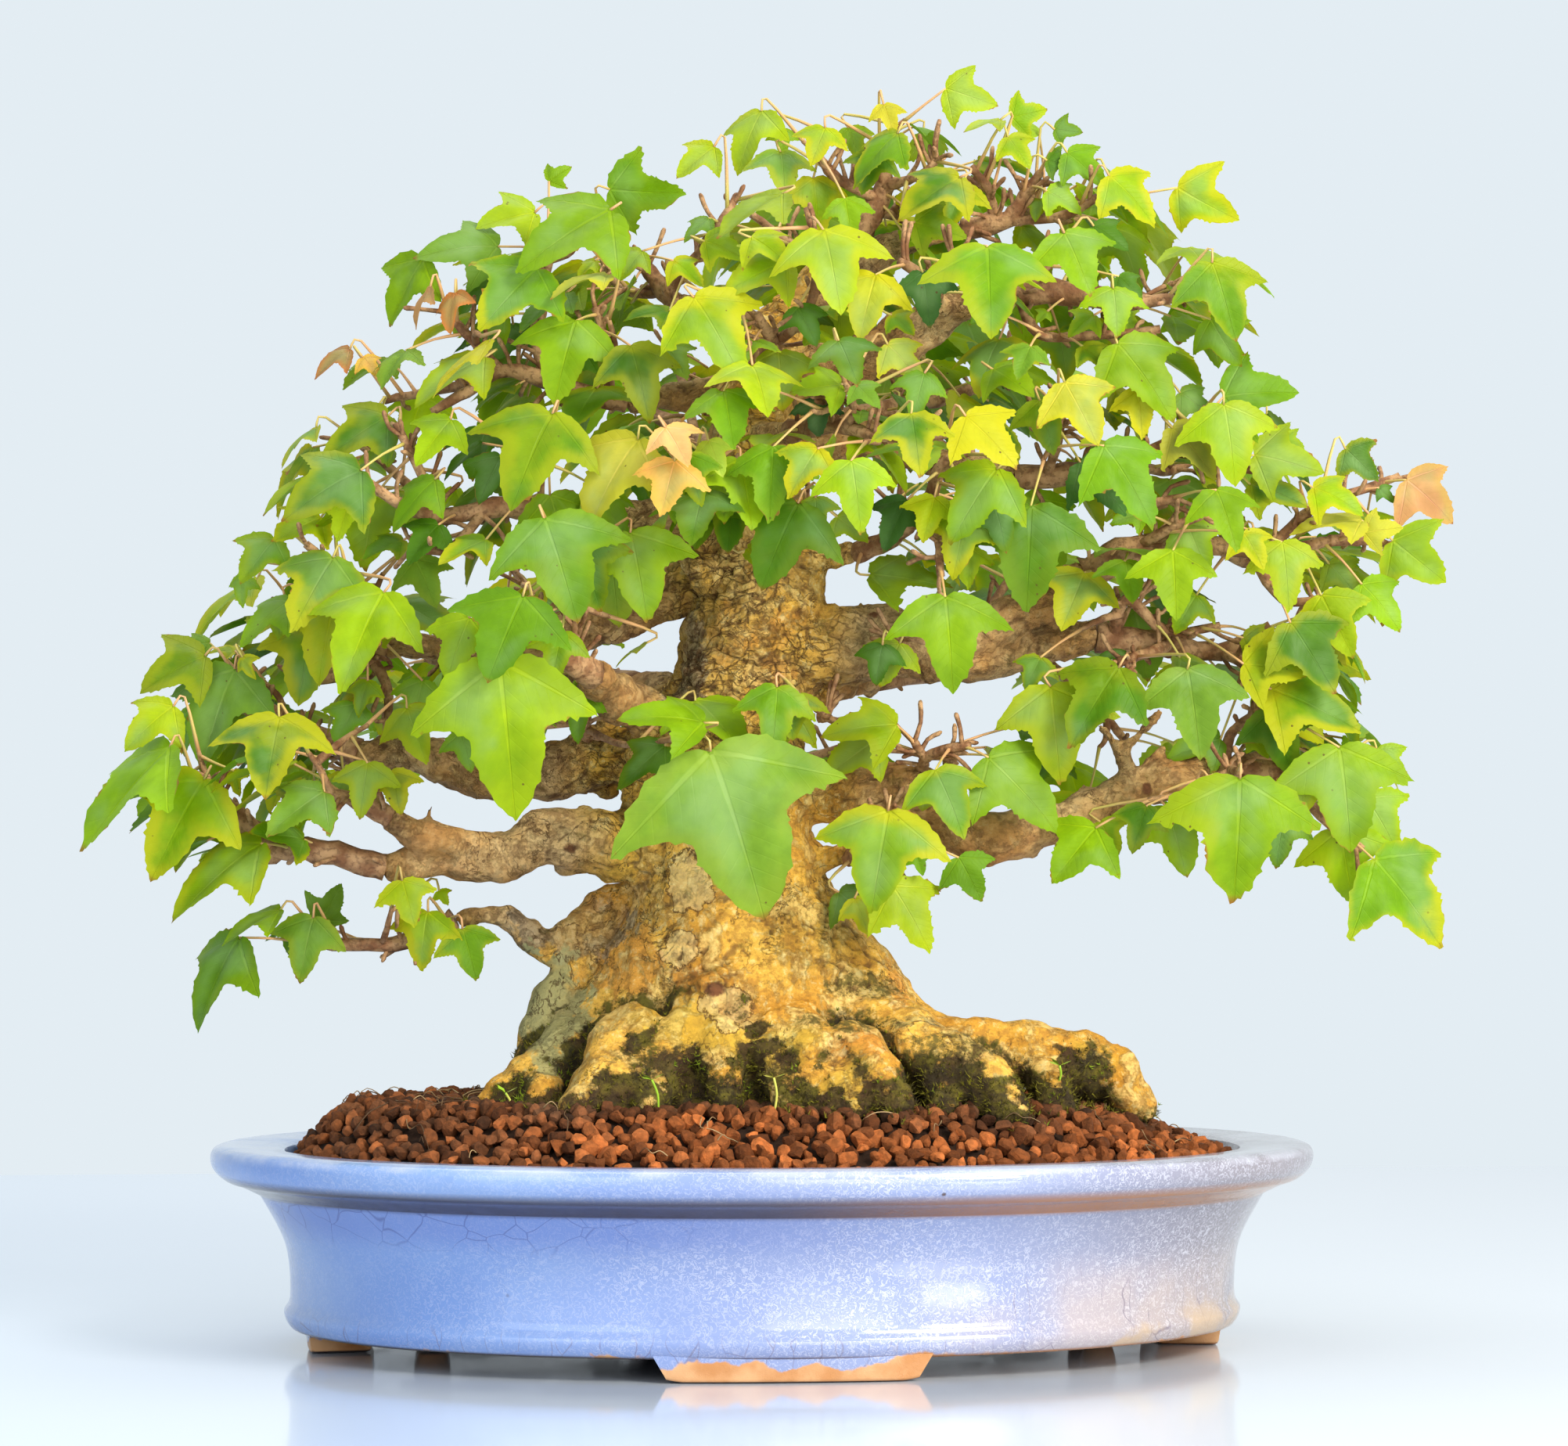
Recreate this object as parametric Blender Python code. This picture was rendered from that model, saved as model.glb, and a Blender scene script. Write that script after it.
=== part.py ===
"""Trident maple bonsai in an oval glazed pot, at its real size.

The pot stands on the table at height 0 with its long side along X and its front towards -Y.
The trunk, its surface roots and its main limbs are one grown solid. Each leafy spray is a solid
of its own that butts against the cut end of a limb. The soil fills the pot round the roots.
Branches and the leaves that show from the front are placed by their column and row in a front
view of the tree, and how many millimetres they stand in front of the trunk's middle.
"""
import math
import random
from collections import namedtuple

import bmesh
import bpy
from mathutils import Matrix, Vector
from mathutils.bvhtree import BVHTree

MM = 0.001
GAP = 0.0003
UP = Vector((0, 0, 1))
TOWARDS = Vector((0, -1, 0))

# Front view: what one pixel measures in the upright plane through the trunk, and the eye's place
PIXEL = 0.00025
VIEW_MIDDLE = 977
VIEW_TABLE = 1712
EYE_DISTANCE = 1.30
EYE_HEIGHT = 0.144

# Pot, in metres and radians. In the front view its long side is turned a little off the picture
POT_LENGTH = 0.350
POT_DEPTH = 0.265
POT_TURN = math.radians(4.7)
POT_SIDES = 36
POT_ROUNDNESS = 2.25
POT_FLOOR = 0.0135
POT_BASE = 0.0065
DRAIN_RADIUS = 0.008
DRAIN_SPACING = 0.110
MESH_SIZE = 0.024
MESH_THICKNESS = 0.001
MESH_HOLE = 0.0045

# Feet: arcs of the base ring. Middle angle, half arc, and insets of the outer and inner face in mm
FEET = [
    (-math.pi / 2, 0.214, 27.0, 42.0), (math.pi / 2, 0.214, 27.0, 42.0),
    (0, 0.150, 31.0, 50.0), (math.pi, 0.150, 31.0, 50.0),
]
FOOT_SLANT = 0.024
FOOT_STEPS = 3
NUB_PLACE = (0.105, 0.013)
NUB_RADIUS = 0.0062

# Soil, in metres
SOIL_EDGE_HEIGHT = 0.0612
SOIL_TOP_HEIGHT = 0.0775
SOIL_RINGS = 7
SOIL_RELIEF = 0.0014
HOLE_CLEARANCE = 0.0014

# Trunk
TRUNK_SIDES = 24
THICK_LIMB = 8.5
TRUNK_SHARE = 0.70
SPRAY_SHARE = 0.80

# Leaves, in metres
LEAF_THICKNESS = 0.0013
PETIOLE_WIDTH = 0.0012
PETIOLE_REACH = 0.030
STALK_BEND = 0.0045
WELL_BEHIND = 0.45
FURTHEST_AHEAD = -0.35
TWIG_RADIUS = 0.0014
NODE_SPACING = 0.004
NODES_TRIED = 5
START_TRIES = 6
PLAIN_LEAF = 0.0255
DETAILED_LEAF = 0.038
FILL_LEAF_LENGTH = (0.024, 0.034)

Ring = namedtuple("Ring", "height left right front back")
Wood = namedtuple("Wood", "name path cut radii sides fill")
Leaf = namedtuple("Leaf", "base_x base_y tip_x tip_y near lean roll")


def seen(column, row, near):
    """Point seen at a column and row of the front view, near millimetres before the trunk."""
    reach = 1 - near * MM / EYE_DISTANCE
    x = (column - VIEW_MIDDLE) * PIXEL * reach
    z = EYE_HEIGHT + ((VIEW_TABLE - row) * PIXEL - EYE_HEIGHT) * reach
    return Vector((x, -near * MM, z))


def view_place(point):
    """Column and row of the front view at which a point is seen."""
    reach = 1 + point.y / EYE_DISTANCE
    column = VIEW_MIDDLE + point.x / reach / PIXEL
    row = VIEW_TABLE - (EYE_HEIGHT + (point.z - EYE_HEIGHT) / reach) / PIXEL
    return column, row


# Pot profile, outside: distance of each ring in from the lip's edge, and its height, millimetres
POT_OUTSIDE = [
    (30.0, 6.5), (25.8, 7.2), (23.5, 11.8), (25.4, 17.0), (23.8, 33.0), (15.8, 48.5), (5.5, 54.5),
    (0.3, 58.5), (3.0, 61.6),
]
# Pot profile, inside, from the lip down to the floor
POT_INSIDE = [(24.0, 60.2), (31.5, 46.0), (33.5, 24.0), (42.0, 13.5)]
# Soil profile under its top, from the floor up, kept clear of the pot's inside
SOIL_SIDE = [(41.4, 15.1), (34.1, 24.0), (32.0, 46.0), (24.6, 60.3)]


def oval(angle, inset):
    """Point of the pot's oval plan at an angle, inset metres in from the lip's edge."""
    power = 2 / POT_ROUNDNESS
    c, s = math.cos(angle), math.sin(angle)
    x = math.copysign(abs(c) ** power, c) * (POT_LENGTH / 2 - inset)
    y = math.copysign(abs(s) ** power, s) * (POT_DEPTH / 2 - inset)
    return turned(x, y)


def turned(x, y):
    """Point of the pot's own plan, turned into the front view."""
    c, s = math.cos(POT_TURN), math.sin(POT_TURN)
    return x * c - y * s, x * s + y * c


def clear_scene():
    for thing in list(bpy.data.objects):
        bpy.data.objects.remove(thing, do_unlink=True)


def make_material(name, colour, roughness, metallic=0.0):
    material = bpy.data.materials.new(name)
    material.use_nodes = True
    shader = material.node_tree.nodes["Principled BSDF"]
    shader.inputs["Base Color"].default_value = (*colour, 1)
    shader.inputs["Roughness"].default_value = roughness
    shader.inputs["Metallic"].default_value = metallic
    material.diffuse_color = (*colour, 1)
    return material


def make_object(name, vertices, faces, material=None):
    mesh = bpy.data.meshes.new(name)
    mesh.from_pydata([tuple(v) for v in vertices], [], faces)
    work = bmesh.new()
    work.from_mesh(mesh)
    bmesh.ops.triangulate(work, faces=work.faces)
    work.to_mesh(mesh)
    work.free()
    piece = bpy.data.objects.new(name, mesh)
    bpy.context.scene.collection.objects.link(piece)
    if material:
        mesh.materials.append(material)
    return piece


def boolean(piece, others, operation):
    """Join or cut a piece with others by one Boolean on a collection, apply it, drop the others."""
    group = bpy.data.collections.new("group")
    for other in others:
        bpy.context.scene.collection.objects.unlink(other)
        group.objects.link(other)
    modifier = piece.modifiers.new("boolean", "BOOLEAN")
    modifier.operation = operation
    modifier.solver = "MANIFOLD"
    modifier.operand_type = "COLLECTION"
    modifier.collection = group
    graph = bpy.context.evaluated_depsgraph_get()
    result = bpy.data.meshes.new_from_object(piece.evaluated_get(graph))
    piece.modifiers.remove(modifier)
    piece.data = result
    for other in others:
        bpy.data.objects.remove(other, do_unlink=True)
    bpy.data.collections.remove(group)
    return piece


def keep_largest_body(piece):
    """Drop every loose scrap, keeping the body with the most faces."""
    work = bmesh.new()
    work.from_mesh(piece.data)
    left = set(work.verts)
    bodies = []
    while left:
        body, edge = set(), [left.pop()]
        while edge:
            vertex = edge.pop()
            body.add(vertex)
            near = {e.other_vert(vertex) for e in vertex.link_edges} & left
            left -= near
            edge.extend(near)
        bodies.append(body)
    bodies.sort(key=len, reverse=True)
    for body in bodies[1:]:
        bmesh.ops.delete(work, geom=list(body), context="VERTS")
    work.to_mesh(piece.data)
    work.free()


def lighten(piece, share):
    """Keep a share of the faces, dropping first the slivers that joining leaves on flat places."""
    modifier = piece.modifiers.new("lighten", "DECIMATE")
    modifier.ratio = share
    graph = bpy.context.evaluated_depsgraph_get()
    result = bpy.data.meshes.new_from_object(piece.evaluated_get(graph))
    piece.modifiers.remove(modifier)
    piece.data = result


def smooth(piece, degrees=40):
    piece.data.shade_smooth()
    piece.data.set_sharp_from_angle(angle=math.radians(degrees))


def loft(rings, close=True):
    """Vertices and faces through rings of equal length, with flat ends."""
    count = len(rings[0])
    vertices = [v for ring in rings for v in ring]
    faces = []
    for r in range(len(rings) - 1):
        for i in range(count):
            a, b = r * count + i, r * count + (i + 1) % count
            faces.append((a, b, b + count, a + count))
    if close:
        faces.append(tuple(reversed(range(count))))
        faces.append(tuple(range((len(rings) - 1) * count, len(rings) * count)))
    return vertices, faces


def oval_body(profile):
    """Closed oval body through a profile of insets and heights in millimetres."""
    rings = []
    for inset, height in profile:
        plan = [oval(math.tau * i / POT_SIDES, inset * MM) for i in range(POT_SIDES)]
        rings.append([(x, y, height * MM) for x, y in plan])
    return loft(rings)


def foot(middle_angle, half_arc, outer, inner):
    """Foot under the base ring: a curved block whose ends slant in towards the table."""
    rings = []
    for i in range(FOOT_STEPS + 1):
        share = 2 * i / FOOT_STEPS - 1
        corners = []
        for inset, height, spread in ((outer, 0, 0), (outer - 1, 8, 1), (inner, 8, 1), (inner, 0, 0)):
            x, y = oval(middle_angle + share * (half_arc + spread * FOOT_SLANT), inset * MM)
            corners.append((x, y, height * MM))
        rings.append(corners)
    return loft(rings)


def drum(x, y, low, high, bottom_radius, top_radius, sides):
    rings = []
    for height, radius in ((low, bottom_radius), (high, top_radius)):
        ring = []
        for i in range(sides):
            angle = math.tau * i / sides
            ring.append((x + radius * math.cos(angle), y + radius * math.sin(angle), height))
        rings.append(ring)
    return loft(rings)


def fix_normals(piece):
    work = bmesh.new()
    work.from_mesh(piece.data)
    bmesh.ops.recalc_face_normals(work, faces=work.faces)
    work.to_mesh(piece.data)
    work.free()


def make_pot(material):
    pot = make_object("pot", *oval_body(POT_OUTSIDE + POT_INSIDE), material)
    fix_normals(pot)
    feet = [make_object("foot", *foot(*sizes)) for sizes in FEET]
    for side in (-1, 1):
        for end in (-1, 1):
            x, y = turned(side * NUB_PLACE[0], end * NUB_PLACE[1])
            nub = drum(x, y, 0, POT_BASE + 0.002, NUB_RADIUS * 0.75, NUB_RADIUS, 6)
            feet.append(make_object("nub", *nub))
    for block in feet:
        fix_normals(block)
    boolean(pot, feet, "UNION")
    drains = []
    for side in (-1, 1):
        x, y = turned(side * DRAIN_SPACING / 2, 0)
        hole = drum(x, y, 0, POT_FLOOR + 0.003, DRAIN_RADIUS, DRAIN_RADIUS, 10)
        drains.append(make_object("drain", *hole))
    boolean(pot, drains, "DIFFERENCE")
    smooth(pot, 35)
    return pot


def make_drain_mesh(name, side, material):
    """Square plastic grid over a drain hole."""
    low, half = POT_FLOOR + GAP, MESH_SIZE / 2
    middle = side * DRAIN_SPACING / 2
    square = ((-half, -half), (half, -half), (half, half), (-half, half))
    corners = [turned(middle + x, y) for x, y in square]
    rings = [[(x, y, height) for x, y in corners] for height in (low, low + MESH_THICKNESS)]
    plate = make_object(name, *loft(rings), material)
    pitch = MESH_SIZE / 4
    cutters = []
    for i in (-1, 1):
        for j in (-1, 1):
            x, y = turned(middle + i * pitch, j * pitch)
            hole = drum(x, y, low - MESH_THICKNESS, low + 2 * MESH_THICKNESS, MESH_HOLE, MESH_HOLE, 4)
            cutters.append(make_object("hole", *hole))
    return boolean(plate, cutters, "DIFFERENCE")


def soil_height(angle, share):
    """Height of the soil at a share of the way from the middle to the pot's lip."""
    left = max(0.0, -math.cos(angle)) ** 3
    slope = 0.36 - 0.22 * left
    rise = min(1.0, (1 - share) / slope)
    rise = rise * rise * (3 - 2 * rise) * 0.6 + rise * 0.4
    return SOIL_EDGE_HEIGHT + (SOIL_TOP_HEIGHT - SOIL_EDGE_HEIGHT) * rise


def make_soil(material):
    draw = random.Random("soil")
    rings = []
    for inset, height in SOIL_SIDE:
        plan = [oval(math.tau * i / POT_SIDES, inset * MM) for i in range(POT_SIDES)]
        rings.append([(x, y, height * MM) for x, y in plan])
    edge = SOIL_SIDE[-1][0] * MM
    for r in range(SOIL_RINGS):
        share = 0.98 - 0.86 * r / (SOIL_RINGS - 1)
        ring = []
        for i in range(POT_SIDES):
            angle = math.tau * (i + 0.5 * (r % 2)) / POT_SIDES
            x, y = oval(angle, edge)
            height = soil_height(angle, share) + draw.uniform(-1, 1) * SOIL_RELIEF
            wobble = share + draw.uniform(-1, 1) * 0.008
            ring.append((x * wobble, y * wobble, height))
        rings.append(ring)
    soil = make_object("soil", *loft(rings), material)
    fix_normals(soil)
    hole = [make_object("hole", *solid) for solid in base_solids(HOLE_CLEARANCE)]
    boolean(soil, hole, "DIFFERENCE")
    keep_largest_body(soil)
    return soil


# Trunk: height of each ring and its left, right, front and back edges, millimetres
TRUNK_RINGS = [
    Ring(50, -66, 58, -46, 44), Ring(68, -68, 60, -47, 45), Ring(80, -68, 58, -45, 43),
    Ring(92, -67, 54, -42, 41), Ring(104, -64, 50, -38, 38), Ring(118, -58, 42, -35, 35),
    Ring(131, -50, 31, -32, 32), Ring(148, -44, 20, -28, 29), Ring(166, -45, 13, -26, 26),
    Ring(188, -45, 13, -23, 24), Ring(203, -33, 15, -21, 23), Ring(222, -26, 17, -20, 22),
    Ring(242, -20, 20, -18, 20), Ring(256, -23, 17, -17, 19), Ring(277, -20, 9, -15, 17),
    Ring(300, -14, 8, -11, 13), Ring(326, -6, 12, -8, 9),
]

# Ridges where the trunk flares into its roots: direction in degrees, reach in mm, width in degrees
RIDGES = [
    (-6, 10, 16), (-38, 11, 13), (-76, 13, 11), (-104, 11, 10), (-133, 13, 12), (-163, 15, 12),
    (172, 11, 15), (140, 13, 13), (98, 14, 13), (50, 13, 14),
]
RIDGE_TOP = 122
RIDGE_FOOT = 66

# Surface roots: column, row and nearness of points along each, and their radii, millimetres
ROOTS = [
    ([(1100, 1325, 0), (1200, 1340, 6), (1300, 1342, 8), (1385, 1362, 9), (1435, 1386, 9),
      (1462, 1432, 8)], (19, 13, 11.5, 10.5, 9.2, 6)),
    ([(1120, 1320, 18), (1195, 1352, 38), (1262, 1388, 48), (1296, 1434, 58)], (15, 11, 8.5, 5)),
    ([(770, 1330, 10), (705, 1372, 22), (652, 1398, 27), (616, 1428, 28)], (15, 10.5, 8, 5)),
    ([(820, 1325, 30), (772, 1380, 48), (732, 1434, 60)], (15, 10, 5)),
    ([(1000, 1310, 34), (1042, 1380, 52), (1068, 1438, 66)], (13, 9, 5)),
    ([(830, 1310, -26), (765, 1375, -50), (720, 1432, -70)], (15, 10, 5)),
    ([(1090, 1310, -24), (1180, 1370, -46), (1250, 1432, -62)], (15, 10, 5)),
]

# Cut stubs and scars that stand on the limbs and the trunk
STUBS = [
    ([(1213, 1020, 6), (1214, 950, 8)], (2.7, 2.1)),
    ([(1452, 1008, 6), (1432, 962, 10), (1402, 922, 12)], (3.4, 2.6, 1.8)),
    ([(1432, 962, 10), (1486, 906, 12)], (2.4, 1.6)),
    ([(1448, 1002, 6), (1490, 954, 3)], (2.8, 1.8)),
    ([(1300, 1062, 10), (1325, 1080, 14)], (5.5, 4.5)),
    ([(1180, 835, 4), (1262, 856, 8)], (4.0, 1.6)),
    ([(545, 1070, 28), (552, 1022, 28)], (2.6, 1.2)),
    ([(905, 735, 8), (880, 718, 17)], (6.0, 3.8)),
    ([(915, 1262, 34), (914, 1262, 44)], (8.5, 5.8)),
    ([(725, 1086, 16), (720, 1084, 26)], (7.0, 5.0)),
]

# Branches: path, where on it the limb's wood ends and the spray's begins, radii at the start, there
# and at the tip in millimetres, side stems, and how many leaves a rule adds to those of the list
BRANCHES = [
    Wood("left_low", [(820, 1140, 0), (762, 1160, 0), (712, 1212, 4), (678, 1196, 6), (640, 1170, 6),
         (582, 1173, 4), (520, 1203, 2), (440, 1207, 6), (385, 1203, 8)], 5, (7, 3.2, 1.2), [], 0),
    Wood("left_tip", [(850, 1090, 8), (760, 1078, 14), (700, 1068, 16), (640, 1100, 20),
         (565, 1098, 22), (495, 1110, 24), (430, 1092, 26), (370, 1085, 26), (326, 1096, 24)],
         5, (12, 4.4, 3.4), [[(350, 1080, 26), (300, 1040, 26), (268, 1003, 28), (240, 985, 30)]], 2),
    Wood("left_mid", [(650, 1095, 20), (580, 1075, 26), (535, 1072, 30), (500, 1045, 34),
         (455, 1022, 38), (415, 1013, 42)], 3, (6, 3.6, 1.6), [], 2),
    Wood("left_far", [(860, 960, -5), (790, 965, -6), (700, 985, -8), (620, 998, -10), (545, 965, -12),
         (460, 962, -14), (400, 940, -16), (340, 925, -18), (300, 888, -20)], 5, (11, 4.6, 1.8),
         [[(400, 940, -16), (345, 905, -2), (300, 875, 6)], [(430, 950, -15), (450, 990, -30),
         (440, 1010, -40)]], 3),
    Wood("left_high", [(895, 735, -6), (800, 785, -14), (700, 815, -16), (580, 828, -14),
         (490, 825, -10), (430, 862, -4), (370, 868, 0)], 4, (9, 4.4, 1.6), [[(490, 828, -9),
         (496, 880, -6), (494, 935, -4)], [(480, 832, -9), (470, 770, 12), (425, 725, 24),
         (390, 695, 28)], [(450, 850, -8), (420, 820, -30), (380, 780, -45)]], 3),
    Wood("left_shoulder", [(915, 680, 6), (830, 662, 16), (760, 650, 22), (700, 652, 28),
         (630, 648, 34), (560, 660, 38), (505, 640, 40), (455, 605, 42)], 3, (7, 3.8, 1.3),
         [[(565, 658, 38), (530, 590, 36), (505, 540, 34)], [(620, 650, 35), (575, 700, 46),
         (520, 700, 48)], [(560, 655, 37), (500, 600, 15), (450, 560, 0)]], 3),
    Wood("front_left", [(855, 925, 12), (795, 900, 32), (758, 862, 50), (712, 838, 66), (655, 822, 78)],
         2, (7, 4.8, 1.4), [[(735, 850, 58), (735, 780, 60), (715, 700, 58)], [(712, 838, 66),
         (680, 790, 76)]], 1),
    Wood("front_shoot", [(748, 975, -6), (749, 945, 4), (750, 928, 12), (746, 896, 18)],
         1, (2.4, 1.7, 1.2), [], 0),
    Wood("trunk_shoot", [(1010, 914, 4), (1046, 917, 12), (1060, 917, 15)], 1, (2.4, 1.7, 1.5), [], 0),
    Wood("top_left", [(950, 500, 0), (880, 505, 4), (800, 512, 10), (740, 500, 14), (690, 482, 18),
         (640, 472, 22), (595, 500, 24), (550, 525, 24)], 2, (7, 3.8, 1.3), [[(700, 485, 17),
         (682, 430, 16), (690, 370, 14), (705, 320, 12)], [(640, 472, 22), (600, 430, 24),
         (565, 395, 24)], [(780, 510, 11), (775, 450, 26), (760, 390, 30)], [(620, 485, 22),
         (540, 500, 6), (490, 510, 0)]], 3),
    Wood("crown_left", [(985, 440, 0), (920, 410, 6), (862, 385, 12), (830, 345, 14), (800, 318, 14)],
         2, (7, 3.6, 1.3), [[(862, 385, 12), (885, 330, 20), (925, 275, 18), (942, 245, 14)],
         [(850, 370, 12), (800, 370, -5), (770, 340, -15)]], 3),
    Wood("crown_front", [(985, 470, 6), (988, 455, 24), (985, 430, 40), (968, 400, 52)],
         1, (6, 3.4, 1.4), [[(986, 438, 34), (1030, 400, 48), (1046, 330, 50), (1032, 262, 46)],
         [(985, 430, 40), (940, 470, 56)]], 0),
    Wood("front_upper", [(960, 560, 8), (1010, 550, 28), (1070, 542, 48), (1125, 560, 64)],
         1, (7, 3.8, 1.4), [[(1055, 545, 44), (1080, 495, 58), (1100, 462, 60)], [(1100, 552, 56),
         (1180, 560, 64), (1225, 548, 66)]], 0),
    Wood("front_centre", [(945, 650, 6), (938, 655, 24), (918, 640, 42), (882, 610, 54)],
         1, (7, 4.0, 1.4), [[(930, 650, 34), (990, 655, 50), (1035, 645, 56)], [(925, 645, 38),
         (915, 600, 54)]], 1),
    Wood("crown_top", [(985, 430, 0), (1040, 370, -2), (1095, 300, -4), (1125, 250, -4),
         (1130, 215, -2), (1112, 188, 0)], 2, (9, 4.4, 1.3), [[(1125, 252, -4), (1065, 220, 4),
         (1045, 190, 6)], [(1128, 235, -3), (1180, 218, 8), (1200, 195, 10)], [(1118, 262, -4),
         (1150, 270, -25), (1180, 240, -35)]], 3),
    Wood("crown_right", [(1058, 352, -3), (1160, 304, -9), (1230, 290, -10), (1290, 275, -6),
         (1315, 240, -4), (1332, 215, 0)], 2, (6, 3.8, 1.3), [[(1290, 278, -6), (1360, 272, 0),
         (1405, 248, 6)], [(1270, 280, -8), (1266, 240, -4), (1242, 208, -2)], [(1300, 270, -6),
         (1340, 265, -30), (1390, 250, -45)]], 3),
    Wood("right_upper", [(1000, 480, 0), (1100, 458, 2), (1165, 428, 6), (1212, 392, 10),
         (1290, 366, 14), (1380, 373, 18), (1450, 383, 22), (1502, 378, 26)], 4, (10, 5.0, 1.5),
         [[(1300, 368, 14), (1330, 424, 16), (1400, 426, 20), (1485, 418, 24)], [(1310, 366, 14),
         (1345, 330, 20), (1375, 300, 24)], [(1400, 375, 18), (1450, 390, 0), (1500, 360, -12)]], 3),
    Wood("upper_inner", [(1212, 400, 8), (1196, 375, 26), (1180, 350, 38), (1150, 330, 44)],
         1, (4.5, 3.0, 1.3), [[(1185, 358, 34), (1225, 330, 46), (1250, 312, 50)]], 0),
    Wood("right_rear", [(1000, 560, -4), (1100, 562, -10), (1200, 590, -10), (1300, 610, -6),
         (1380, 602, 0), (1440, 590, 10), (1500, 560, 16), (1545, 520, 18)], 3, (8, 4.2, 1.4),
         [[(1400, 600, 4), (1450, 640, 20), (1510, 635, 26)], [(1480, 570, 14), (1560, 590, 20),
         (1625, 605, 16)], [(1340, 606, -2), (1355, 550, 12), (1362, 500, 22)], [(1440, 590, 8),
         (1500, 600, -20), (1560, 560, -35)]], 4),
    Wood("right_high", [(1190, 835, 2), (1260, 805, 6), (1330, 770, 8), (1390, 735, 10),
         (1450, 702, 12), (1540, 695, 10), (1620, 705, 8), (1700, 690, 4)], 3, (8, 5.4, 1.6),
         [[(1450, 702, 12), (1495, 675, 22), (1545, 655, 26)], [(1620, 705, 8), (1680, 650, 6),
         (1750, 622, 0), (1790, 608, -4)], [(1600, 704, 8), (1640, 765, 8), (1690, 765, 6)],
         [(1700, 690, 4), (1745, 690, 2), (1780, 695, 0)], [(1560, 700, 8), (1600, 720, -16),
         (1660, 700, -34)]], 4),
    Wood("right_mid", [(1020, 835, 0), (1120, 818, 0), (1200, 836, 0), (1290, 832, -4), (1400, 814, -6),
         (1480, 822, -8), (1560, 832, -8), (1625, 800, -6)], 4, (14, 5.2, 1.8), [[(1400, 814, -4),
         (1440, 765, 6), (1490, 805, 2), (1560, 800, 0)], [(1560, 832, -8), (1620, 862, 0),
         (1680, 890, 4)], [(1500, 822, -8), (1455, 838, 14), (1430, 846, 24)], [(1560, 832, -8),
         (1620, 840, -34), (1680, 800, -45)]], 4),
    Wood("right_low", [(1000, 1015, 0), (1100, 1008, 2), (1180, 1020, 6), (1250, 1070, 10),
         (1330, 1058, 10), (1400, 1035, 8), (1452, 1008, 6), (1550, 985, 2), (1640, 990, 0),
         (1700, 1010, -4)], 7, (11, 5.2, 1.6), [[(1565, 984, 2), (1572, 940, 2), (1600, 915, 4),
         (1625, 900, 6)], [(1640, 990, 0), (1700, 1055, 0), (1742, 1085, 2)], [(1560, 985, 2),
         (1572, 985, 20), (1584, 985, 32)], [(1560, 985, 0), (1620, 960, -26), (1680, 930, -40)]], 4),
    Wood("right_inner", [(1030, 1095, 0), (1085, 1095, 14), (1120, 1098, 26), (1150, 1108, 34)],
         1, (5, 3.0, 1.4), [[(1120, 1098, 26), (1128, 1060, 36), (1135, 1040, 40)]], 0),
    Wood("right_cut", [(1175, 1015, 6), (1178, 982, 12), (1180, 968, 18), (1168, 948, 24)],
         1, (3, 1.9, 1.3), [[(1180, 970, 17), (1205, 958, 24), (1240, 952, 28)]], 0),
    Wood("right_under", [(1150, 812, 4), (1148, 816, 18), (1140, 822, 24)], 1, (3, 2.0, 1.3), [], 0),
    Wood("front_right", [(1020, 712, 0), (1095, 706, 8), (1150, 680, 20), (1188, 636, 34),
         (1205, 592, 44), (1245, 575, 50)], 1, (7, 3.4, 1.3), [[(1190, 632, 35), (1200, 690, 50),
         (1202, 735, 56)], [(1160, 670, 24), (1140, 640, 40)]], 0),
    Wood("back_left", [(890, 900, -18), (820, 880, -45), (720, 862, -75), (620, 850, -95),
         (540, 835, -108)], 1, (9, 5.4, 1.6), [[(720, 862, -75), (690, 780, -95), (650, 720, -108)],
         [(640, 853, -92), (600, 930, -100), (560, 980, -104)]], 12),
    Wood("back_right", [(985, 892, -4), (1120, 862, -45), (1230, 850, -75), (1330, 838, -97),
         (1420, 815, -108)], 1, (9, 5.4, 1.6), [[(1230, 850, -75), (1270, 770, -95), (1320, 700, -108)],
         [(1330, 838, -97), (1400, 900, -102), (1440, 950, -104)]], 12),
    Wood("back_upper", [(955, 600, -10), (930, 590, -38), (890, 560, -70), (840, 530, -92),
         (780, 500, -104)], 1, (7, 4.4, 1.5), [[(890, 560, -70), (870, 480, -88), (850, 420, -94)]],
         10),
    Wood("back_upper_right", [(985, 560, -10), (1050, 545, -38), (1140, 520, -70), (1230, 500, -92),
         (1300, 460, -102)], 1, (7, 4.4, 1.5), [[(1140, 520, -70), (1180, 430, -84), (1210, 370, -88)]],
         10),
    Wood("back_crown", [(1000, 420, -6), (1030, 380, -30), (1070, 330, -52), (1110, 280, -64)],
         1, (6, 3.8, 1.4), [[(1060, 345, -46), (1000, 300, -60), (960, 270, -62)]], 8),
    Wood("back_low", [(920, 1010, -20), (935, 1000, -48), (960, 985, -80), (990, 960, -105)],
         1, (8, 4.6, 1.5), [[(950, 992, -68), (1060, 960, -95), (1140, 930, -105)]], 8),
]

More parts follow.
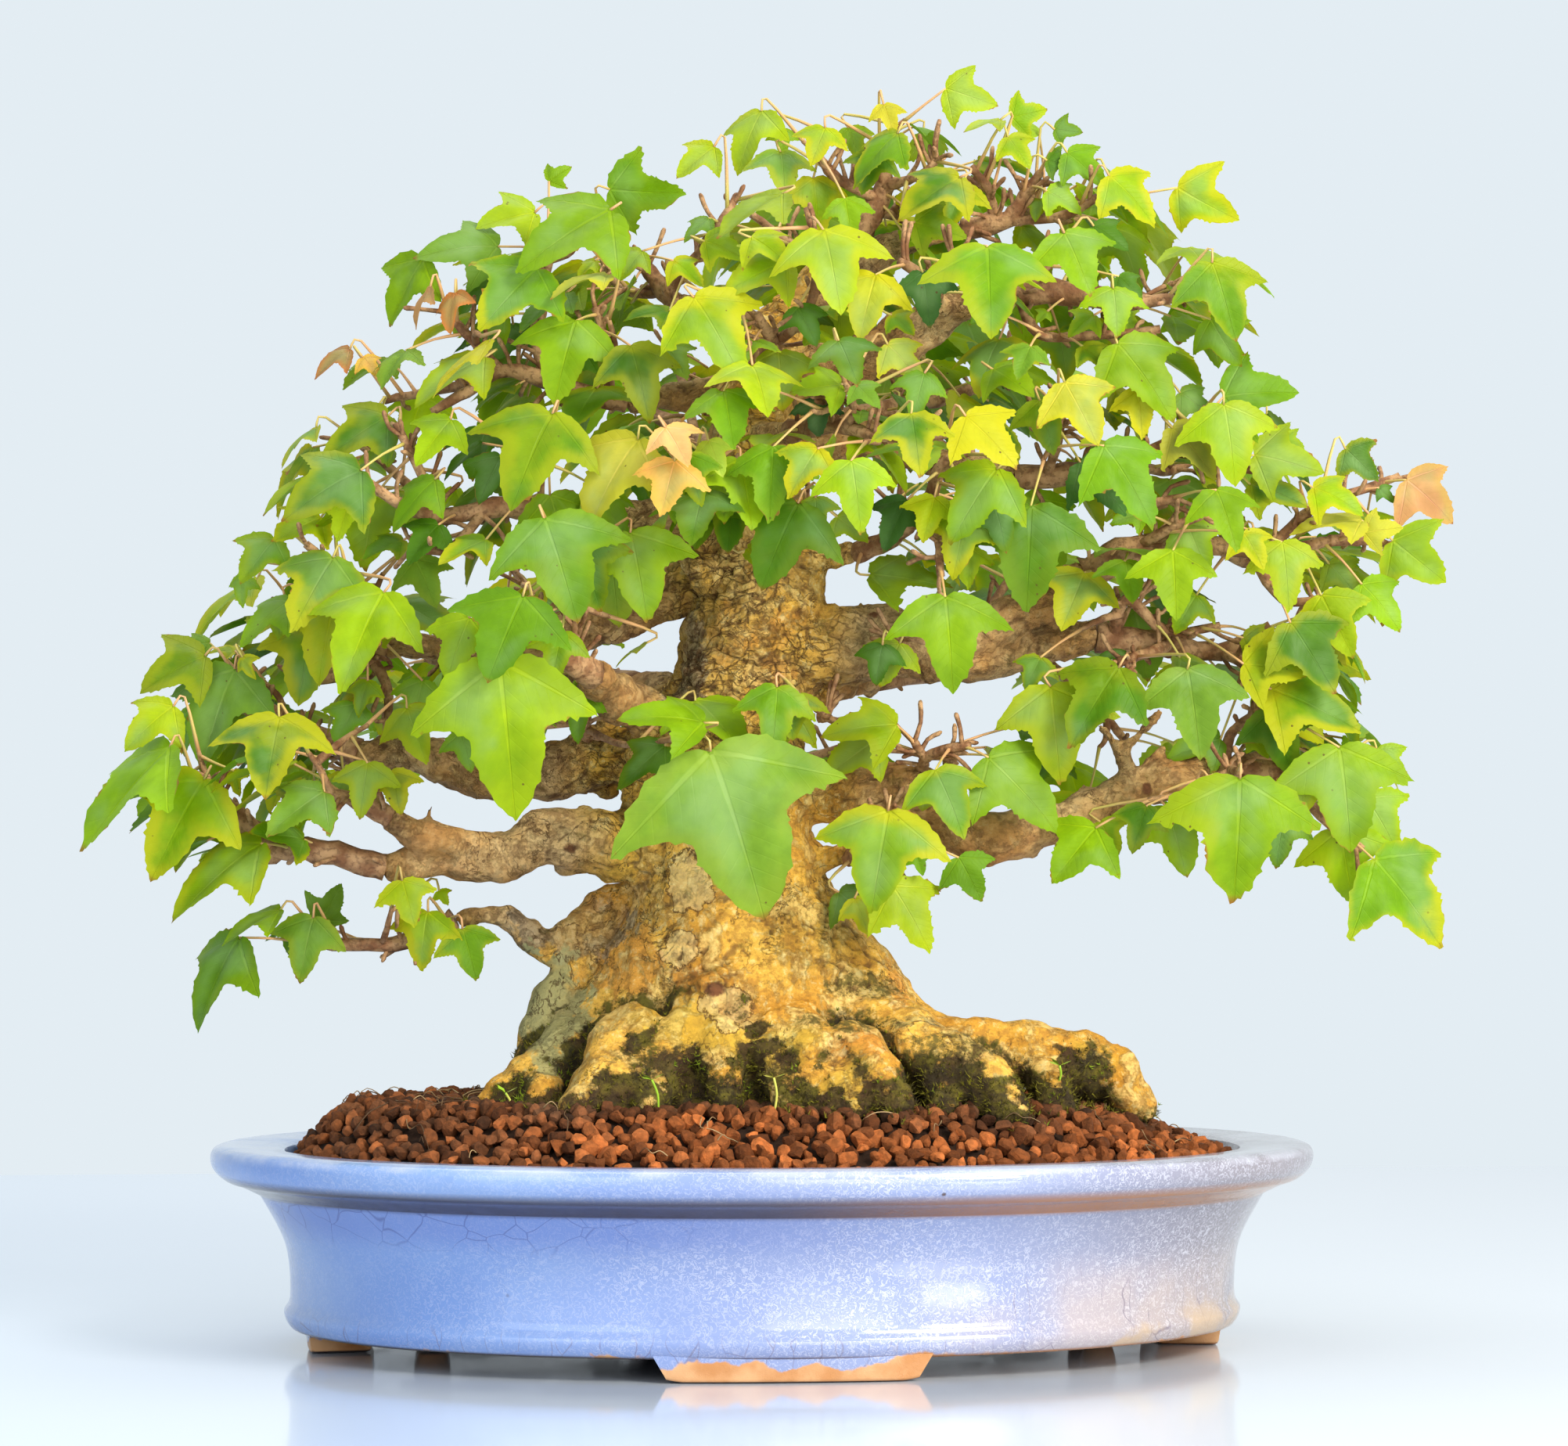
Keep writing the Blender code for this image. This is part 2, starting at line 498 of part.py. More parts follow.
# Leaves that show from the front: column and row of the blade's base and of its tip, nearness of
# the base in millimetres, lean of the tip towards the viewer and roll about the middle vein, degrees
LEAVES = {
    "left_low": [
        Leaf(308, 1198, 238, 1308, 14, 5, 30), Leaf(360, 1163, 284, 1200, 12, 10, 35),
        Leaf(402, 1172, 381, 1252, 16, 10, 0), Leaf(410, 1176, 442, 1133, 10, 0, 50),
        Leaf(515, 1125, 533, 1183, 12, 15, 0), Leaf(548, 1165, 533, 1236, 12, 10, 15),
        Leaf(592, 1187, 612, 1250, 14, 10, 0), Leaf(615, 1105, 596, 1165, 10, 15, 0),
    ],
    "left_tip": [
        Leaf(218, 955, 98, 1075, 34, 8, 35), Leaf(262, 996, 188, 1120, 40, 8, 0),
        Leaf(335, 1078, 212, 1162, 38, 8, 25), Leaf(222, 903, 160, 948, 26, 20, 0),
    ],
    "left_mid": [
        Leaf(357, 916, 347, 1008, 60, 40, 0), Leaf(415, 1012, 345, 1058, 50, 25, 0),
        Leaf(470, 975, 462, 1045, 46, 20, 0), Leaf(440, 990, 425, 1040, 40, 20, 0),
        Leaf(500, 985, 515, 1040, 42, 20, 0), Leaf(520, 905, 545, 975, 20, 15, 20),
    ],
    "left_far": [
        Leaf(300, 855, 254, 978, 12, 12, 20), Leaf(262, 838, 178, 876, 2, 10, 0),
        Leaf(385, 915, 330, 895, -10, 10, 40), Leaf(250, 905, 225, 960, -14, 10, 30),
        Leaf(455, 900, 430, 950, -2, 15, 0),
    ],
    "left_high": [
        Leaf(350, 688, 308, 745, 24, 20, 0), Leaf(425, 712, 375, 800, 34, 25, 0),
        Leaf(370, 768, 300, 810, 22, 15, 20), Leaf(490, 757, 436, 866, 48, 28, 0),
        Leaf(430, 765, 398, 872, 30, 10, 25), Leaf(400, 800, 380, 900, 14, 10, 0),
        Leaf(515, 690, 462, 706, 30, 20, 20), Leaf(365, 765, 350, 815, 14, 10, 20),
        Leaf(540, 870, 525, 930, 4, 15, 0), Leaf(530, 715, 560, 770, 30, 20, 0),
    ],
    "left_shoulder": [
        Leaf(495, 530, 408, 582, 26, 10, 0), Leaf(460, 600, 362, 650, 50, 20, 0),
        Leaf(575, 535, 530, 592, 40, 20, 0), Leaf(555, 612, 492, 668, 44, 10, 20),
        Leaf(640, 582, 610, 640, 48, 20, 0), Leaf(705, 527, 652, 634, 60, 28, 0),
        Leaf(560, 670, 520, 715, 50, 20, 0), Leaf(445, 640, 430, 690, 30, 15, 0),
        Leaf(620, 690, 560, 715, 50, 25, 20), Leaf(480, 520, 440, 560, 10, 10, 10),
    ],
    "front_left": [
        Leaf(695, 663, 742, 786, 76, 18, 0), Leaf(668, 762, 622, 868, 92, 18, 0),
        Leaf(600, 790, 566, 866, 78, 12, 0), Leaf(638, 845, 661, 1044, 90, 4, 0),
        Leaf(718, 808, 705, 872, 72, 20, 0), Leaf(805, 680, 830, 790, 56, 10, 0),
        Leaf(775, 680, 793, 798, 48, 10, 0), Leaf(740, 690, 765, 780, 62, 12, 20),
        Leaf(850, 872, 786, 884, 36, 10, 45), Leaf(825, 822, 782, 848, 38, 5, 50),
    ],
    "front_shoot": [
        Leaf(908, 960, 986, 1168, 74, 6, 0), Leaf(898, 924, 800, 898, 52, 15, 15),
        Leaf(850, 953, 786, 1004, 46, 12, 10), Leaf(590, 935, 604, 985, 20, 15, 0),
        Leaf(745, 885, 735, 950, 40, 10, 30),
    ],
    "trunk_shoot": [
        Leaf(993, 878, 990, 955, 56, 30, -10),
    ],
    "top_left": [
        Leaf(778, 265, 662, 332, 26, 12, 0), Leaf(682, 268, 608, 285, 10, 18, 0),
        Leaf(635, 312, 532, 308, 20, 12, 0), Leaf(538, 328, 488, 410, 24, 10, 20),
        Leaf(685, 340, 612, 418, 40, 20, 0), Leaf(775, 348, 702, 366, 40, 25, 35),
        Leaf(722, 372, 661, 416, 44, 18, 30), Leaf(735, 408, 705, 506, 46, 20, 0),
        Leaf(805, 440, 833, 532, 52, 15, 0), Leaf(625, 435, 546, 498, 44, 10, 45),
        Leaf(618, 455, 525, 502, 34, 20, 20), Leaf(580, 372, 570, 425, 30, 15, 40),
        Leaf(548, 365, 518, 410, 26, 5, 50), Leaf(445, 445, 396, 472, 12, 10, 20),
        Leaf(645, 400, 590, 428, 30, 15, 0), Leaf(745, 445, 712, 500, 30, 15, 20),
    ],
    "crown_left": [
        Leaf(778, 238, 872, 249, 8, 5, 60), Leaf(912, 183, 862, 220, 18, 12, 0),
        Leaf(1000, 244, 912, 290, 36, 15, 30), Leaf(860, 330, 900, 360, 30, 20, 0),
        Leaf(900, 305, 955, 322, 30, 15, 10), Leaf(855, 395, 800, 395, 34, 20, 20),
        Leaf(850, 440, 880, 480, 46, 20, 0), Leaf(1005, 206, 942, 224, 12, 5, 50),
    ],
    "crown_front": [
        Leaf(886, 377, 952, 475, 66, 15, 0), Leaf(1005, 330, 925, 366, 58, 20, 0),
        Leaf(925, 498, 938, 566, 74, 40, 0), Leaf(1053, 291, 1075, 386, 68, 32, 0),
        Leaf(1118, 235, 1030, 260, 40, 18, 15), Leaf(960, 300, 1010, 330, 40, 25, 0),
        Leaf(1020, 390, 1045, 440, 52, 20, 0),
    ],
    "front_upper": [
        Leaf(1072, 433, 1096, 487, 76, 38, 0), Leaf(1165, 528, 1176, 606, 86, 32, 0),
        Leaf(1235, 530, 1302, 592, 78, 15, 0), Leaf(1088, 588, 1102, 672, 92, 22, 0),
        Leaf(1045, 572, 1005, 630, 78, 15, 0), Leaf(988, 570, 983, 660, 74, 15, 0),
        Leaf(1182, 475, 1166, 530, 70, 25, 0), Leaf(1135, 438, 1182, 482, 62, 15, 0),
        Leaf(1075, 490, 1012, 494, 60, 20, 0),
    ],
    "front_centre": [
        Leaf(850, 545, 880, 590, 74, 30, 0), Leaf(862, 588, 843, 656, 78, 12, 0),
        Leaf(815, 560, 739, 664, 72, 8, 15), Leaf(1020, 642, 966, 743, 66, 12, 0),
        Leaf(880, 580, 892, 645, 72, 10, 20),
    ],
    "crown_top": [
        Leaf(1210, 107, 1276, 130, 12, 5, 45), Leaf(1148, 165, 1082, 220, 20, 10, 20),
        Leaf(1228, 222, 1146, 268, 26, 18, 10), Leaf(1170, 280, 1236, 300, 22, 15, 20),
        Leaf(1120, 190, 1100, 240, 20, 20, 0), Leaf(1230, 230, 1212, 288, 18, 15, 0),
        Leaf(1080, 250, 1090, 300, 26, 20, 0),
    ],
    "crown_right": [
        Leaf(1366, 190, 1416, 232, 10, 10, 10), Leaf(1420, 220, 1484, 275, 12, 8, 0),
        Leaf(1508, 235, 1582, 283, 14, 4, 55), Leaf(1340, 240, 1386, 262, 10, 12, 0),
        Leaf(1290, 170, 1320, 210, 8, 10, 0),
    ],
    "right_upper": [
        Leaf(1362, 294, 1398, 372, 42, 16, 0), Leaf(1400, 285, 1446, 312, 24, 12, 0),
        Leaf(1552, 332, 1584, 432, 34, 10, 0), Leaf(1550, 405, 1582, 468, 24, 4, 45),
        Leaf(1430, 437, 1508, 528, 34, 12, 0),
    ],
    "upper_inner": [
        Leaf(1263, 311, 1265, 432, 76, 28, 0), Leaf(1120, 348, 1096, 426, 66, 18, 0),
        Leaf(1180, 345, 1190, 416, 54, 12, 0),
    ],
    "right_rear": [
        Leaf(1362, 487, 1408, 567, 44, 12, 0), Leaf(1456, 496, 1462, 558, 36, 12, 0),
        Leaf(1566, 515, 1584, 615, 40, 10, 0), Leaf(1566, 505, 1658, 492, 22, 12, 15),
        Leaf(1412, 568, 1482, 662, 50, 12, 0), Leaf(1382, 590, 1442, 650, 34, 12, 10),
        Leaf(1500, 545, 1560, 602, 36, 12, 0), Leaf(1556, 625, 1580, 694, 48, 32, 0),
        Leaf(1605, 580, 1694, 598, 26, 10, 20), Leaf(1600, 618, 1672, 640, 26, 18, 0),
        Leaf(1318, 646, 1312, 776, 52, 10, 0), Leaf(1330, 510, 1345, 575, 26, 12, 10),
        Leaf(1510, 500, 1560, 530, 20, 18, 0), Leaf(1270, 470, 1320, 500, 30, 20, 0),
    ],
    "right_high": [
        Leaf(1680, 622, 1744, 645, 18, 18, 0), Leaf(1722, 572, 1764, 612, 0, 6, 30),
        Leaf(1800, 612, 1864, 662, 6, 5, 15), Leaf(1640, 692, 1650, 776, 36, 14, 0),
        Leaf(1500, 703, 1503, 790, 44, 18, 0), Leaf(1690, 760, 1729, 840, 18, 6, 25),
        Leaf(1742, 746, 1796, 800, 10, 8, 0), Leaf(1782, 690, 1849, 745, 6, 4, 40),
        Leaf(1742, 664, 1650, 665, 14, 12, 30), Leaf(1590, 680, 1618, 722, 34, 20, 0),
        Leaf(1530, 760, 1500, 805, 6, 15, 0), Leaf(1650, 795, 1709, 884, 24, 6, 10),
        Leaf(1700, 720, 1740, 760, -6, 10, 0),
    ],
    "right_mid": [
        Leaf(1343, 877, 1352, 998, 34, 10, 10), Leaf(1430, 853, 1362, 946, 44, 12, 0),
        Leaf(1518, 855, 1534, 968, 40, 14, 0), Leaf(1590, 848, 1674, 856, 26, 18, 10),
        Leaf(1625, 880, 1742, 925, 16, 8, 0), Leaf(1626, 905, 1650, 990, 26, 8, 20),
        Leaf(1610, 880, 1700, 945, 4, 6, 0), Leaf(1590, 815, 1640, 825, 10, 15, 0),
        Leaf(1560, 945, 1490, 962, 2, 12, 0),
    ],
    "right_low": [
        Leaf(1712, 955, 1727, 1086, 22, 10, 0), Leaf(1585, 995, 1578, 1150, 52, 5, 0),
        Leaf(1755, 1098, 1851, 1203, 8, 4, 0), Leaf(1745, 1020, 1791, 1084, -2, 6, 10),
        Leaf(1712, 1060, 1727, 1155, 2, 5, 15), Leaf(1740, 1040, 1772, 1088, -8, 8, 0),
        Leaf(1400, 1058, 1341, 1126, 22, 6, 0), Leaf(1465, 1030, 1445, 1090, 24, 8, 0),
        Leaf(1490, 1030, 1519, 1120, 18, 6, 0), Leaf(1640, 1040, 1630, 1108, 20, 6, 0),
        Leaf(1680, 990, 1650, 1045, 20, 12, 0), Leaf(1760, 960, 1800, 1002, -6, 8, 20),
    ],
    "right_inner": [
        Leaf(1135, 1036, 1111, 1162, 62, 10, 0), Leaf(1140, 1132, 1194, 1212, 40, 5, 0),
        Leaf(1092, 1148, 1112, 1194, 30, 8, 0), Leaf(1072, 1140, 1120, 1180, 22, 12, 0),
        Leaf(1225, 1096, 1256, 1150, 36, 5, 15),
    ],
    "right_cut": [
        Leaf(1195, 985, 1232, 1058, 42, 30, 0), Leaf(1263, 968, 1355, 1054, 34, 10, 0),
        Leaf(1146, 927, 1053, 926, 30, 14, 0), Leaf(1122, 945, 1050, 990, 20, 12, 0),
    ],
    "right_under": [
        Leaf(1128, 824, 1115, 874, 28, 5, 10), Leaf(1150, 822, 1122, 875, 22, 6, 0),
    ],
    "front_right": [
        Leaf(1275, 598, 1209, 684, 66, 12, 0), Leaf(1195, 634, 1179, 692, 56, 12, 0),
        Leaf(1160, 638, 1126, 700, 48, 12, 0), Leaf(1236, 652, 1216, 736, 58, 12, 0),
        Leaf(1208, 762, 1219, 874, 72, 20, 0), Leaf(1270, 640, 1290, 705, 54, 12, 0),
        Leaf(1240, 700, 1236, 750, 48, 12, 10), Leaf(1070, 660, 1110, 690, 20, 15, 0),
    ],
}

# Outline of the crown in the front view, which leaves placed by the rule stay inside
CROWN_OUTLINE = [
    (120, 1060), (165, 950), (190, 850), (250, 790), (300, 690), (360, 590), (410, 500), (490, 400),
    (510, 320), (610, 250), (720, 220), (850, 190), (990, 150), (1130, 125), (1260, 115), (1370, 150),
    (1460, 215), (1570, 270), (1640, 340), (1660, 480), (1710, 580), (1840, 640), (1830, 740),
    (1780, 830), (1740, 930), (1790, 1010), (1820, 1120), (1720, 1130), (1580, 1130), (1430, 1110),
    (1240, 1110), (1130, 1130), (900, 1080), (800, 1040), (640, 1030), (530, 1000), (470, 1130),
    (560, 1200), (380, 1230), (300, 1170), (200, 1110),
]

# Clear places between the branches, through which the wall behind shows: left, top, right, bottom
CLEARINGS = [
    (1060, 850, 1270, 990), (790, 745, 860, 880), (585, 1000, 785, 1060), (440, 1125, 800, 1400),
    (1375, 880, 1500, 985), (1235, 1090, 1700, 1400), (1560, 720, 1640, 800), (1240, 855, 1300, 960),
    (560, 715, 690, 740), (1040, 1100, 1300, 1400), (500, 470, 560, 520),
]


def curve(points):
    """Path through points, with the direction in which it runs at each."""
    tangents = []
    for i in range(len(points)):
        before, after = points[max(i - 1, 0)], points[min(i + 1, len(points) - 1)]
        tangents.append((after - before).normalized())
    return points, tangents


def blend(values, count):
    """Values spread evenly over count places, blended between."""
    result = []
    for i in range(count):
        place = i * (len(values) - 1) / (count - 1)
        low = min(int(place), len(values) - 2)
        result.append(values[low] + (values[low + 1] - values[low]) * (place - low))
    return result


def tube(path, tangents, radii, sides):
    """Closed, slightly knobbly tube along a path."""
    side = tangents[0].cross(Vector((0.3, 0.9, 0.2))).normalized()
    rings = []
    for place, tangent, radius in zip(path, tangents, radii):
        side = (side - tangent * side.dot(tangent)).normalized()
        up = tangent.cross(side)
        ring = []
        for i in range(sides):
            angle = math.tau * i / sides
            reach = radius * (1 + 0.08 * math.sin(2.4 * i + 170 * place.x + 230 * place.z))
            ring.append(place + (side * math.cos(angle) + up * math.sin(angle)) * reach)
        rings.append(ring)
    return loft(rings)


def ridge_reach(angle, height):
    """How far the root ridges stand proud of the trunk at an angle and a height, millimetres."""
    share = max(0.0, min(1.0, (RIDGE_TOP - height) / (RIDGE_TOP - RIDGE_FOOT)))
    total = 0.0
    for direction, reach, width in RIDGES:
        away = (math.degrees(angle) - direction + 180) % 360 - 180
        total += reach * math.exp(-(away / width) ** 2)
    return total * share * share


def trunk_body(extra):
    """Lofted trunk that flares into ridges at its roots, grown outwards by extra metres."""
    rings = []
    for ring in TRUNK_RINGS:
        middle_x, middle_y = (ring.left + ring.right) / 2, (ring.front + ring.back) / 2
        half_x, half_y = (ring.right - ring.left) / 2, (ring.back - ring.front) / 2
        points = []
        for i in range(TRUNK_SIDES):
            angle = math.tau * i / TRUNK_SIDES
            lump = 1 + 0.03 * math.sin(3 * angle + ring.height * 0.05)
            lump += 0.02 * math.sin(5 * angle - ring.height * 0.09)
            proud = ridge_reach(angle, ring.height) + extra / MM
            x = middle_x + (half_x * lump + proud) * math.cos(angle)
            y = middle_y + (half_y * lump + proud) * math.sin(angle)
            points.append((x * MM, y * MM, ring.height * MM))
        rings.append(points)
    if extra:
        rings[0] = [(x, y, z - GAP) for x, y, z in rings[0]]
    return loft(rings)


def rod(points, radii, sides, extra=0.0):
    """Tube through points of the front view, with radii in millimetres."""
    path, tangents = curve([seen(*p) for p in points])
    path[-1] = path[-1] + tangents[-1] * extra
    return tube(path, tangents, [r * MM + extra for r in blend(radii, len(path))], sides)


def base_solids(extra):
    """Trunk and surface roots, grown outwards by extra metres."""
    return [trunk_body(extra)] + [rod(points, radii, 6, extra) for points, radii in ROOTS]


def make_trunk(material):
    solids = base_solids(0.0)
    solids += [rod(points, radii, 5) for points, radii in STUBS]
    for wood in BRANCHES:
        limb = wood_path(wood)
        end = limb["cut"] + 1
        sides = 6 if wood.radii[0] > THICK_LIMB else 5
        solids.append(tube(limb["path"][:end], limb["tangents"][:end], limb["radii"][:end], sides))
    parts = [make_object("trunk", *solid) for solid in solids]
    trunk = parts[0]
    trunk.data.materials.append(material)
    boolean(trunk, parts[1:], "UNION")
    keep_largest_body(trunk)
    lighten(trunk, TRUNK_SHARE)
    smooth(trunk, 50)
    return trunk


def wood_path(wood):
    """Path, tangents and radii along a whole branch, and the index at which the limb is cut."""
    path, tangents = curve([seen(*p) for p in wood.path])
    start, middle, end = (r * MM for r in wood.radii)
    radii = blend([start, middle], wood.cut + 1) + blend([middle, end], len(path) - wood.cut)[1:]
    return {"path": path, "tangents": tangents, "radii": radii, "cut": wood.cut}


# Half of a blade's outline, base to tip, in shares of its length, and its vein points, for the
# small, the plain and the detailed blade
OUTLINES = [
    [(0.66, 0.36), (0.30, 0.44)],
    [(0.32, 0.02), (0.66, 0.37), (0.29, 0.44), (0.24, 0.68)],
    [(0.20, -0.03), (0.50, 0.14), (0.68, 0.37), (0.48, 0.41), (0.29, 0.44), (0.26, 0.64), (0.14, 0.84)],
]
VEINS = [[(0, 0.25)], [(0, 0.27)], [(0, 0.10), (0, 0.52), (0.34, 0.22), (-0.34, 0.22)]]
SIDE_VEIN_ANGLE = math.radians(62)


def blade_height(x, y, droop, fold):
    """Height of a blade above its flat: ridges between the veins, and drooping lobes."""
    reach = math.hypot(x, y)
    angle = math.atan2(abs(x), y)
    if angle < SIDE_VEIN_ANGLE:
        ridge = math.sin(math.pi * angle / SIDE_VEIN_ANGLE)
    else:
        ridge = min(1.0, (angle - SIDE_VEIN_ANGLE) / 0.9)
    return fold * ridge * reach * (1.1 - 0.5 * reach) - droop * reach * reach


class Blade:
    """One leaf: where its blade hangs, how it is turned and shaped, and its petiole."""

    def __init__(self, base, axis, facing, length, draw):
        self.base, self.axis, self.length = base, axis.normalized(), length
        self.normal = (facing - self.axis * facing.dot(self.axis)).normalized()
        self.side = self.axis.cross(self.normal)
        self.droop = draw.uniform(0.10, 0.34)
        self.fold = draw.uniform(0.10, 0.22)
        self.spread = draw.uniform(0.86, 1.06)
        self.skew = draw.uniform(-0.06, 0.06)
        self.detail = (length > PLAIN_LEAF) + (length > DETAILED_LEAF)
        self.petiole = []

    def place(self, x, y, lift=0.0):
        """Point of the blade at a share of its length across and along it, lifted in metres."""
        height = blade_height(x, y, self.droop, self.fold)
        across = x * self.spread * (1 + self.skew * (1 if x > 0 else -1))
        flat = self.side * across + self.axis * y + self.normal * height
        return self.base + flat * self.length + self.normal * lift

    def outline(self):
        half = OUTLINES[self.detail]
        return half + [(0, 1.0)] + [(-x, y) for x, y in reversed(half)]

    def faces(self):
        """Faces of the upper side over rim and vein points, and the number of rim points."""
        rim = len(self.outline())
        right, left = rim, rim + 1
        vein = rim + 2
        if self.detail < 2:
            order = [right] + list(range(rim)) + [left]
            return [(vein, order[i], order[i + 1]) for i in range(len(order) - 1)], rim
        middle, lobe_right, lobe_left = vein + 1, vein + 2, vein + 3
        half = [
            (vein, right, 0), (vein, 0, lobe_right), (lobe_right, 0, 1), (lobe_right, 1, 2),
            (lobe_right, 2, 3), (lobe_right, 3, 4), (vein, lobe_right, 4), (vein, 4, middle),
            (middle, 4, 5), (middle, 5, 6), (middle, 6, 7),
        ]
        swap = {right: left, lobe_right: lobe_left, vein: vein, middle: middle}
        swap.update({i: rim - 1 - i for i in range(rim)})
        return half + [tuple(swap[i] for i in reversed(face)) for face in half], rim

    def solid(self):
        """Blade and petiole as one closed mesh, thick along its veins and fine at its edge."""
        faces, rim = self.faces()
        veins = VEINS[self.detail]
        thick = LEAF_THICKNESS
        vertices = [self.place(x, y) for x, y in self.outline()]
        rings = []
        across = self.side
        path = self.petiole
        for i, point in enumerate(path):
            after, before = path[min(i + 1, len(path) - 1)] - point, point - path[max(i - 1, 0)]
            along = (after.normalized() + before.normalized()).normalized() if i else -self.axis
            across = (across - along * across.dot(along)).normalized()
            up = along.cross(across)
            half = PETIOLE_WIDTH / 2 * (1 - 0.35 * i / (len(path) - 1))
            top = point + up * half * 0.5
            rings.append([top + across * half, top - across * half, point - up * half])
        vertices += rings[0][:2]
        vertices += [self.place(x, y, thick / 2) for x, y in veins]
        below = len(vertices)
        vertices += [self.place(x, y, -thick / 2) for x, y in veins]
        first_vein = rim + 2
        under = {first_vein + i: below + i for i in range(len(veins))}
        solid = list(faces)
        solid += [tuple(under.get(i, i) for i in reversed(face)) for face in faces]
        right, left = rim, rim + 1
        keel = len(vertices)
        vertices.append(rings[0][2])
        solid += [(first_vein, left, right), (below, right, keel), (below, keel, left)]
        ring = (right, left, keel)
        for corners in rings[1:]:
            following = tuple(range(len(vertices), len(vertices) + 3))
            vertices += corners
            r, l, k = ring
            r2, l2, k2 = following
            solid += [(l, l2, r2), (l, r2, r), (r, r2, k2), (r, k2, k), (l, k, k2), (l, k2, l2)]
            ring = following
        solid.append((ring[1], ring[2], ring[0]))
        return vertices, solid

    def probe(self):
        """Upper and lower side moved apart, to feel for anything too near the blade."""
        faces, rim = self.faces()
        veins = VEINS[self.detail]
        points = [(x * 1.03, y * 1.02) for x, y in self.outline()] + [(0.02, 0), (-0.02, 0)] + veins
        vertices, result = [], []
        for lift in (1.0, -1.0):
            start = len(vertices)
            extra = [0.0004] * (rim + 2) + [LEAF_THICKNESS * 0.5 + 0.0004] * len(veins)
            vertices += [self.place(x, y, lift * e) for (x, y), e in zip(points, extra)]
            result += [tuple(start + i for i in face) for face in faces]
        return vertices, result


def face_tree(vertices, faces):
    return BVHTree.FromPolygons([tuple(v) for v in vertices], faces)


class Crown:
    """Everything placed so far, so that no new twig or leaf crosses it."""

    def __init__(self):
        self.obstacles = []
        self.sprays = {}

    def add_obstacle(self, vertices, faces, owner, kind):
        tree = face_tree(vertices, faces)
        low = Vector([min(v[i] for v in vertices) for i in range(3)])
        high = Vector([max(v[i] for v in vertices) for i in range(3)])
        self.obstacles.append((low, high, tree, owner, kind))

    def is_clear(self, vertices, faces, ignore):
        tree = None
        low = [min(v[i] for v in vertices) for i in range(3)]
        high = [max(v[i] for v in vertices) for i in range(3)]
        for o_low, o_high, o_tree, owner, kind in self.obstacles:
            if (owner, kind) == ignore:
                continue
            if any(low[i] > o_high[i] or high[i] < o_low[i] for i in range(3)):
                continue
            if tree is None:
                tree = face_tree(vertices, faces)
            if tree.overlap(o_tree):
                return False
        return True


def places_along(path):
    """Evenly spaced places along a stem at which leaves and twigs can grow."""
    places = []
    for start, end in zip(path, path[1:]):
        count = max(2, int((end - start).length / NODE_SPACING))
        places += [start.lerp(end, (i + 0.5) / count) for i in range(count)]
    return places


def add_stem(crown, name, path, tangents, radii, sides):
    """Stem of a spray: a solid to fuse, an obstacle, and places that leaves can grow from."""
    spray = crown.sprays[name]
    solid = tube(path, tangents, radii, sides)
    spray["solids"].append(solid)
    crown.add_obstacle(*solid, name, "wood")
    spray["nodes"] += places_along(path)


def start_sprays(crown):
    """Main and side stems of every spray, outward from the limb's cut end."""
    for wood in BRANCHES:
        crown.sprays[wood.name] = {"solids": [], "nodes": [], "blades": []}
        whole = wood_path(wood)
        path = [p.copy() for p in whole["path"][whole["cut"]:]]
        tangents = whole["tangents"][whole["cut"]:]
        path[0] += tangents[0] * GAP
        add_stem(crown, wood.name, path, tangents, whole["radii"][whole["cut"]:], 4)
        for points in wood.sides:
            side_path = [seen(*p) for p in points]
            radii = [r * MM for r in blend([max(1.8, wood.radii[2] * 1.2), 1.3], len(side_path))]
            for _ in range(START_TRIES):
                if crown.is_clear(*tube(*curve(side_path), radii, 3), (wood.name, "wood")):
                    break
                side_path[0] = side_path[0].lerp(path[1], 0.3)
            add_stem(crown, wood.name, *curve(side_path), radii, 3)


def thin_tube(points, radii):
    return tube(*curve(points), radii, 3)


def plan_twig(blade, root, draw):
    """Twig from a stem towards a blade that is out of a leaf stalk's reach."""
    distance = (root - blade.base).length
    end = blade.base.lerp(root, 0.6 * PETIOLE_REACH / distance) + UP * 0.002
    middle = root.lerp(end, 0.5)
    middle += Vector([draw.uniform(-1, 1) for _ in range(3)]) * 0.07 * distance
    path = [root, middle, end]
    return path, thin_tube(path, [TWIG_RADIUS * 1.2, TWIG_RADIUS, TWIG_RADIUS * 0.9])


def crosses(one, other):
    return bool(face_tree(*one).overlap(face_tree(*other)))


def folds_through_itself(vertices, faces):
    """True where two faces that share no corner cross."""
    tree = face_tree(vertices, faces)
    return any(not set(faces[i]) & set(faces[j]) for i, j in tree.overlap(tree))


def hang_leaf(crown, name, blade, draw):
    """Grow a leaf from one of the nearest free places on its spray."""
    wanted = blade.base - blade.axis * 0.014 + UP * 0.004
    nodes = crown.sprays[name]["nodes"]
    nearest = sorted(nodes, key=lambda p: (p - wanted).length + 0.25 * (p - blade.base).length)
    return any(grow_leaf(crown, name, blade, node, draw) for node in nearest[:NODES_TRIED])


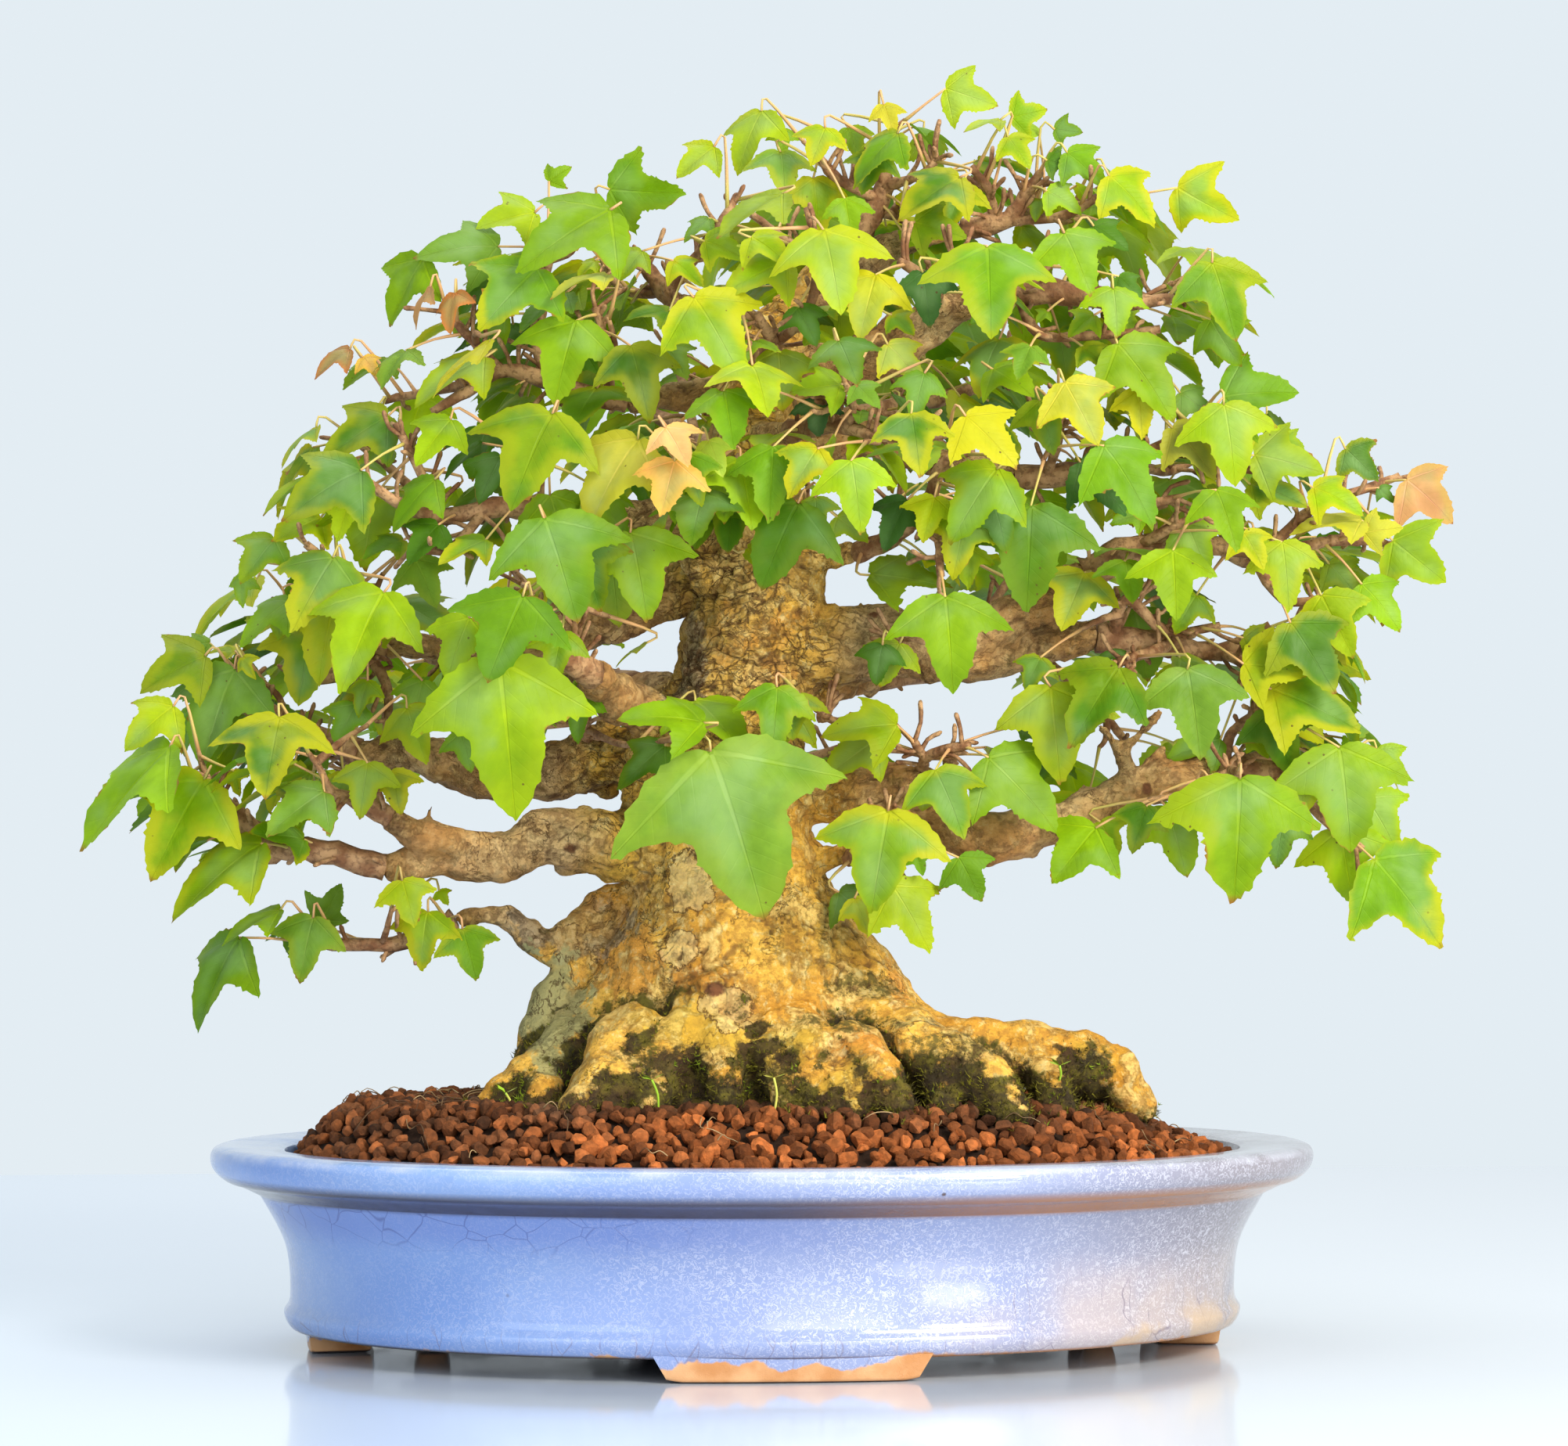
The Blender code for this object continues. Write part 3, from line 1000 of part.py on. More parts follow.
def grow_leaf(crown, name, blade, node, draw):
    """Give a blade its petiole, and a twig where the stem is far, if both run clear."""
    spray = crown.sprays[name]
    root, twig = node, None
    if (node - blade.base).length > PETIOLE_REACH:
        twig_path, twig = plan_twig(blade, node, draw)
        if not crown.is_clear(*twig, (name, "wood")) or crosses(twig, blade.probe()):
            return False
        root = twig_path[-1].lerp(twig_path[-2], 0.12)
    reach = (root - blade.base).length
    behind = -blade.axis.dot((root - blade.base).normalized())
    if behind < FURTHEST_AHEAD:
        return False
    if behind < WELL_BEHIND:
        bend = blade.base - blade.axis * STALK_BEND + blade.normal * (0.2 * STALK_BEND)
        blade.petiole = [blade.base, bend, root]
    elif blade.detail == 2:
        bend = blade.base.lerp(root, 0.45) - blade.axis * 0.18 * reach + blade.normal * 0.08 * reach
        blade.petiole = [blade.base, bend, root]
    else:
        blade.petiole = [blade.base, root]
    solid = blade.solid()
    stalk = thin_tube(blade.petiole, [PETIOLE_WIDTH * 0.8] * len(blade.petiole))
    if folds_through_itself(*solid) or not crown.is_clear(*stalk, (name, "wood")):
        return False
    if not crown.is_clear(*blade.probe(), None):
        return False
    spray["nodes"].remove(node)
    if twig:
        spray["solids"].append(twig)
        spray["nodes"] += places_along(twig_path)[1:-1]
        crown.add_obstacle(*twig, name, "wood")
    spray["solids"].append(solid)
    spray["blades"].append(blade)
    crown.add_obstacle(*blade.probe(), name, "blade")
    crown.add_obstacle(*stalk, name, "stalk")
    return True


def listed_blade(leaf, near, twist, draw):
    """Blade of a listed leaf, with its size kept as seen when it is moved nearer or further."""
    base = seen(leaf.base_x, leaf.base_y, near)
    across = seen(leaf.tip_x, leaf.tip_y, near) - base
    lean = math.radians(leaf.lean + twist)
    axis = across.normalized() * math.cos(lean) + TOWARDS * math.sin(lean)
    length = across.length / math.cos(lean)
    facing = TOWARDS * 0.8 + UP * 0.6
    blade = Blade(base, axis, facing, length, draw)
    roll = math.radians(leaf.roll)
    turned_normal = blade.normal * math.cos(roll) + blade.side * math.sin(roll)
    return Blade(base, axis, turned_normal, length, draw)


def place_listed_leaves(crown):
    """Listed leaves, longest first, each moved a little nearer or further until it hangs clear."""
    order = []
    for name, leaves in LEAVES.items():
        for leaf in leaves:
            size = math.hypot(leaf.tip_x - leaf.base_x, leaf.tip_y - leaf.base_y)
            order.append((-size, name, leaf))
    order.sort()
    for _, name, leaf in order:
        draw = random.Random(f"{name} {leaf.base_x} {leaf.base_y}")
        for attempt in range(36):
            shift = (attempt + 1) // 2 * 1.7 * (1 if attempt % 2 else -1)
            twist = 0 if attempt < 6 else draw.uniform(-14, 14)
            blade = listed_blade(leaf, leaf.near + shift, twist, draw)
            if hang_leaf(crown, name, blade, draw):
                break


def inside_crown(column, row):
    inside = False
    count = len(CROWN_OUTLINE)
    for i in range(count):
        x1, y1 = CROWN_OUTLINE[i]
        x2, y2 = CROWN_OUTLINE[(i + 1) % count]
        if (y1 > row) != (y2 > row) and column < (x2 - x1) * (row - y1) / (y2 - y1) + x1:
            inside = not inside
    return inside


def may_fill(blade):
    """A leaf placed by the rule keeps inside the crown, off the clear places, behind listed ones."""
    for point in (blade.place(0, 0.5), blade.place(0, 1), blade.place(0.6, 0.4), blade.place(-0.6, 0.4)):
        column, row = view_place(point)
        if not inside_crown(column, row):
            return False
        if any(left < column < right and top < row < bottom for left, top, right, bottom in CLEARINGS):
            return False
    column, row = view_place(blade.place(0, 0.4))
    near = -blade.base.y / MM
    for leaves in LEAVES.values():
        for leaf in leaves:
            middle_x = leaf.base_x + 0.4 * (leaf.tip_x - leaf.base_x)
            middle_y = leaf.base_y + 0.4 * (leaf.tip_y - leaf.base_y)
            if math.hypot(column - middle_x, row - middle_y) < 75 and near > leaf.near - 4:
                return False
    return True


def place_filling_leaves(crown):
    """Leaves placed by a seeded rule round each spray's stems, facing out and drooping."""
    for wood in BRANCHES:
        draw = random.Random("fill " + wood.name)
        spray = crown.sprays[wood.name]
        nodes = list(spray["nodes"])
        placed = 0
        for _ in range(wood.fill * 30):
            if placed == wood.fill:
                break
            node = draw.choice(nodes[len(nodes) // 4:])
            outward = Vector((node.x + 0.006, node.y, 0)).normalized()
            outward += Vector((draw.uniform(-0.9, 0.9), draw.uniform(-0.9, 0.9), 0))
            outward.normalize()
            rise = draw.uniform(-0.25, 0.75)
            base = node + (outward + UP * rise).normalized() * draw.uniform(0.010, 0.024)
            pitch = math.radians(draw.uniform(5, 62))
            axis = outward * math.cos(pitch) - UP * math.sin(pitch)
            facing = UP * 0.85 + outward * 0.5
            length = draw.uniform(*FILL_LEAF_LENGTH)
            blade = Blade(base, axis, facing, length, draw)
            if may_fill(blade) and hang_leaf(crown, wood.name, blade, draw):
                placed += 1


def fuse_spray(name, spray, material):
    solids = [make_object("part", *solid) for solid in spray["solids"]]
    piece = solids[0]
    piece.name = "spray_" + name
    piece.data.materials.append(material)
    boolean(piece, solids[1:], "UNION")
    keep_largest_body(piece)
    lighten(piece, SPRAY_SHARE)
    return piece


def mesh_arrays(piece):
    return [v.co.copy() for v in piece.data.vertices], [tuple(p.vertices) for p in piece.data.polygons]


def stand_on_origin(pieces):
    """Turn the pot's long side along X and put the middle of the tree's bounding box on the origin."""
    turn = Matrix.Rotation(-POT_TURN, 3, "Z")
    corners = []
    for piece in pieces:
        piece.data.transform(turn.to_4x4())
        corners += [v.co for v in piece.data.vertices]
    low = [min(c[i] for c in corners) for i in range(3)]
    high = [max(c[i] for c in corners) for i in range(3)]
    shift = Vector((-(low[0] + high[0]) / 2, -(low[1] + high[1]) / 2, -low[2]))
    for piece in pieces:
        piece.data.transform(Matrix.Translation(shift))


def main():
    clear_scene()
    glaze = make_material("glaze", (0.42, 0.50, 0.78), 0.18)
    akadama = make_material("soil", (0.30, 0.12, 0.05), 0.95)
    bark = make_material("bark", (0.52, 0.34, 0.15), 0.85)
    leaf = make_material("leaf", (0.28, 0.48, 0.06), 0.5)
    plastic = make_material("mesh", (0.03, 0.03, 0.03), 0.6)
    pieces = [make_pot(glaze)]
    for side, sign in (("left", -1), ("right", 1)):
        pieces.append(make_drain_mesh(f"drain_mesh_{side}", sign, plastic))
    trunk = make_trunk(bark)
    pieces.append(trunk)
    pieces.append(make_soil(akadama))
    crown = Crown()
    crown.add_obstacle(*mesh_arrays(trunk), "trunk", "trunk")
    crown.add_obstacle(*mesh_arrays(pieces[-1]), "soil", "soil")
    start_sprays(crown)
    place_listed_leaves(crown)
    place_filling_leaves(crown)
    for name, spray in crown.sprays.items():
        pieces.append(fuse_spray(name, spray, leaf))
    stand_on_origin(pieces)


main()
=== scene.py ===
"""Looks of the trident maple bonsai: bark, roots, leaves with veins and toothed edges, soil grains,
moss and glaze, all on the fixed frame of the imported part.

The twigs and leaves are placed by the same lists and rules as the part's solids. They are worked
out in the front view's frame and then turned and moved to where the part stands.
"""

import math
import random
from collections import namedtuple

import bmesh
import bpy
import numpy as np
from mathutils import Matrix, Vector, geometry, noise
from mathutils.bvhtree import BVHTree


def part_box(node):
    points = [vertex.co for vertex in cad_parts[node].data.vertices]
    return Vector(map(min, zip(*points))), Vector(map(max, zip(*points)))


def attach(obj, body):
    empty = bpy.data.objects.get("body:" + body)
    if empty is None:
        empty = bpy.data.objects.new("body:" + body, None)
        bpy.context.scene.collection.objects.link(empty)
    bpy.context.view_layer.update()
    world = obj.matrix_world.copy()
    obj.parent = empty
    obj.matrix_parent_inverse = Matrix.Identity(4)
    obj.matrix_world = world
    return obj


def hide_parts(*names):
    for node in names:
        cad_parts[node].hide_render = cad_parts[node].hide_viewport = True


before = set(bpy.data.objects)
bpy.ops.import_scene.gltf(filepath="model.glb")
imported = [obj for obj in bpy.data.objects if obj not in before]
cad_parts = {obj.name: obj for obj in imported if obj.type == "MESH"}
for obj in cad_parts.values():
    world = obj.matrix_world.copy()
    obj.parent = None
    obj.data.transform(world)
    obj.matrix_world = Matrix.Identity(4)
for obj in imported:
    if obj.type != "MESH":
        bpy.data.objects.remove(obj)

MM = 0.001
GAP = 0.0003
UP = Vector((0, 0, 1))
TOWARDS = Vector((0, -1, 0))
# Front view: what one pixel measures in the upright plane through the trunk, and the eye's place
PIXEL = 0.00025
VIEW_MIDDLE = 977
VIEW_TABLE = 1712
EYE_DISTANCE = 1.30
EYE_HEIGHT = 0.144
# Pot, in metres and radians. In the front view its long side is turned a little off the picture
POT_LENGTH = 0.350
POT_DEPTH = 0.265
POT_TURN = math.radians(4.7)
POT_ROUNDNESS = 2.25
POT_BASE = 0.0065
# Feet: arcs of the base ring. Middle angle, half arc, and insets of the outer and inner face in mm
FEET = [
    (-math.pi / 2, 0.214, 27.0, 42.0), (math.pi / 2, 0.214, 27.0, 42.0),
    (0, 0.150, 31.0, 50.0), (math.pi, 0.150, 31.0, 50.0),
]
FOOT_SLANT = 0.024
NUB_PLACE = (0.105, 0.013)
NUB_RADIUS = 0.0062
# Soil, in metres
SOIL_EDGE_HEIGHT = 0.0612
SOIL_TOP_HEIGHT = 0.0775
# Leaves, in metres
LEAF_THICKNESS = 0.0013
PETIOLE_WIDTH = 0.0012
PETIOLE_REACH = 0.030
STALK_BEND = 0.0045
WELL_BEHIND = 0.45
FURTHEST_AHEAD = -0.35
TWIG_RADIUS = 0.0014
NODE_SPACING = 0.004
NODES_TRIED = 5
START_TRIES = 6
PLAIN_LEAF = 0.0255
DETAILED_LEAF = 0.038
FILL_LEAF_LENGTH = (0.024, 0.034)
Ring = namedtuple("Ring", "height left right front back")
Wood = namedtuple("Wood", "name path cut radii sides fill")
Leaf = namedtuple("Leaf", "base_x base_y tip_x tip_y near lean roll")


def seen(column, row, near):
    """Point seen at a column and row of the front view, near millimetres before the trunk."""
    reach = 1 - near * MM / EYE_DISTANCE
    x = (column - VIEW_MIDDLE) * PIXEL * reach
    z = EYE_HEIGHT + ((VIEW_TABLE - row) * PIXEL - EYE_HEIGHT) * reach
    return Vector((x, -near * MM, z))


def view_place(point):
    """Column and row of the front view at which a point is seen."""
    reach = 1 + point.y / EYE_DISTANCE
    column = VIEW_MIDDLE + point.x / reach / PIXEL
    row = VIEW_TABLE - (EYE_HEIGHT + (point.z - EYE_HEIGHT) / reach) / PIXEL
    return column, row


def leaf_table(table):
    """Listed leaves of each spray, from rows of numbers."""
    return {name: [Leaf(*row) for row in rows] for name, rows in table.items()}


# Pot profile, outside: distance of each ring in from the lip's edge, and its height, millimetres
POT_OUTSIDE = [
    (30.0, 6.5), (25.8, 7.2), (23.5, 11.8), (25.4, 17.0), (23.8, 33.0), (15.8, 48.5), (5.5, 54.5),
    (0.3, 58.5), (3.0, 61.6),
]
# Pot profile, inside, from the lip down to the floor
POT_INSIDE = [(24.0, 60.2), (31.5, 46.0), (33.5, 24.0), (42.0, 13.5)]


def oval(angle, inset):
    """Point of the pot's oval plan at an angle, inset metres in from the lip's edge."""
    power = 2 / POT_ROUNDNESS
    c, s = math.cos(angle), math.sin(angle)
    x = math.copysign(abs(c) ** power, c) * (POT_LENGTH / 2 - inset)
    y = math.copysign(abs(s) ** power, s) * (POT_DEPTH / 2 - inset)
    return turned(x, y)


def turned(x, y):
    """Point of the pot's own plan, turned into the front view."""
    c, s = math.cos(POT_TURN), math.sin(POT_TURN)
    return x * c - y * s, x * s + y * c


def loft(rings, close=True):
    """Vertices and faces through rings of equal length, with flat ends."""
    count = len(rings[0])
    vertices = [v for ring in rings for v in ring]
    faces = []
    for r in range(len(rings) - 1):
        for i in range(count):
            a, b = r * count + i, r * count + (i + 1) % count
            faces.append((a, b, b + count, a + count))
    if close:
        faces.append(tuple(reversed(range(count))))
        faces.append(tuple(range((len(rings) - 1) * count, len(rings) * count)))
    return vertices, faces


def soil_height(angle, share):
    """Height of the soil at a share of the way from the middle to the pot's lip."""
    left = max(0.0, -math.cos(angle)) ** 3
    slope = 0.36 - 0.22 * left
    rise = min(1.0, (1 - share) / slope)
    rise = rise * rise * (3 - 2 * rise) * 0.6 + rise * 0.4
    return SOIL_EDGE_HEIGHT + (SOIL_TOP_HEIGHT - SOIL_EDGE_HEIGHT) * rise


# Trunk: height of each ring and its left, right, front and back edges, millimetres
TRUNK_RINGS = [
    Ring(50, -66, 58, -46, 44), Ring(68, -68, 60, -47, 45), Ring(80, -68, 58, -45, 43),
    Ring(92, -67, 54, -42, 41), Ring(104, -64, 50, -38, 38), Ring(118, -58, 42, -35, 35),
    Ring(131, -50, 31, -32, 32), Ring(148, -44, 20, -28, 29), Ring(166, -45, 13, -26, 26),
    Ring(188, -45, 13, -23, 24), Ring(203, -33, 15, -21, 23), Ring(222, -26, 17, -20, 22),
    Ring(242, -20, 20, -18, 20), Ring(256, -23, 17, -17, 19), Ring(277, -20, 9, -15, 17),
    Ring(300, -14, 8, -11, 13), Ring(326, -6, 12, -8, 9),
]

# Ridges where the trunk flares into its roots: direction in degrees, reach in mm, width in degrees
RIDGES = [
    (-6, 10, 16), (-38, 11, 13), (-76, 13, 11), (-104, 11, 10), (-133, 13, 12), (-163, 15, 12),
    (172, 11, 15), (140, 13, 13), (98, 14, 13), (50, 13, 14),
]
# Heights between which the ridges rise, millimetres
RIDGE_TOP = 122
RIDGE_FOOT = 66

# Surface roots: column, row and nearness of points along each, and their radii, millimetres
ROOTS = [
    ([(1100, 1325, 0), (1200, 1340, 6), (1300, 1342, 8), (1385, 1362, 9), (1435, 1386, 9),
      (1462, 1432, 8)], (19, 13, 11.5, 10.5, 9.2, 6)),
    ([(1120, 1320, 18), (1195, 1352, 38), (1262, 1388, 48), (1296, 1434, 58)], (15, 11, 8.5, 5)),
    ([(770, 1330, 10), (705, 1372, 22), (652, 1398, 27), (616, 1428, 28)], (15, 10.5, 8, 5)),
    ([(820, 1325, 30), (772, 1380, 48), (732, 1434, 60)], (15, 10, 5)),
    ([(1000, 1310, 34), (1042, 1380, 52), (1068, 1438, 66)], (13, 9, 5)),
    ([(830, 1310, -26), (765, 1375, -50), (720, 1432, -70)], (15, 10, 5)),
    ([(1090, 1310, -24), (1180, 1370, -46), (1250, 1432, -62)], (15, 10, 5)),
]

# Cut stubs and scars that stand on the limbs and the trunk
STUBS = [
    ([(1213, 1020, 6), (1214, 950, 8)], (2.7, 2.1)),
    ([(1452, 1008, 6), (1432, 962, 10), (1402, 922, 12)], (3.4, 2.6, 1.8)),
    ([(1432, 962, 10), (1486, 906, 12)], (2.4, 1.6)),
    ([(1448, 1002, 6), (1490, 954, 3)], (2.8, 1.8)),
    ([(1300, 1062, 10), (1325, 1080, 14)], (5.5, 4.5)),
    ([(1180, 835, 4), (1262, 856, 8)], (4.0, 1.6)),
    ([(545, 1070, 28), (552, 1022, 28)], (2.6, 1.2)),
    ([(905, 735, 8), (880, 718, 17)], (6.0, 3.8)),
    ([(915, 1262, 34), (914, 1262, 44)], (8.5, 5.8)),
    ([(725, 1086, 16), (720, 1084, 26)], (7.0, 5.0)),
]

# Branches: path, where on it the limb's wood ends and the spray's begins, radii at the start, there
# and at the tip in millimetres, side stems, and how many leaves a rule adds to those of the list
BRANCHES = [
    Wood("left_low", [(820, 1140, 0), (762, 1160, 0), (712, 1212, 4), (678, 1196, 6), (640, 1170, 6),
         (582, 1173, 4), (520, 1203, 2), (440, 1207, 6), (385, 1203, 8)], 5, (7, 3.2, 1.2), [], 0),
    Wood("left_tip", [(850, 1090, 8), (760, 1078, 14), (700, 1068, 16), (640, 1100, 20),
         (565, 1098, 22), (495, 1110, 24), (430, 1092, 26), (370, 1085, 26), (326, 1096, 24)],
         5, (12, 4.4, 3.4), [[(350, 1080, 26), (300, 1040, 26), (268, 1003, 28), (240, 985, 30)]], 2),
    Wood("left_mid", [(650, 1095, 20), (580, 1075, 26), (535, 1072, 30), (500, 1045, 34),
         (455, 1022, 38), (415, 1013, 42)], 3, (6, 3.6, 1.6), [], 2),
    Wood("left_far", [(860, 960, -5), (790, 965, -6), (700, 985, -8), (620, 998, -10), (545, 965, -12),
         (460, 962, -14), (400, 940, -16), (340, 925, -18), (300, 888, -20)], 5, (11, 4.6, 1.8),
         [[(400, 940, -16), (345, 905, -2), (300, 875, 6)], [(430, 950, -15), (450, 990, -30),
         (440, 1010, -40)]], 3),
    Wood("left_high", [(895, 735, -6), (800, 785, -14), (700, 815, -16), (580, 828, -14),
         (490, 825, -10), (430, 862, -4), (370, 868, 0)], 4, (9, 4.4, 1.6), [[(490, 828, -9),
         (496, 880, -6), (494, 935, -4)], [(480, 832, -9), (470, 770, 12), (425, 725, 24),
         (390, 695, 28)], [(450, 850, -8), (420, 820, -30), (380, 780, -45)]], 3),
    Wood("left_shoulder", [(915, 680, 6), (830, 662, 16), (760, 650, 22), (700, 652, 28),
         (630, 648, 34), (560, 660, 38), (505, 640, 40), (455, 605, 42)], 3, (7, 3.8, 1.3),
         [[(565, 658, 38), (530, 590, 36), (505, 540, 34)], [(620, 650, 35), (575, 700, 46),
         (520, 700, 48)], [(560, 655, 37), (500, 600, 15), (450, 560, 0)]], 3),
    Wood("front_left", [(855, 925, 12), (795, 900, 32), (758, 862, 50), (712, 838, 66), (655, 822, 78)],
         2, (7, 4.8, 1.4), [[(735, 850, 58), (735, 780, 60), (715, 700, 58)], [(712, 838, 66),
         (680, 790, 76)]], 1),
    Wood("front_shoot", [(748, 975, -6), (749, 945, 4), (750, 928, 12), (746, 896, 18)],
         1, (2.4, 1.7, 1.2), [], 0),
    Wood("trunk_shoot", [(1010, 914, 4), (1046, 917, 12), (1060, 917, 15)], 1, (2.4, 1.7, 1.5), [], 0),
    Wood("top_left", [(950, 500, 0), (880, 505, 4), (800, 512, 10), (740, 500, 14), (690, 482, 18),
         (640, 472, 22), (595, 500, 24), (550, 525, 24)], 2, (7, 3.8, 1.3), [[(700, 485, 17),
         (682, 430, 16), (690, 370, 14), (705, 320, 12)], [(640, 472, 22), (600, 430, 24),
         (565, 395, 24)], [(780, 510, 11), (775, 450, 26), (760, 390, 30)], [(620, 485, 22),
         (540, 500, 6), (490, 510, 0)]], 3),
    Wood("crown_left", [(985, 440, 0), (920, 410, 6), (862, 385, 12), (830, 345, 14), (800, 318, 14)],
         2, (7, 3.6, 1.3), [[(862, 385, 12), (885, 330, 20), (925, 275, 18), (942, 245, 14)],
         [(850, 370, 12), (800, 370, -5), (770, 340, -15)]], 3),
    Wood("crown_front", [(985, 470, 6), (988, 455, 24), (985, 430, 40), (968, 400, 52)],
         1, (6, 3.4, 1.4), [[(986, 438, 34), (1030, 400, 48), (1046, 330, 50), (1032, 262, 46)],
         [(985, 430, 40), (940, 470, 56)]], 0),
    Wood("front_upper", [(960, 560, 8), (1010, 550, 28), (1070, 542, 48), (1125, 560, 64)],
         1, (7, 3.8, 1.4), [[(1055, 545, 44), (1080, 495, 58), (1100, 462, 60)], [(1100, 552, 56),
         (1180, 560, 64), (1225, 548, 66)]], 0),
    Wood("front_centre", [(945, 650, 6), (938, 655, 24), (918, 640, 42), (882, 610, 54)],
         1, (7, 4.0, 1.4), [[(930, 650, 34), (990, 655, 50), (1035, 645, 56)], [(925, 645, 38),
         (915, 600, 54)]], 1),
    Wood("crown_top", [(985, 430, 0), (1040, 370, -2), (1095, 300, -4), (1125, 250, -4),
         (1130, 215, -2), (1112, 188, 0)], 2, (9, 4.4, 1.3), [[(1125, 252, -4), (1065, 220, 4),
         (1045, 190, 6)], [(1128, 235, -3), (1180, 218, 8), (1200, 195, 10)], [(1118, 262, -4),
         (1150, 270, -25), (1180, 240, -35)]], 3),
    Wood("crown_right", [(1058, 352, -3), (1160, 304, -9), (1230, 290, -10), (1290, 275, -6),
         (1315, 240, -4), (1332, 215, 0)], 2, (6, 3.8, 1.3), [[(1290, 278, -6), (1360, 272, 0),
         (1405, 248, 6)], [(1270, 280, -8), (1266, 240, -4), (1242, 208, -2)], [(1300, 270, -6),
         (1340, 265, -30), (1390, 250, -45)]], 3),
    Wood("right_upper", [(1000, 480, 0), (1100, 458, 2), (1165, 428, 6), (1212, 392, 10),
         (1290, 366, 14), (1380, 373, 18), (1450, 383, 22), (1502, 378, 26)], 4, (10, 5.0, 1.5),
         [[(1300, 368, 14), (1330, 424, 16), (1400, 426, 20), (1485, 418, 24)], [(1310, 366, 14),
         (1345, 330, 20), (1375, 300, 24)], [(1400, 375, 18), (1450, 390, 0), (1500, 360, -12)]], 3),
    Wood("upper_inner", [(1212, 400, 8), (1196, 375, 26), (1180, 350, 38), (1150, 330, 44)],
         1, (4.5, 3.0, 1.3), [[(1185, 358, 34), (1225, 330, 46), (1250, 312, 50)]], 0),
    Wood("right_rear", [(1000, 560, -4), (1100, 562, -10), (1200, 590, -10), (1300, 610, -6),
         (1380, 602, 0), (1440, 590, 10), (1500, 560, 16), (1545, 520, 18)], 3, (8, 4.2, 1.4),
         [[(1400, 600, 4), (1450, 640, 20), (1510, 635, 26)], [(1480, 570, 14), (1560, 590, 20),
         (1625, 605, 16)], [(1340, 606, -2), (1355, 550, 12), (1362, 500, 22)], [(1440, 590, 8),
         (1500, 600, -20), (1560, 560, -35)]], 4),
    Wood("right_high", [(1190, 835, 2), (1260, 805, 6), (1330, 770, 8), (1390, 735, 10),
         (1450, 702, 12), (1540, 695, 10), (1620, 705, 8), (1700, 690, 4)], 3, (8, 5.4, 1.6),
         [[(1450, 702, 12), (1495, 675, 22), (1545, 655, 26)], [(1620, 705, 8), (1680, 650, 6),
         (1750, 622, 0), (1790, 608, -4)], [(1600, 704, 8), (1640, 765, 8), (1690, 765, 6)],
         [(1700, 690, 4), (1745, 690, 2), (1780, 695, 0)], [(1560, 700, 8), (1600, 720, -16),
         (1660, 700, -34)]], 4),
    Wood("right_mid", [(1020, 835, 0), (1120, 818, 0), (1200, 836, 0), (1290, 832, -4), (1400, 814, -6),
         (1480, 822, -8), (1560, 832, -8), (1625, 800, -6)], 4, (14, 5.2, 1.8), [[(1400, 814, -4),
         (1440, 765, 6), (1490, 805, 2), (1560, 800, 0)], [(1560, 832, -8), (1620, 862, 0),
         (1680, 890, 4)], [(1500, 822, -8), (1455, 838, 14), (1430, 846, 24)], [(1560, 832, -8),
         (1620, 840, -34), (1680, 800, -45)]], 4),
    Wood("right_low", [(1000, 1015, 0), (1100, 1008, 2), (1180, 1020, 6), (1250, 1070, 10),
         (1330, 1058, 10), (1400, 1035, 8), (1452, 1008, 6), (1550, 985, 2), (1640, 990, 0),
         (1700, 1010, -4)], 7, (11, 5.2, 1.6), [[(1565, 984, 2), (1572, 940, 2), (1600, 915, 4),
         (1625, 900, 6)], [(1640, 990, 0), (1700, 1055, 0), (1742, 1085, 2)], [(1560, 985, 2),
         (1572, 985, 20), (1584, 985, 32)], [(1560, 985, 0), (1620, 960, -26), (1680, 930, -40)]], 4),
    Wood("right_inner", [(1030, 1095, 0), (1085, 1095, 14), (1120, 1098, 26), (1150, 1108, 34)],
         1, (5, 3.0, 1.4), [[(1120, 1098, 26), (1128, 1060, 36), (1135, 1040, 40)]], 0),
    Wood("right_cut", [(1175, 1015, 6), (1178, 982, 12), (1180, 968, 18), (1168, 948, 24)],
         1, (3, 1.9, 1.3), [[(1180, 970, 17), (1205, 958, 24), (1240, 952, 28)]], 0),
    Wood("right_under", [(1150, 812, 4), (1148, 816, 18), (1140, 822, 24)], 1, (3, 2.0, 1.3), [], 0),
    Wood("front_right", [(1020, 712, 0), (1095, 706, 8), (1150, 680, 20), (1188, 636, 34),
         (1205, 592, 44), (1245, 575, 50)], 1, (7, 3.4, 1.3), [[(1190, 632, 35), (1200, 690, 50),
         (1202, 735, 56)], [(1160, 670, 24), (1140, 640, 40)]], 0),
    Wood("back_left", [(890, 900, -18), (820, 880, -45), (720, 862, -75), (620, 850, -95),
         (540, 835, -108)], 1, (9, 5.4, 1.6), [[(720, 862, -75), (690, 780, -95), (650, 720, -108)],
         [(640, 853, -92), (600, 930, -100), (560, 980, -104)]], 12),
    Wood("back_right", [(985, 892, -4), (1120, 862, -45), (1230, 850, -75), (1330, 838, -97),
         (1420, 815, -108)], 1, (9, 5.4, 1.6), [[(1230, 850, -75), (1270, 770, -95), (1320, 700, -108)],
         [(1330, 838, -97), (1400, 900, -102), (1440, 950, -104)]], 12),
    Wood("back_upper", [(955, 600, -10), (930, 590, -38), (890, 560, -70), (840, 530, -92),
         (780, 500, -104)], 1, (7, 4.4, 1.5), [[(890, 560, -70), (870, 480, -88), (850, 420, -94)]],
         10),
    Wood("back_upper_right", [(985, 560, -10), (1050, 545, -38), (1140, 520, -70), (1230, 500, -92),
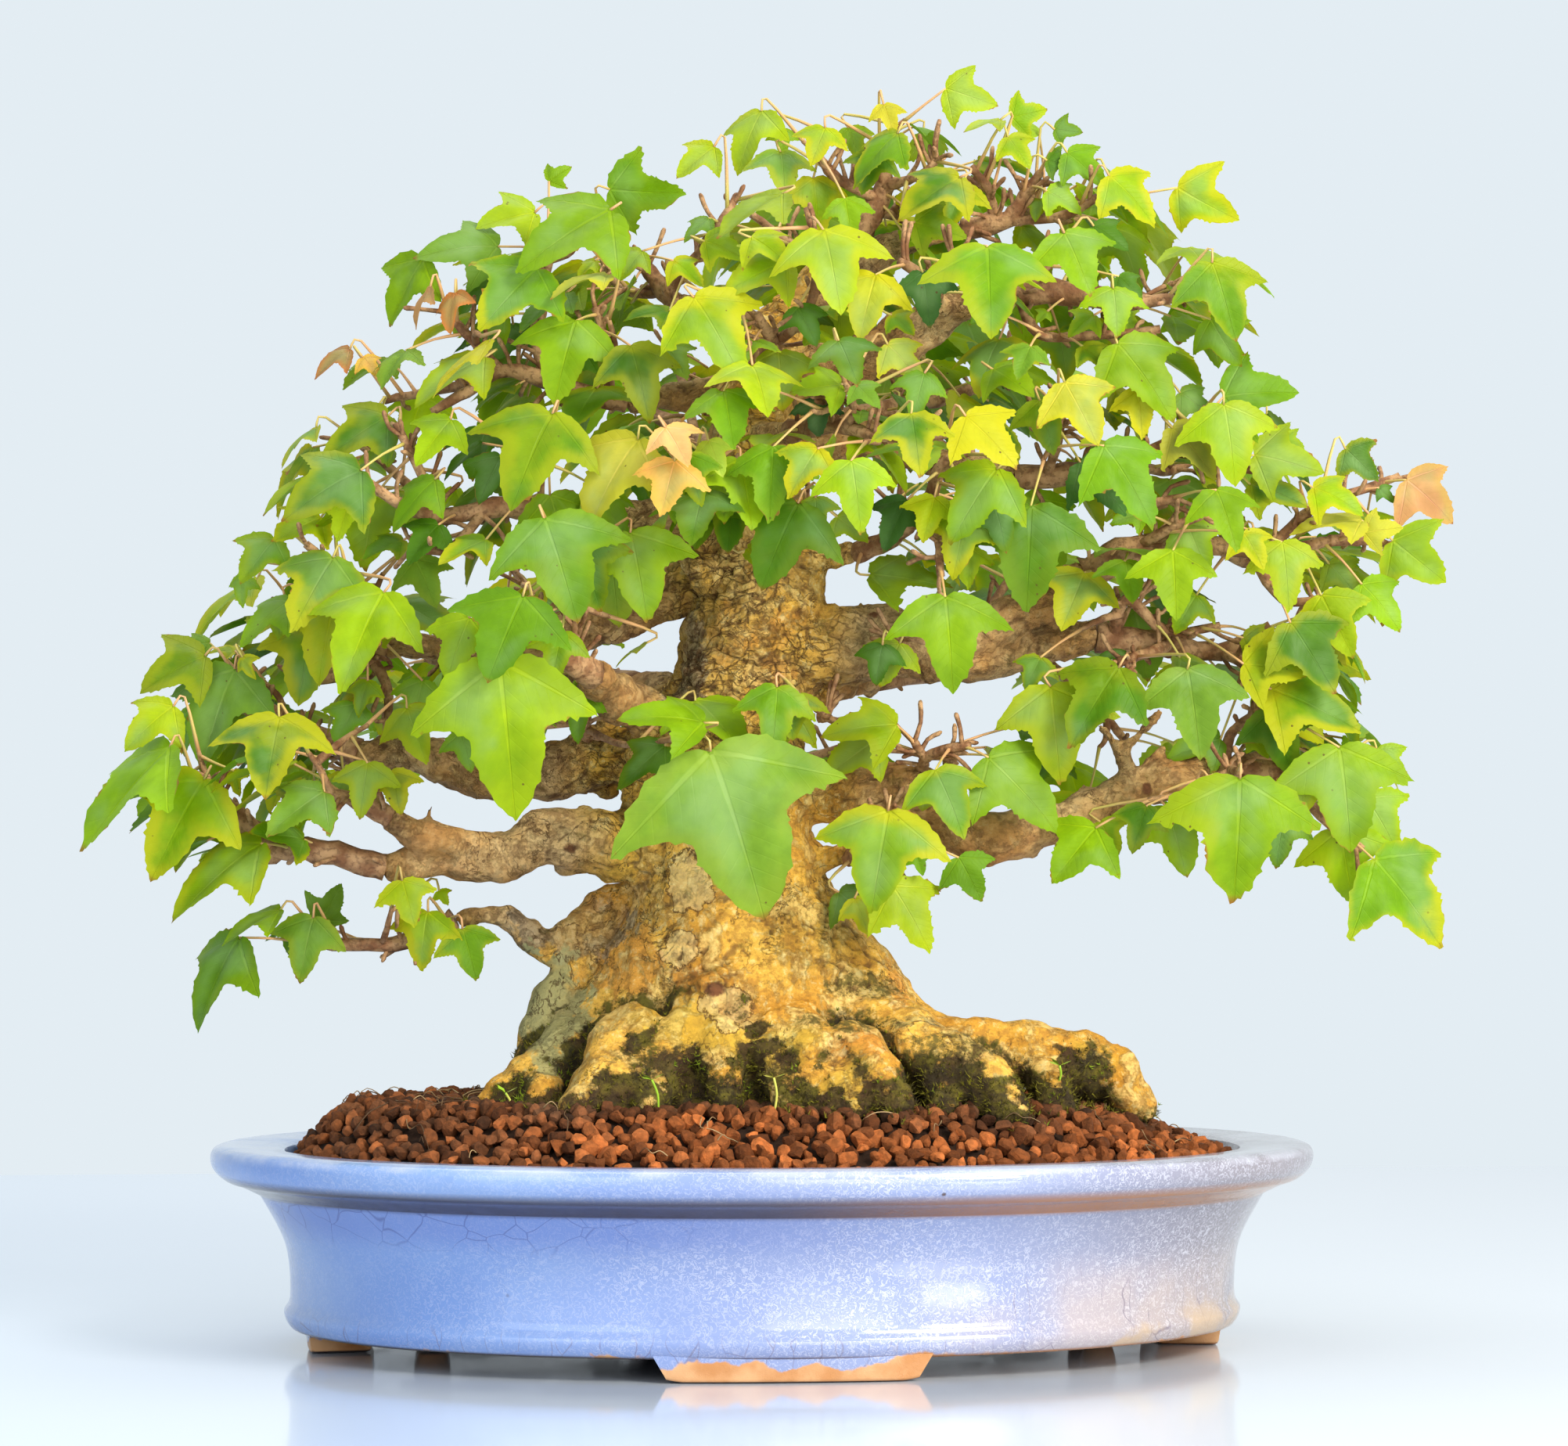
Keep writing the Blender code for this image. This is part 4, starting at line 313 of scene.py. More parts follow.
         (1300, 460, -102)], 1, (7, 4.4, 1.5), [[(1140, 520, -70), (1180, 430, -84), (1210, 370, -88)]],
         10),
    Wood("back_crown", [(1000, 420, -6), (1030, 380, -30), (1070, 330, -52), (1110, 280, -64)],
         1, (6, 3.8, 1.4), [[(1060, 345, -46), (1000, 300, -60), (960, 270, -62)]], 8),
    Wood("back_low", [(920, 1010, -20), (935, 1000, -48), (960, 985, -80), (990, 960, -105)],
         1, (8, 4.6, 1.5), [[(950, 992, -68), (1060, 960, -95), (1140, 930, -105)]], 8),
]

# Leaves that show from the front: column and row of the blade's base and of its tip, nearness of
# the base in millimetres, lean of the tip towards the viewer and roll about the middle vein, degrees
LEAVES = leaf_table({
    "left_low": [
        (308, 1198, 238, 1308, 14, 5, 30), (360, 1163, 284, 1200, 12, 10, 35),
        (402, 1172, 381, 1252, 16, 10, 0), (410, 1176, 442, 1133, 10, 0, 50),
        (515, 1125, 533, 1183, 12, 15, 0), (548, 1165, 533, 1236, 12, 10, 15),
        (592, 1187, 612, 1250, 14, 10, 0), (615, 1105, 596, 1165, 10, 15, 0),
    ],
    "left_tip": [
        (218, 955, 98, 1075, 34, 8, 35), (262, 996, 188, 1120, 40, 8, 0),
        (335, 1078, 212, 1162, 38, 8, 25), (222, 903, 160, 948, 26, 20, 0),
    ],
    "left_mid": [
        (357, 916, 347, 1008, 60, 40, 0), (415, 1012, 345, 1058, 50, 25, 0),
        (470, 975, 462, 1045, 46, 20, 0), (440, 990, 425, 1040, 40, 20, 0),
        (500, 985, 515, 1040, 42, 20, 0), (520, 905, 545, 975, 20, 15, 20),
    ],
    "left_far": [
        (300, 855, 254, 978, 12, 12, 20), (262, 838, 178, 876, 2, 10, 0),
        (385, 915, 330, 895, -10, 10, 40), (250, 905, 225, 960, -14, 10, 30),
        (455, 900, 430, 950, -2, 15, 0),
    ],
    "left_high": [
        (350, 688, 308, 745, 24, 20, 0), (425, 712, 375, 800, 34, 25, 0),
        (370, 768, 300, 810, 22, 15, 20), (490, 757, 436, 866, 48, 28, 0),
        (430, 765, 398, 872, 30, 10, 25), (400, 800, 380, 900, 14, 10, 0),
        (515, 690, 462, 706, 30, 20, 20), (365, 765, 350, 815, 14, 10, 20),
        (540, 870, 525, 930, 4, 15, 0), (530, 715, 560, 770, 30, 20, 0),
    ],
    "left_shoulder": [
        (495, 530, 408, 582, 26, 10, 0), (460, 600, 362, 650, 50, 20, 0),
        (575, 535, 530, 592, 40, 20, 0), (555, 612, 492, 668, 44, 10, 20),
        (640, 582, 610, 640, 48, 20, 0), (705, 527, 652, 634, 60, 28, 0),
        (560, 670, 520, 715, 50, 20, 0), (445, 640, 430, 690, 30, 15, 0),
        (620, 690, 560, 715, 50, 25, 20), (480, 520, 440, 560, 10, 10, 10),
    ],
    "front_left": [
        (695, 663, 742, 786, 76, 18, 0), (668, 762, 622, 868, 92, 18, 0),
        (600, 790, 566, 866, 78, 12, 0), (638, 845, 661, 1044, 90, 4, 0),
        (718, 808, 705, 872, 72, 20, 0), (805, 680, 830, 790, 56, 10, 0),
        (775, 680, 793, 798, 48, 10, 0), (740, 690, 765, 780, 62, 12, 20),
        (850, 872, 786, 884, 36, 10, 45), (825, 822, 782, 848, 38, 5, 50),
    ],
    "front_shoot": [
        (908, 960, 986, 1168, 74, 6, 0), (898, 924, 800, 898, 52, 15, 15),
        (850, 953, 786, 1004, 46, 12, 10), (590, 935, 604, 985, 20, 15, 0),
        (745, 885, 735, 950, 40, 10, 30),
    ],
    "trunk_shoot": [
        (993, 878, 990, 955, 56, 30, -10),
    ],
    "top_left": [
        (778, 265, 662, 332, 26, 12, 0), (682, 268, 608, 285, 10, 18, 0),
        (635, 312, 532, 308, 20, 12, 0), (538, 328, 488, 410, 24, 10, 20),
        (685, 340, 612, 418, 40, 20, 0), (775, 348, 702, 366, 40, 25, 35),
        (722, 372, 661, 416, 44, 18, 30), (735, 408, 705, 506, 46, 20, 0),
        (805, 440, 833, 532, 52, 15, 0), (625, 435, 546, 498, 44, 10, 45),
        (618, 455, 525, 502, 34, 20, 20), (580, 372, 570, 425, 30, 15, 40),
        (548, 365, 518, 410, 26, 5, 50), (445, 445, 396, 472, 12, 10, 20),
        (645, 400, 590, 428, 30, 15, 0), (745, 445, 712, 500, 30, 15, 20),
    ],
    "crown_left": [
        (778, 238, 872, 249, 8, 5, 60), (912, 183, 862, 220, 18, 12, 0),
        (1000, 244, 912, 290, 36, 15, 30), (860, 330, 900, 360, 30, 20, 0),
        (900, 305, 955, 322, 30, 15, 10), (855, 395, 800, 395, 34, 20, 20),
        (850, 440, 880, 480, 46, 20, 0), (1005, 206, 942, 224, 12, 5, 50),
    ],
    "crown_front": [
        (886, 377, 952, 475, 66, 15, 0), (1005, 330, 925, 366, 58, 20, 0),
        (925, 498, 938, 566, 74, 40, 0), (1053, 291, 1075, 386, 68, 32, 0),
        (1118, 235, 1030, 260, 40, 18, 15), (960, 300, 1010, 330, 40, 25, 0),
        (1020, 390, 1045, 440, 52, 20, 0),
    ],
    "front_upper": [
        (1072, 433, 1096, 487, 76, 38, 0), (1165, 528, 1176, 606, 86, 32, 0),
        (1235, 530, 1302, 592, 78, 15, 0), (1088, 588, 1102, 672, 92, 22, 0),
        (1045, 572, 1005, 630, 78, 15, 0), (988, 570, 983, 660, 74, 15, 0),
        (1182, 475, 1166, 530, 70, 25, 0), (1135, 438, 1182, 482, 62, 15, 0),
        (1075, 490, 1012, 494, 60, 20, 0),
    ],
    "front_centre": [
        (850, 545, 880, 590, 74, 30, 0), (862, 588, 843, 656, 78, 12, 0),
        (815, 560, 739, 664, 72, 8, 15), (1020, 642, 966, 743, 66, 12, 0),
        (880, 580, 892, 645, 72, 10, 20),
    ],
    "crown_top": [
        (1210, 107, 1276, 130, 12, 5, 45), (1148, 165, 1082, 220, 20, 10, 20),
        (1228, 222, 1146, 268, 26, 18, 10), (1170, 280, 1236, 300, 22, 15, 20),
        (1120, 190, 1100, 240, 20, 20, 0), (1230, 230, 1212, 288, 18, 15, 0),
        (1080, 250, 1090, 300, 26, 20, 0),
    ],
    "crown_right": [
        (1366, 190, 1416, 232, 10, 10, 10), (1420, 220, 1484, 275, 12, 8, 0),
        (1508, 235, 1582, 283, 14, 4, 55), (1340, 240, 1386, 262, 10, 12, 0),
        (1290, 170, 1320, 210, 8, 10, 0),
    ],
    "right_upper": [
        (1362, 294, 1398, 372, 42, 16, 0), (1400, 285, 1446, 312, 24, 12, 0),
        (1552, 332, 1584, 432, 34, 10, 0), (1550, 405, 1582, 468, 24, 4, 45),
        (1430, 437, 1508, 528, 34, 12, 0),
    ],
    "upper_inner": [
        (1263, 311, 1265, 432, 76, 28, 0), (1120, 348, 1096, 426, 66, 18, 0),
        (1180, 345, 1190, 416, 54, 12, 0),
    ],
    "right_rear": [
        (1362, 487, 1408, 567, 44, 12, 0), (1456, 496, 1462, 558, 36, 12, 0),
        (1566, 515, 1584, 615, 40, 10, 0), (1566, 505, 1658, 492, 22, 12, 15),
        (1412, 568, 1482, 662, 50, 12, 0), (1382, 590, 1442, 650, 34, 12, 10),
        (1500, 545, 1560, 602, 36, 12, 0), (1556, 625, 1580, 694, 48, 32, 0),
        (1605, 580, 1694, 598, 26, 10, 20), (1600, 618, 1672, 640, 26, 18, 0),
        (1318, 646, 1312, 776, 52, 10, 0), (1330, 510, 1345, 575, 26, 12, 10),
        (1510, 500, 1560, 530, 20, 18, 0), (1270, 470, 1320, 500, 30, 20, 0),
    ],
    "right_high": [
        (1680, 622, 1744, 645, 18, 18, 0), (1722, 572, 1764, 612, 0, 6, 30),
        (1800, 612, 1864, 662, 6, 5, 15), (1640, 692, 1650, 776, 36, 14, 0),
        (1500, 703, 1503, 790, 44, 18, 0), (1690, 760, 1729, 840, 18, 6, 25),
        (1742, 746, 1796, 800, 10, 8, 0), (1782, 690, 1849, 745, 6, 4, 40),
        (1742, 664, 1650, 665, 14, 12, 30), (1590, 680, 1618, 722, 34, 20, 0),
        (1530, 760, 1500, 805, 6, 15, 0), (1650, 795, 1709, 884, 24, 6, 10),
        (1700, 720, 1740, 760, -6, 10, 0),
    ],
    "right_mid": [
        (1343, 877, 1352, 998, 34, 10, 10), (1430, 853, 1362, 946, 44, 12, 0),
        (1518, 855, 1534, 968, 40, 14, 0), (1590, 848, 1674, 856, 26, 18, 10),
        (1625, 880, 1742, 925, 16, 8, 0), (1626, 905, 1650, 990, 26, 8, 20),
        (1610, 880, 1700, 945, 4, 6, 0), (1590, 815, 1640, 825, 10, 15, 0),
        (1560, 945, 1490, 962, 2, 12, 0),
    ],
    "right_low": [
        (1712, 955, 1727, 1086, 22, 10, 0), (1585, 995, 1578, 1150, 52, 5, 0),
        (1755, 1098, 1851, 1203, 8, 4, 0), (1745, 1020, 1791, 1084, -2, 6, 10),
        (1712, 1060, 1727, 1155, 2, 5, 15), (1740, 1040, 1772, 1088, -8, 8, 0),
        (1400, 1058, 1341, 1126, 22, 6, 0), (1465, 1030, 1445, 1090, 24, 8, 0),
        (1490, 1030, 1519, 1120, 18, 6, 0), (1640, 1040, 1630, 1108, 20, 6, 0),
        (1680, 990, 1650, 1045, 20, 12, 0), (1760, 960, 1800, 1002, -6, 8, 20),
    ],
    "right_inner": [
        (1135, 1036, 1111, 1162, 62, 10, 0), (1140, 1132, 1194, 1212, 40, 5, 0),
        (1092, 1148, 1112, 1194, 30, 8, 0), (1072, 1140, 1120, 1180, 22, 12, 0),
        (1225, 1096, 1256, 1150, 36, 5, 15),
    ],
    "right_cut": [
        (1195, 985, 1232, 1058, 42, 30, 0), (1263, 968, 1355, 1054, 34, 10, 0),
        (1146, 927, 1053, 926, 30, 14, 0), (1122, 945, 1050, 990, 20, 12, 0),
    ],
    "right_under": [
        (1128, 824, 1115, 874, 28, 5, 10), (1150, 822, 1122, 875, 22, 6, 0),
    ],
    "front_right": [
        (1275, 598, 1209, 684, 66, 12, 0), (1195, 634, 1179, 692, 56, 12, 0),
        (1160, 638, 1126, 700, 48, 12, 0), (1236, 652, 1216, 736, 58, 12, 0),
        (1208, 762, 1219, 874, 72, 20, 0), (1270, 640, 1290, 705, 54, 12, 0),
        (1240, 700, 1236, 750, 48, 12, 10), (1070, 660, 1110, 690, 20, 15, 0),
    ],
})

# Leaves too small for the solids, in the same form
SMALL_LEAVES = leaf_table({
    "left_low": [
        (562, 1138, 575, 1155, 6, 10, 0),
    ],
    "left_tip": [
        (300, 985, 306, 1018, 30, 10, 40),
    ],
    "left_far": [
        (268, 822, 222, 822, -8, 20, 10), (300, 832, 268, 828, -2, 10, 20),
        (310, 840, 322, 868, 8, 5, 40),
    ],
    "left_high": [
        (310, 735, 304, 775, 16, 5, 20), (470, 870, 455, 915, 6, 15, 20),
    ],
    "left_shoulder": [
        (500, 575, 455, 590, 34, 20, 20),
    ],
    "top_left": [
        (700, 228, 728, 206, 4, 0, 20), (462, 455, 484, 478, 12, 15, 0),
        (760, 330, 735, 350, 14, 10, 20),
    ],
    "crown_left": [
        (820, 318, 790, 350, 24, 15, 0), (905, 275, 870, 300, 20, 15, 20),
    ],
    "front_upper": [
        (1045, 508, 1046, 556, 60, 20, 0), (1095, 490, 1125, 520, 64, 25, 0),
    ],
    "front_centre": [
        (905, 562, 925, 606, 70, 20, 0), (1042, 635, 1046, 680, 74, 15, 0),
        (780, 570, 745, 590, 56, 15, 0),
    ],
    "crown_top": [
        (1130, 128, 1144, 166, 14, 25, 0), (1055, 158, 1036, 204, 16, 25, 0),
        (1085, 158, 1100, 200, 6, 20, 0), (1000, 160, 1000, 195, 6, 15, 0),
        (1190, 190, 1150, 205, 10, 10, 30),
    ],
    "crown_right": [
        (1280, 148, 1232, 158, 2, 10, 30), (1295, 145, 1342, 132, -4, 0, 40),
        (1330, 165, 1300, 150, 4, 10, 20), (1340, 200, 1375, 208, 4, 10, 20),
        (1280, 205, 1290, 240, 4, 15, 0), (1330, 250, 1322, 278, 8, 10, 20),
        (1350, 160, 1385, 165, -8, 5, 30),
    ],
    "right_upper": [
        (1432, 350, 1462, 380, 28, 15, 0), (1400, 400, 1365, 425, 26, 15, 0),
        (1430, 395, 1460, 425, 22, 12, 0), (1318, 440, 1300, 482, 52, 32, 0),
        (1385, 440, 1420, 470, 30, 20, 0), (1270, 395, 1240, 410, 36, 15, 0),
        (1340, 395, 1325, 410, 24, 10, 0),
    ],
    "upper_inner": [
        (1140, 400, 1170, 425, 52, 15, 0),
    ],
    "right_rear": [
        (1640, 560, 1670, 575, 10, 10, 20),
    ],
    "right_high": [
        (1746, 680, 1792, 672, 8, 8, 20), (1460, 655, 1420, 665, 26, 15, 0),
        (1765, 622, 1785, 640, 4, 10, 10),
    ],
    "right_mid": [
        (1330, 840, 1309, 880, 24, 15, 0), (1440, 835, 1400, 835, 16, 15, 20),
    ],
    "right_low": [
        (1406, 1050, 1430, 1092, 14, 6, 15), (1600, 942, 1622, 968, 8, 12, 0),
    ],
    "right_inner": [
        (1170, 1090, 1180, 1118, 40, 12, 0),
    ],
})

# Outline of the crown in the front view, which leaves placed by the rule stay inside
CROWN_OUTLINE = [
    (120, 1060), (165, 950), (190, 850), (250, 790), (300, 690), (360, 590), (410, 500), (490, 400),
    (510, 320), (610, 250), (720, 220), (850, 190), (990, 150), (1130, 125), (1260, 115), (1370, 150),
    (1460, 215), (1570, 270), (1640, 340), (1660, 480), (1710, 580), (1840, 640), (1830, 740),
    (1780, 830), (1740, 930), (1790, 1010), (1820, 1120), (1720, 1130), (1580, 1130), (1430, 1110),
    (1240, 1110), (1130, 1130), (900, 1080), (800, 1040), (640, 1030), (530, 1000), (470, 1130),
    (560, 1200), (380, 1230), (300, 1170), (200, 1110),
]

# Clear places between the branches, through which the wall behind shows: left, top, right, bottom
CLEARINGS = [
    (1060, 850, 1270, 990), (790, 745, 860, 880), (585, 1000, 785, 1060), (440, 1125, 800, 1400),
    (1375, 880, 1500, 985), (1235, 1090, 1700, 1400), (1560, 720, 1640, 800), (1240, 855, 1300, 960),
    (560, 715, 690, 740), (1040, 1100, 1300, 1400), (500, 470, 560, 520),
]


def curve(points):
    """Path through points, with the direction in which it runs at each."""
    tangents = []
    for i in range(len(points)):
        before, after = points[max(i - 1, 0)], points[min(i + 1, len(points) - 1)]
        tangents.append((after - before).normalized())
    return points, tangents


def blend(values, count):
    """Values spread evenly over count places, blended between."""
    result = []
    for i in range(count):
        place = i * (len(values) - 1) / (count - 1)
        low = min(int(place), len(values) - 2)
        result.append(values[low] + (values[low + 1] - values[low]) * (place - low))
    return result


def tube(path, tangents, radii, sides):
    """Closed, slightly knobbly tube along a path."""
    side = tangents[0].cross(Vector((0.3, 0.9, 0.2))).normalized()
    rings = []
    for place, tangent, radius in zip(path, tangents, radii):
        side = (side - tangent * side.dot(tangent)).normalized()
        up = tangent.cross(side)
        ring = []
        for i in range(sides):
            angle = math.tau * i / sides
            reach = radius * (1 + 0.08 * math.sin(2.4 * i + 170 * place.x + 230 * place.z))
            ring.append(place + (side * math.cos(angle) + up * math.sin(angle)) * reach)
        rings.append(ring)
    return loft(rings)


def ridge_reach(angle, height):
    """How far the root ridges stand proud of the trunk at an angle and a height, millimetres."""
    share = max(0.0, min(1.0, (RIDGE_TOP - height) / (RIDGE_TOP - RIDGE_FOOT)))
    total = 0.0
    for direction, reach, width in RIDGES:
        away = (math.degrees(angle) - direction + 180) % 360 - 180
        total += reach * math.exp(-(away / width) ** 2)
    return total * share * share


def wood_path(wood):
    """Path, tangents and radii along a whole branch, and the index at which the limb is cut."""
    path, tangents = curve([seen(*p) for p in wood.path])
    start, middle, end = (r * MM for r in wood.radii)
    radii = blend([start, middle], wood.cut + 1) + blend([middle, end], len(path) - wood.cut)[1:]
    return {"path": path, "tangents": tangents, "radii": radii, "cut": wood.cut}


# Half of a blade's outline, base to tip, in shares of its length, and its vein points, for the
# small, the plain and the detailed blade
OUTLINES = [
    [(0.66, 0.36), (0.30, 0.44)],
    [(0.32, 0.02), (0.66, 0.37), (0.29, 0.44), (0.24, 0.68)],
    [(0.20, -0.03), (0.50, 0.14), (0.68, 0.37), (0.48, 0.41), (0.29, 0.44), (0.26, 0.64), (0.14, 0.84)],
]
VEINS = [[(0, 0.25)], [(0, 0.27)], [(0, 0.10), (0, 0.52), (0.34, 0.22), (-0.34, 0.22)]]
SIDE_VEIN_ANGLE = math.radians(62)


def blade_height(x, y, droop, fold):
    """Height of a blade above its flat: ridges between the veins, and drooping lobes."""
    reach = math.hypot(x, y)
    angle = math.atan2(abs(x), y)
    if angle < SIDE_VEIN_ANGLE:
        ridge = math.sin(math.pi * angle / SIDE_VEIN_ANGLE)
    else:
        ridge = min(1.0, (angle - SIDE_VEIN_ANGLE) / 0.9)
    return fold * ridge * reach * (1.1 - 0.5 * reach) - droop * reach * reach


class Blade:
    """One leaf: where its blade hangs, how it is turned and shaped, and its petiole."""

    def __init__(self, base, axis, facing, length, draw):
        self.base, self.axis, self.length = base, axis.normalized(), length
        self.normal = (facing - self.axis * facing.dot(self.axis)).normalized()
        self.side = self.axis.cross(self.normal)
        self.droop = draw.uniform(0.10, 0.34)
        self.fold = draw.uniform(0.10, 0.22)
        self.spread = draw.uniform(0.86, 1.06)
        self.skew = draw.uniform(-0.06, 0.06)
        self.detail = (length > PLAIN_LEAF) + (length > DETAILED_LEAF)
        self.petiole = []
        self.leaf = None

    def place(self, x, y, lift=0.0):
        """Point of the blade at a share of its length across and along it, lifted in metres."""
        height = blade_height(x, y, self.droop, self.fold)
        across = x * self.spread * (1 + self.skew * (1 if x > 0 else -1))
        flat = self.side * across + self.axis * y + self.normal * height
        return self.base + flat * self.length + self.normal * lift

    def outline(self):
        half = OUTLINES[self.detail]
        return half + [(0, 1.0)] + [(-x, y) for x, y in reversed(half)]

    def faces(self):
        """Faces of the upper side over rim and vein points, and the number of rim points."""
        rim = len(self.outline())
        right, left = rim, rim + 1
        vein = rim + 2
        if self.detail < 2:
            order = [right] + list(range(rim)) + [left]
            return [(vein, order[i], order[i + 1]) for i in range(len(order) - 1)], rim
        middle, lobe_right, lobe_left = vein + 1, vein + 2, vein + 3
        half = [
            (vein, right, 0), (vein, 0, lobe_right), (lobe_right, 0, 1), (lobe_right, 1, 2),
            (lobe_right, 2, 3), (lobe_right, 3, 4), (vein, lobe_right, 4), (vein, 4, middle),
            (middle, 4, 5), (middle, 5, 6), (middle, 6, 7),
        ]
        swap = {right: left, lobe_right: lobe_left, vein: vein, middle: middle}
        swap.update({i: rim - 1 - i for i in range(rim)})
        return half + [tuple(swap[i] for i in reversed(face)) for face in half], rim

    def solid(self):
        """Blade and petiole as one closed mesh, thick along its veins and fine at its edge."""
        faces, rim = self.faces()
        veins = VEINS[self.detail]
        thick = LEAF_THICKNESS
        vertices = [self.place(x, y) for x, y in self.outline()]
        rings = []
        across = self.side
        path = self.petiole
        for i, point in enumerate(path):
            after, before = path[min(i + 1, len(path) - 1)] - point, point - path[max(i - 1, 0)]
            along = (after.normalized() + before.normalized()).normalized() if i else -self.axis
            across = (across - along * across.dot(along)).normalized()
            up = along.cross(across)
            half = PETIOLE_WIDTH / 2 * (1 - 0.35 * i / (len(path) - 1))
            top = point + up * half * 0.5
            rings.append([top + across * half, top - across * half, point - up * half])
        vertices += rings[0][:2]
        vertices += [self.place(x, y, thick / 2) for x, y in veins]
        below = len(vertices)
        vertices += [self.place(x, y, -thick / 2) for x, y in veins]
        first_vein = rim + 2
        under = {first_vein + i: below + i for i in range(len(veins))}
        solid = list(faces)
        solid += [tuple(under.get(i, i) for i in reversed(face)) for face in faces]
        right, left = rim, rim + 1
        keel = len(vertices)
        vertices.append(rings[0][2])
        solid += [(first_vein, left, right), (below, right, keel), (below, keel, left)]
        ring = (right, left, keel)
        for corners in rings[1:]:
            following = tuple(range(len(vertices), len(vertices) + 3))
            vertices += corners
            r, l, k = ring
            r2, l2, k2 = following
            solid += [(l, l2, r2), (l, r2, r), (r, r2, k2), (r, k2, k), (l, k, k2), (l, k2, l2)]
            ring = following
        solid.append((ring[1], ring[2], ring[0]))
        return vertices, solid

    def probe(self):
        """Upper and lower side moved apart, to feel for anything too near the blade."""
        faces, rim = self.faces()
        veins = VEINS[self.detail]
        points = [(x * 1.03, y * 1.02) for x, y in self.outline()] + [(0.02, 0), (-0.02, 0)] + veins
        vertices, result = [], []
        for lift in (1.0, -1.0):
            start = len(vertices)
            extra = [0.0004] * (rim + 2) + [LEAF_THICKNESS * 0.5 + 0.0004] * len(veins)
            vertices += [self.place(x, y, lift * e) for (x, y), e in zip(points, extra)]
            result += [tuple(start + i for i in face) for face in faces]
        return vertices, result


def face_tree(vertices, faces):
    return BVHTree.FromPolygons([tuple(v) for v in vertices], faces)


class Crown:
    """Everything placed so far, so that no new twig or leaf crosses it."""

    def __init__(self):
        self.obstacles = []
        self.sprays = {}

    def add_obstacle(self, vertices, faces, owner, kind):
        tree = face_tree(vertices, faces)
        low = Vector([min(v[i] for v in vertices) for i in range(3)])
        high = Vector([max(v[i] for v in vertices) for i in range(3)])
        self.obstacles.append((low, high, tree, owner, kind))

    def is_clear(self, vertices, faces, ignore):
        tree = None
        low = [min(v[i] for v in vertices) for i in range(3)]
        high = [max(v[i] for v in vertices) for i in range(3)]
        for o_low, o_high, o_tree, owner, kind in self.obstacles:
            if (owner, kind) == ignore:
                continue
            if any(low[i] > o_high[i] or high[i] < o_low[i] for i in range(3)):
                continue
            if tree is None:
                tree = face_tree(vertices, faces)
            if tree.overlap(o_tree):
                return False
        return True


def places_along(path):
    """Evenly spaced places along a stem at which leaves and twigs can grow."""
    places = []
    for start, end in zip(path, path[1:]):
        count = max(2, int((end - start).length / NODE_SPACING))
        places += [start.lerp(end, (i + 0.5) / count) for i in range(count)]
    return places


def add_stem(crown, name, path, tangents, radii, sides):
    """Stem of a spray: a solid to fuse, an obstacle, and places that leaves can grow from."""
    spray = crown.sprays[name]
    solid = tube(path, tangents, radii, sides)
    spray["stems"].append((path, radii))
    crown.add_obstacle(*solid, name, "wood")
    spray["nodes"] += places_along(path)


def start_sprays(crown):
    """Main and side stems of every spray, outward from the limb's cut end."""
    for wood in BRANCHES:
        crown.sprays[wood.name] = {"nodes": [], "blades": [], "stems": [], "twigs": []}
        whole = wood_path(wood)
        path = [p.copy() for p in whole["path"][whole["cut"]:]]
        tangents = whole["tangents"][whole["cut"]:]
        path[0] += tangents[0] * GAP
        add_stem(crown, wood.name, path, tangents, whole["radii"][whole["cut"]:], 4)
        for points in wood.sides:
            side_path = [seen(*p) for p in points]
            radii = [r * MM for r in blend([max(1.8, wood.radii[2] * 1.2), 1.3], len(side_path))]
            for _ in range(START_TRIES):
                if crown.is_clear(*tube(*curve(side_path), radii, 3), (wood.name, "wood")):
                    break
                side_path[0] = side_path[0].lerp(path[1], 0.3)
            add_stem(crown, wood.name, *curve(side_path), radii, 3)


def scatter(draw, reach=1):
    """Offset drawn evenly from a cube of half width reach."""
    return Vector([draw.uniform(-reach, reach) for _ in range(3)])


def thin_tube(points, radii):
    return tube(*curve(points), radii, 3)


def plan_twig(blade, root, draw):
    """Twig from a stem towards a blade that is out of a leaf stalk's reach."""
    distance = (root - blade.base).length
    end = blade.base.lerp(root, 0.6 * PETIOLE_REACH / distance) + UP * 0.002
    middle = root.lerp(end, 0.5)
    middle += scatter(draw) * 0.07 * distance
    path = [root, middle, end]
    return path, thin_tube(path, [TWIG_RADIUS * 1.2, TWIG_RADIUS, TWIG_RADIUS * 0.9])


def crosses(one, other):
    return bool(face_tree(*one).overlap(face_tree(*other)))


def folds_through_itself(vertices, faces):
    """True where two faces that share no corner cross."""
    tree = face_tree(vertices, faces)
    return any(not set(faces[i]) & set(faces[j]) for i, j in tree.overlap(tree))


def hang_leaf(crown, name, blade, draw):
    """Grow a leaf from one of the nearest free places on its spray."""
    wanted = blade.base - blade.axis * 0.014 + UP * 0.004
    nodes = crown.sprays[name]["nodes"]
    nearest = sorted(nodes, key=lambda p: (p - wanted).length + 0.25 * (p - blade.base).length)
    return any(grow_leaf(crown, name, blade, node, draw) for node in nearest[:NODES_TRIED])


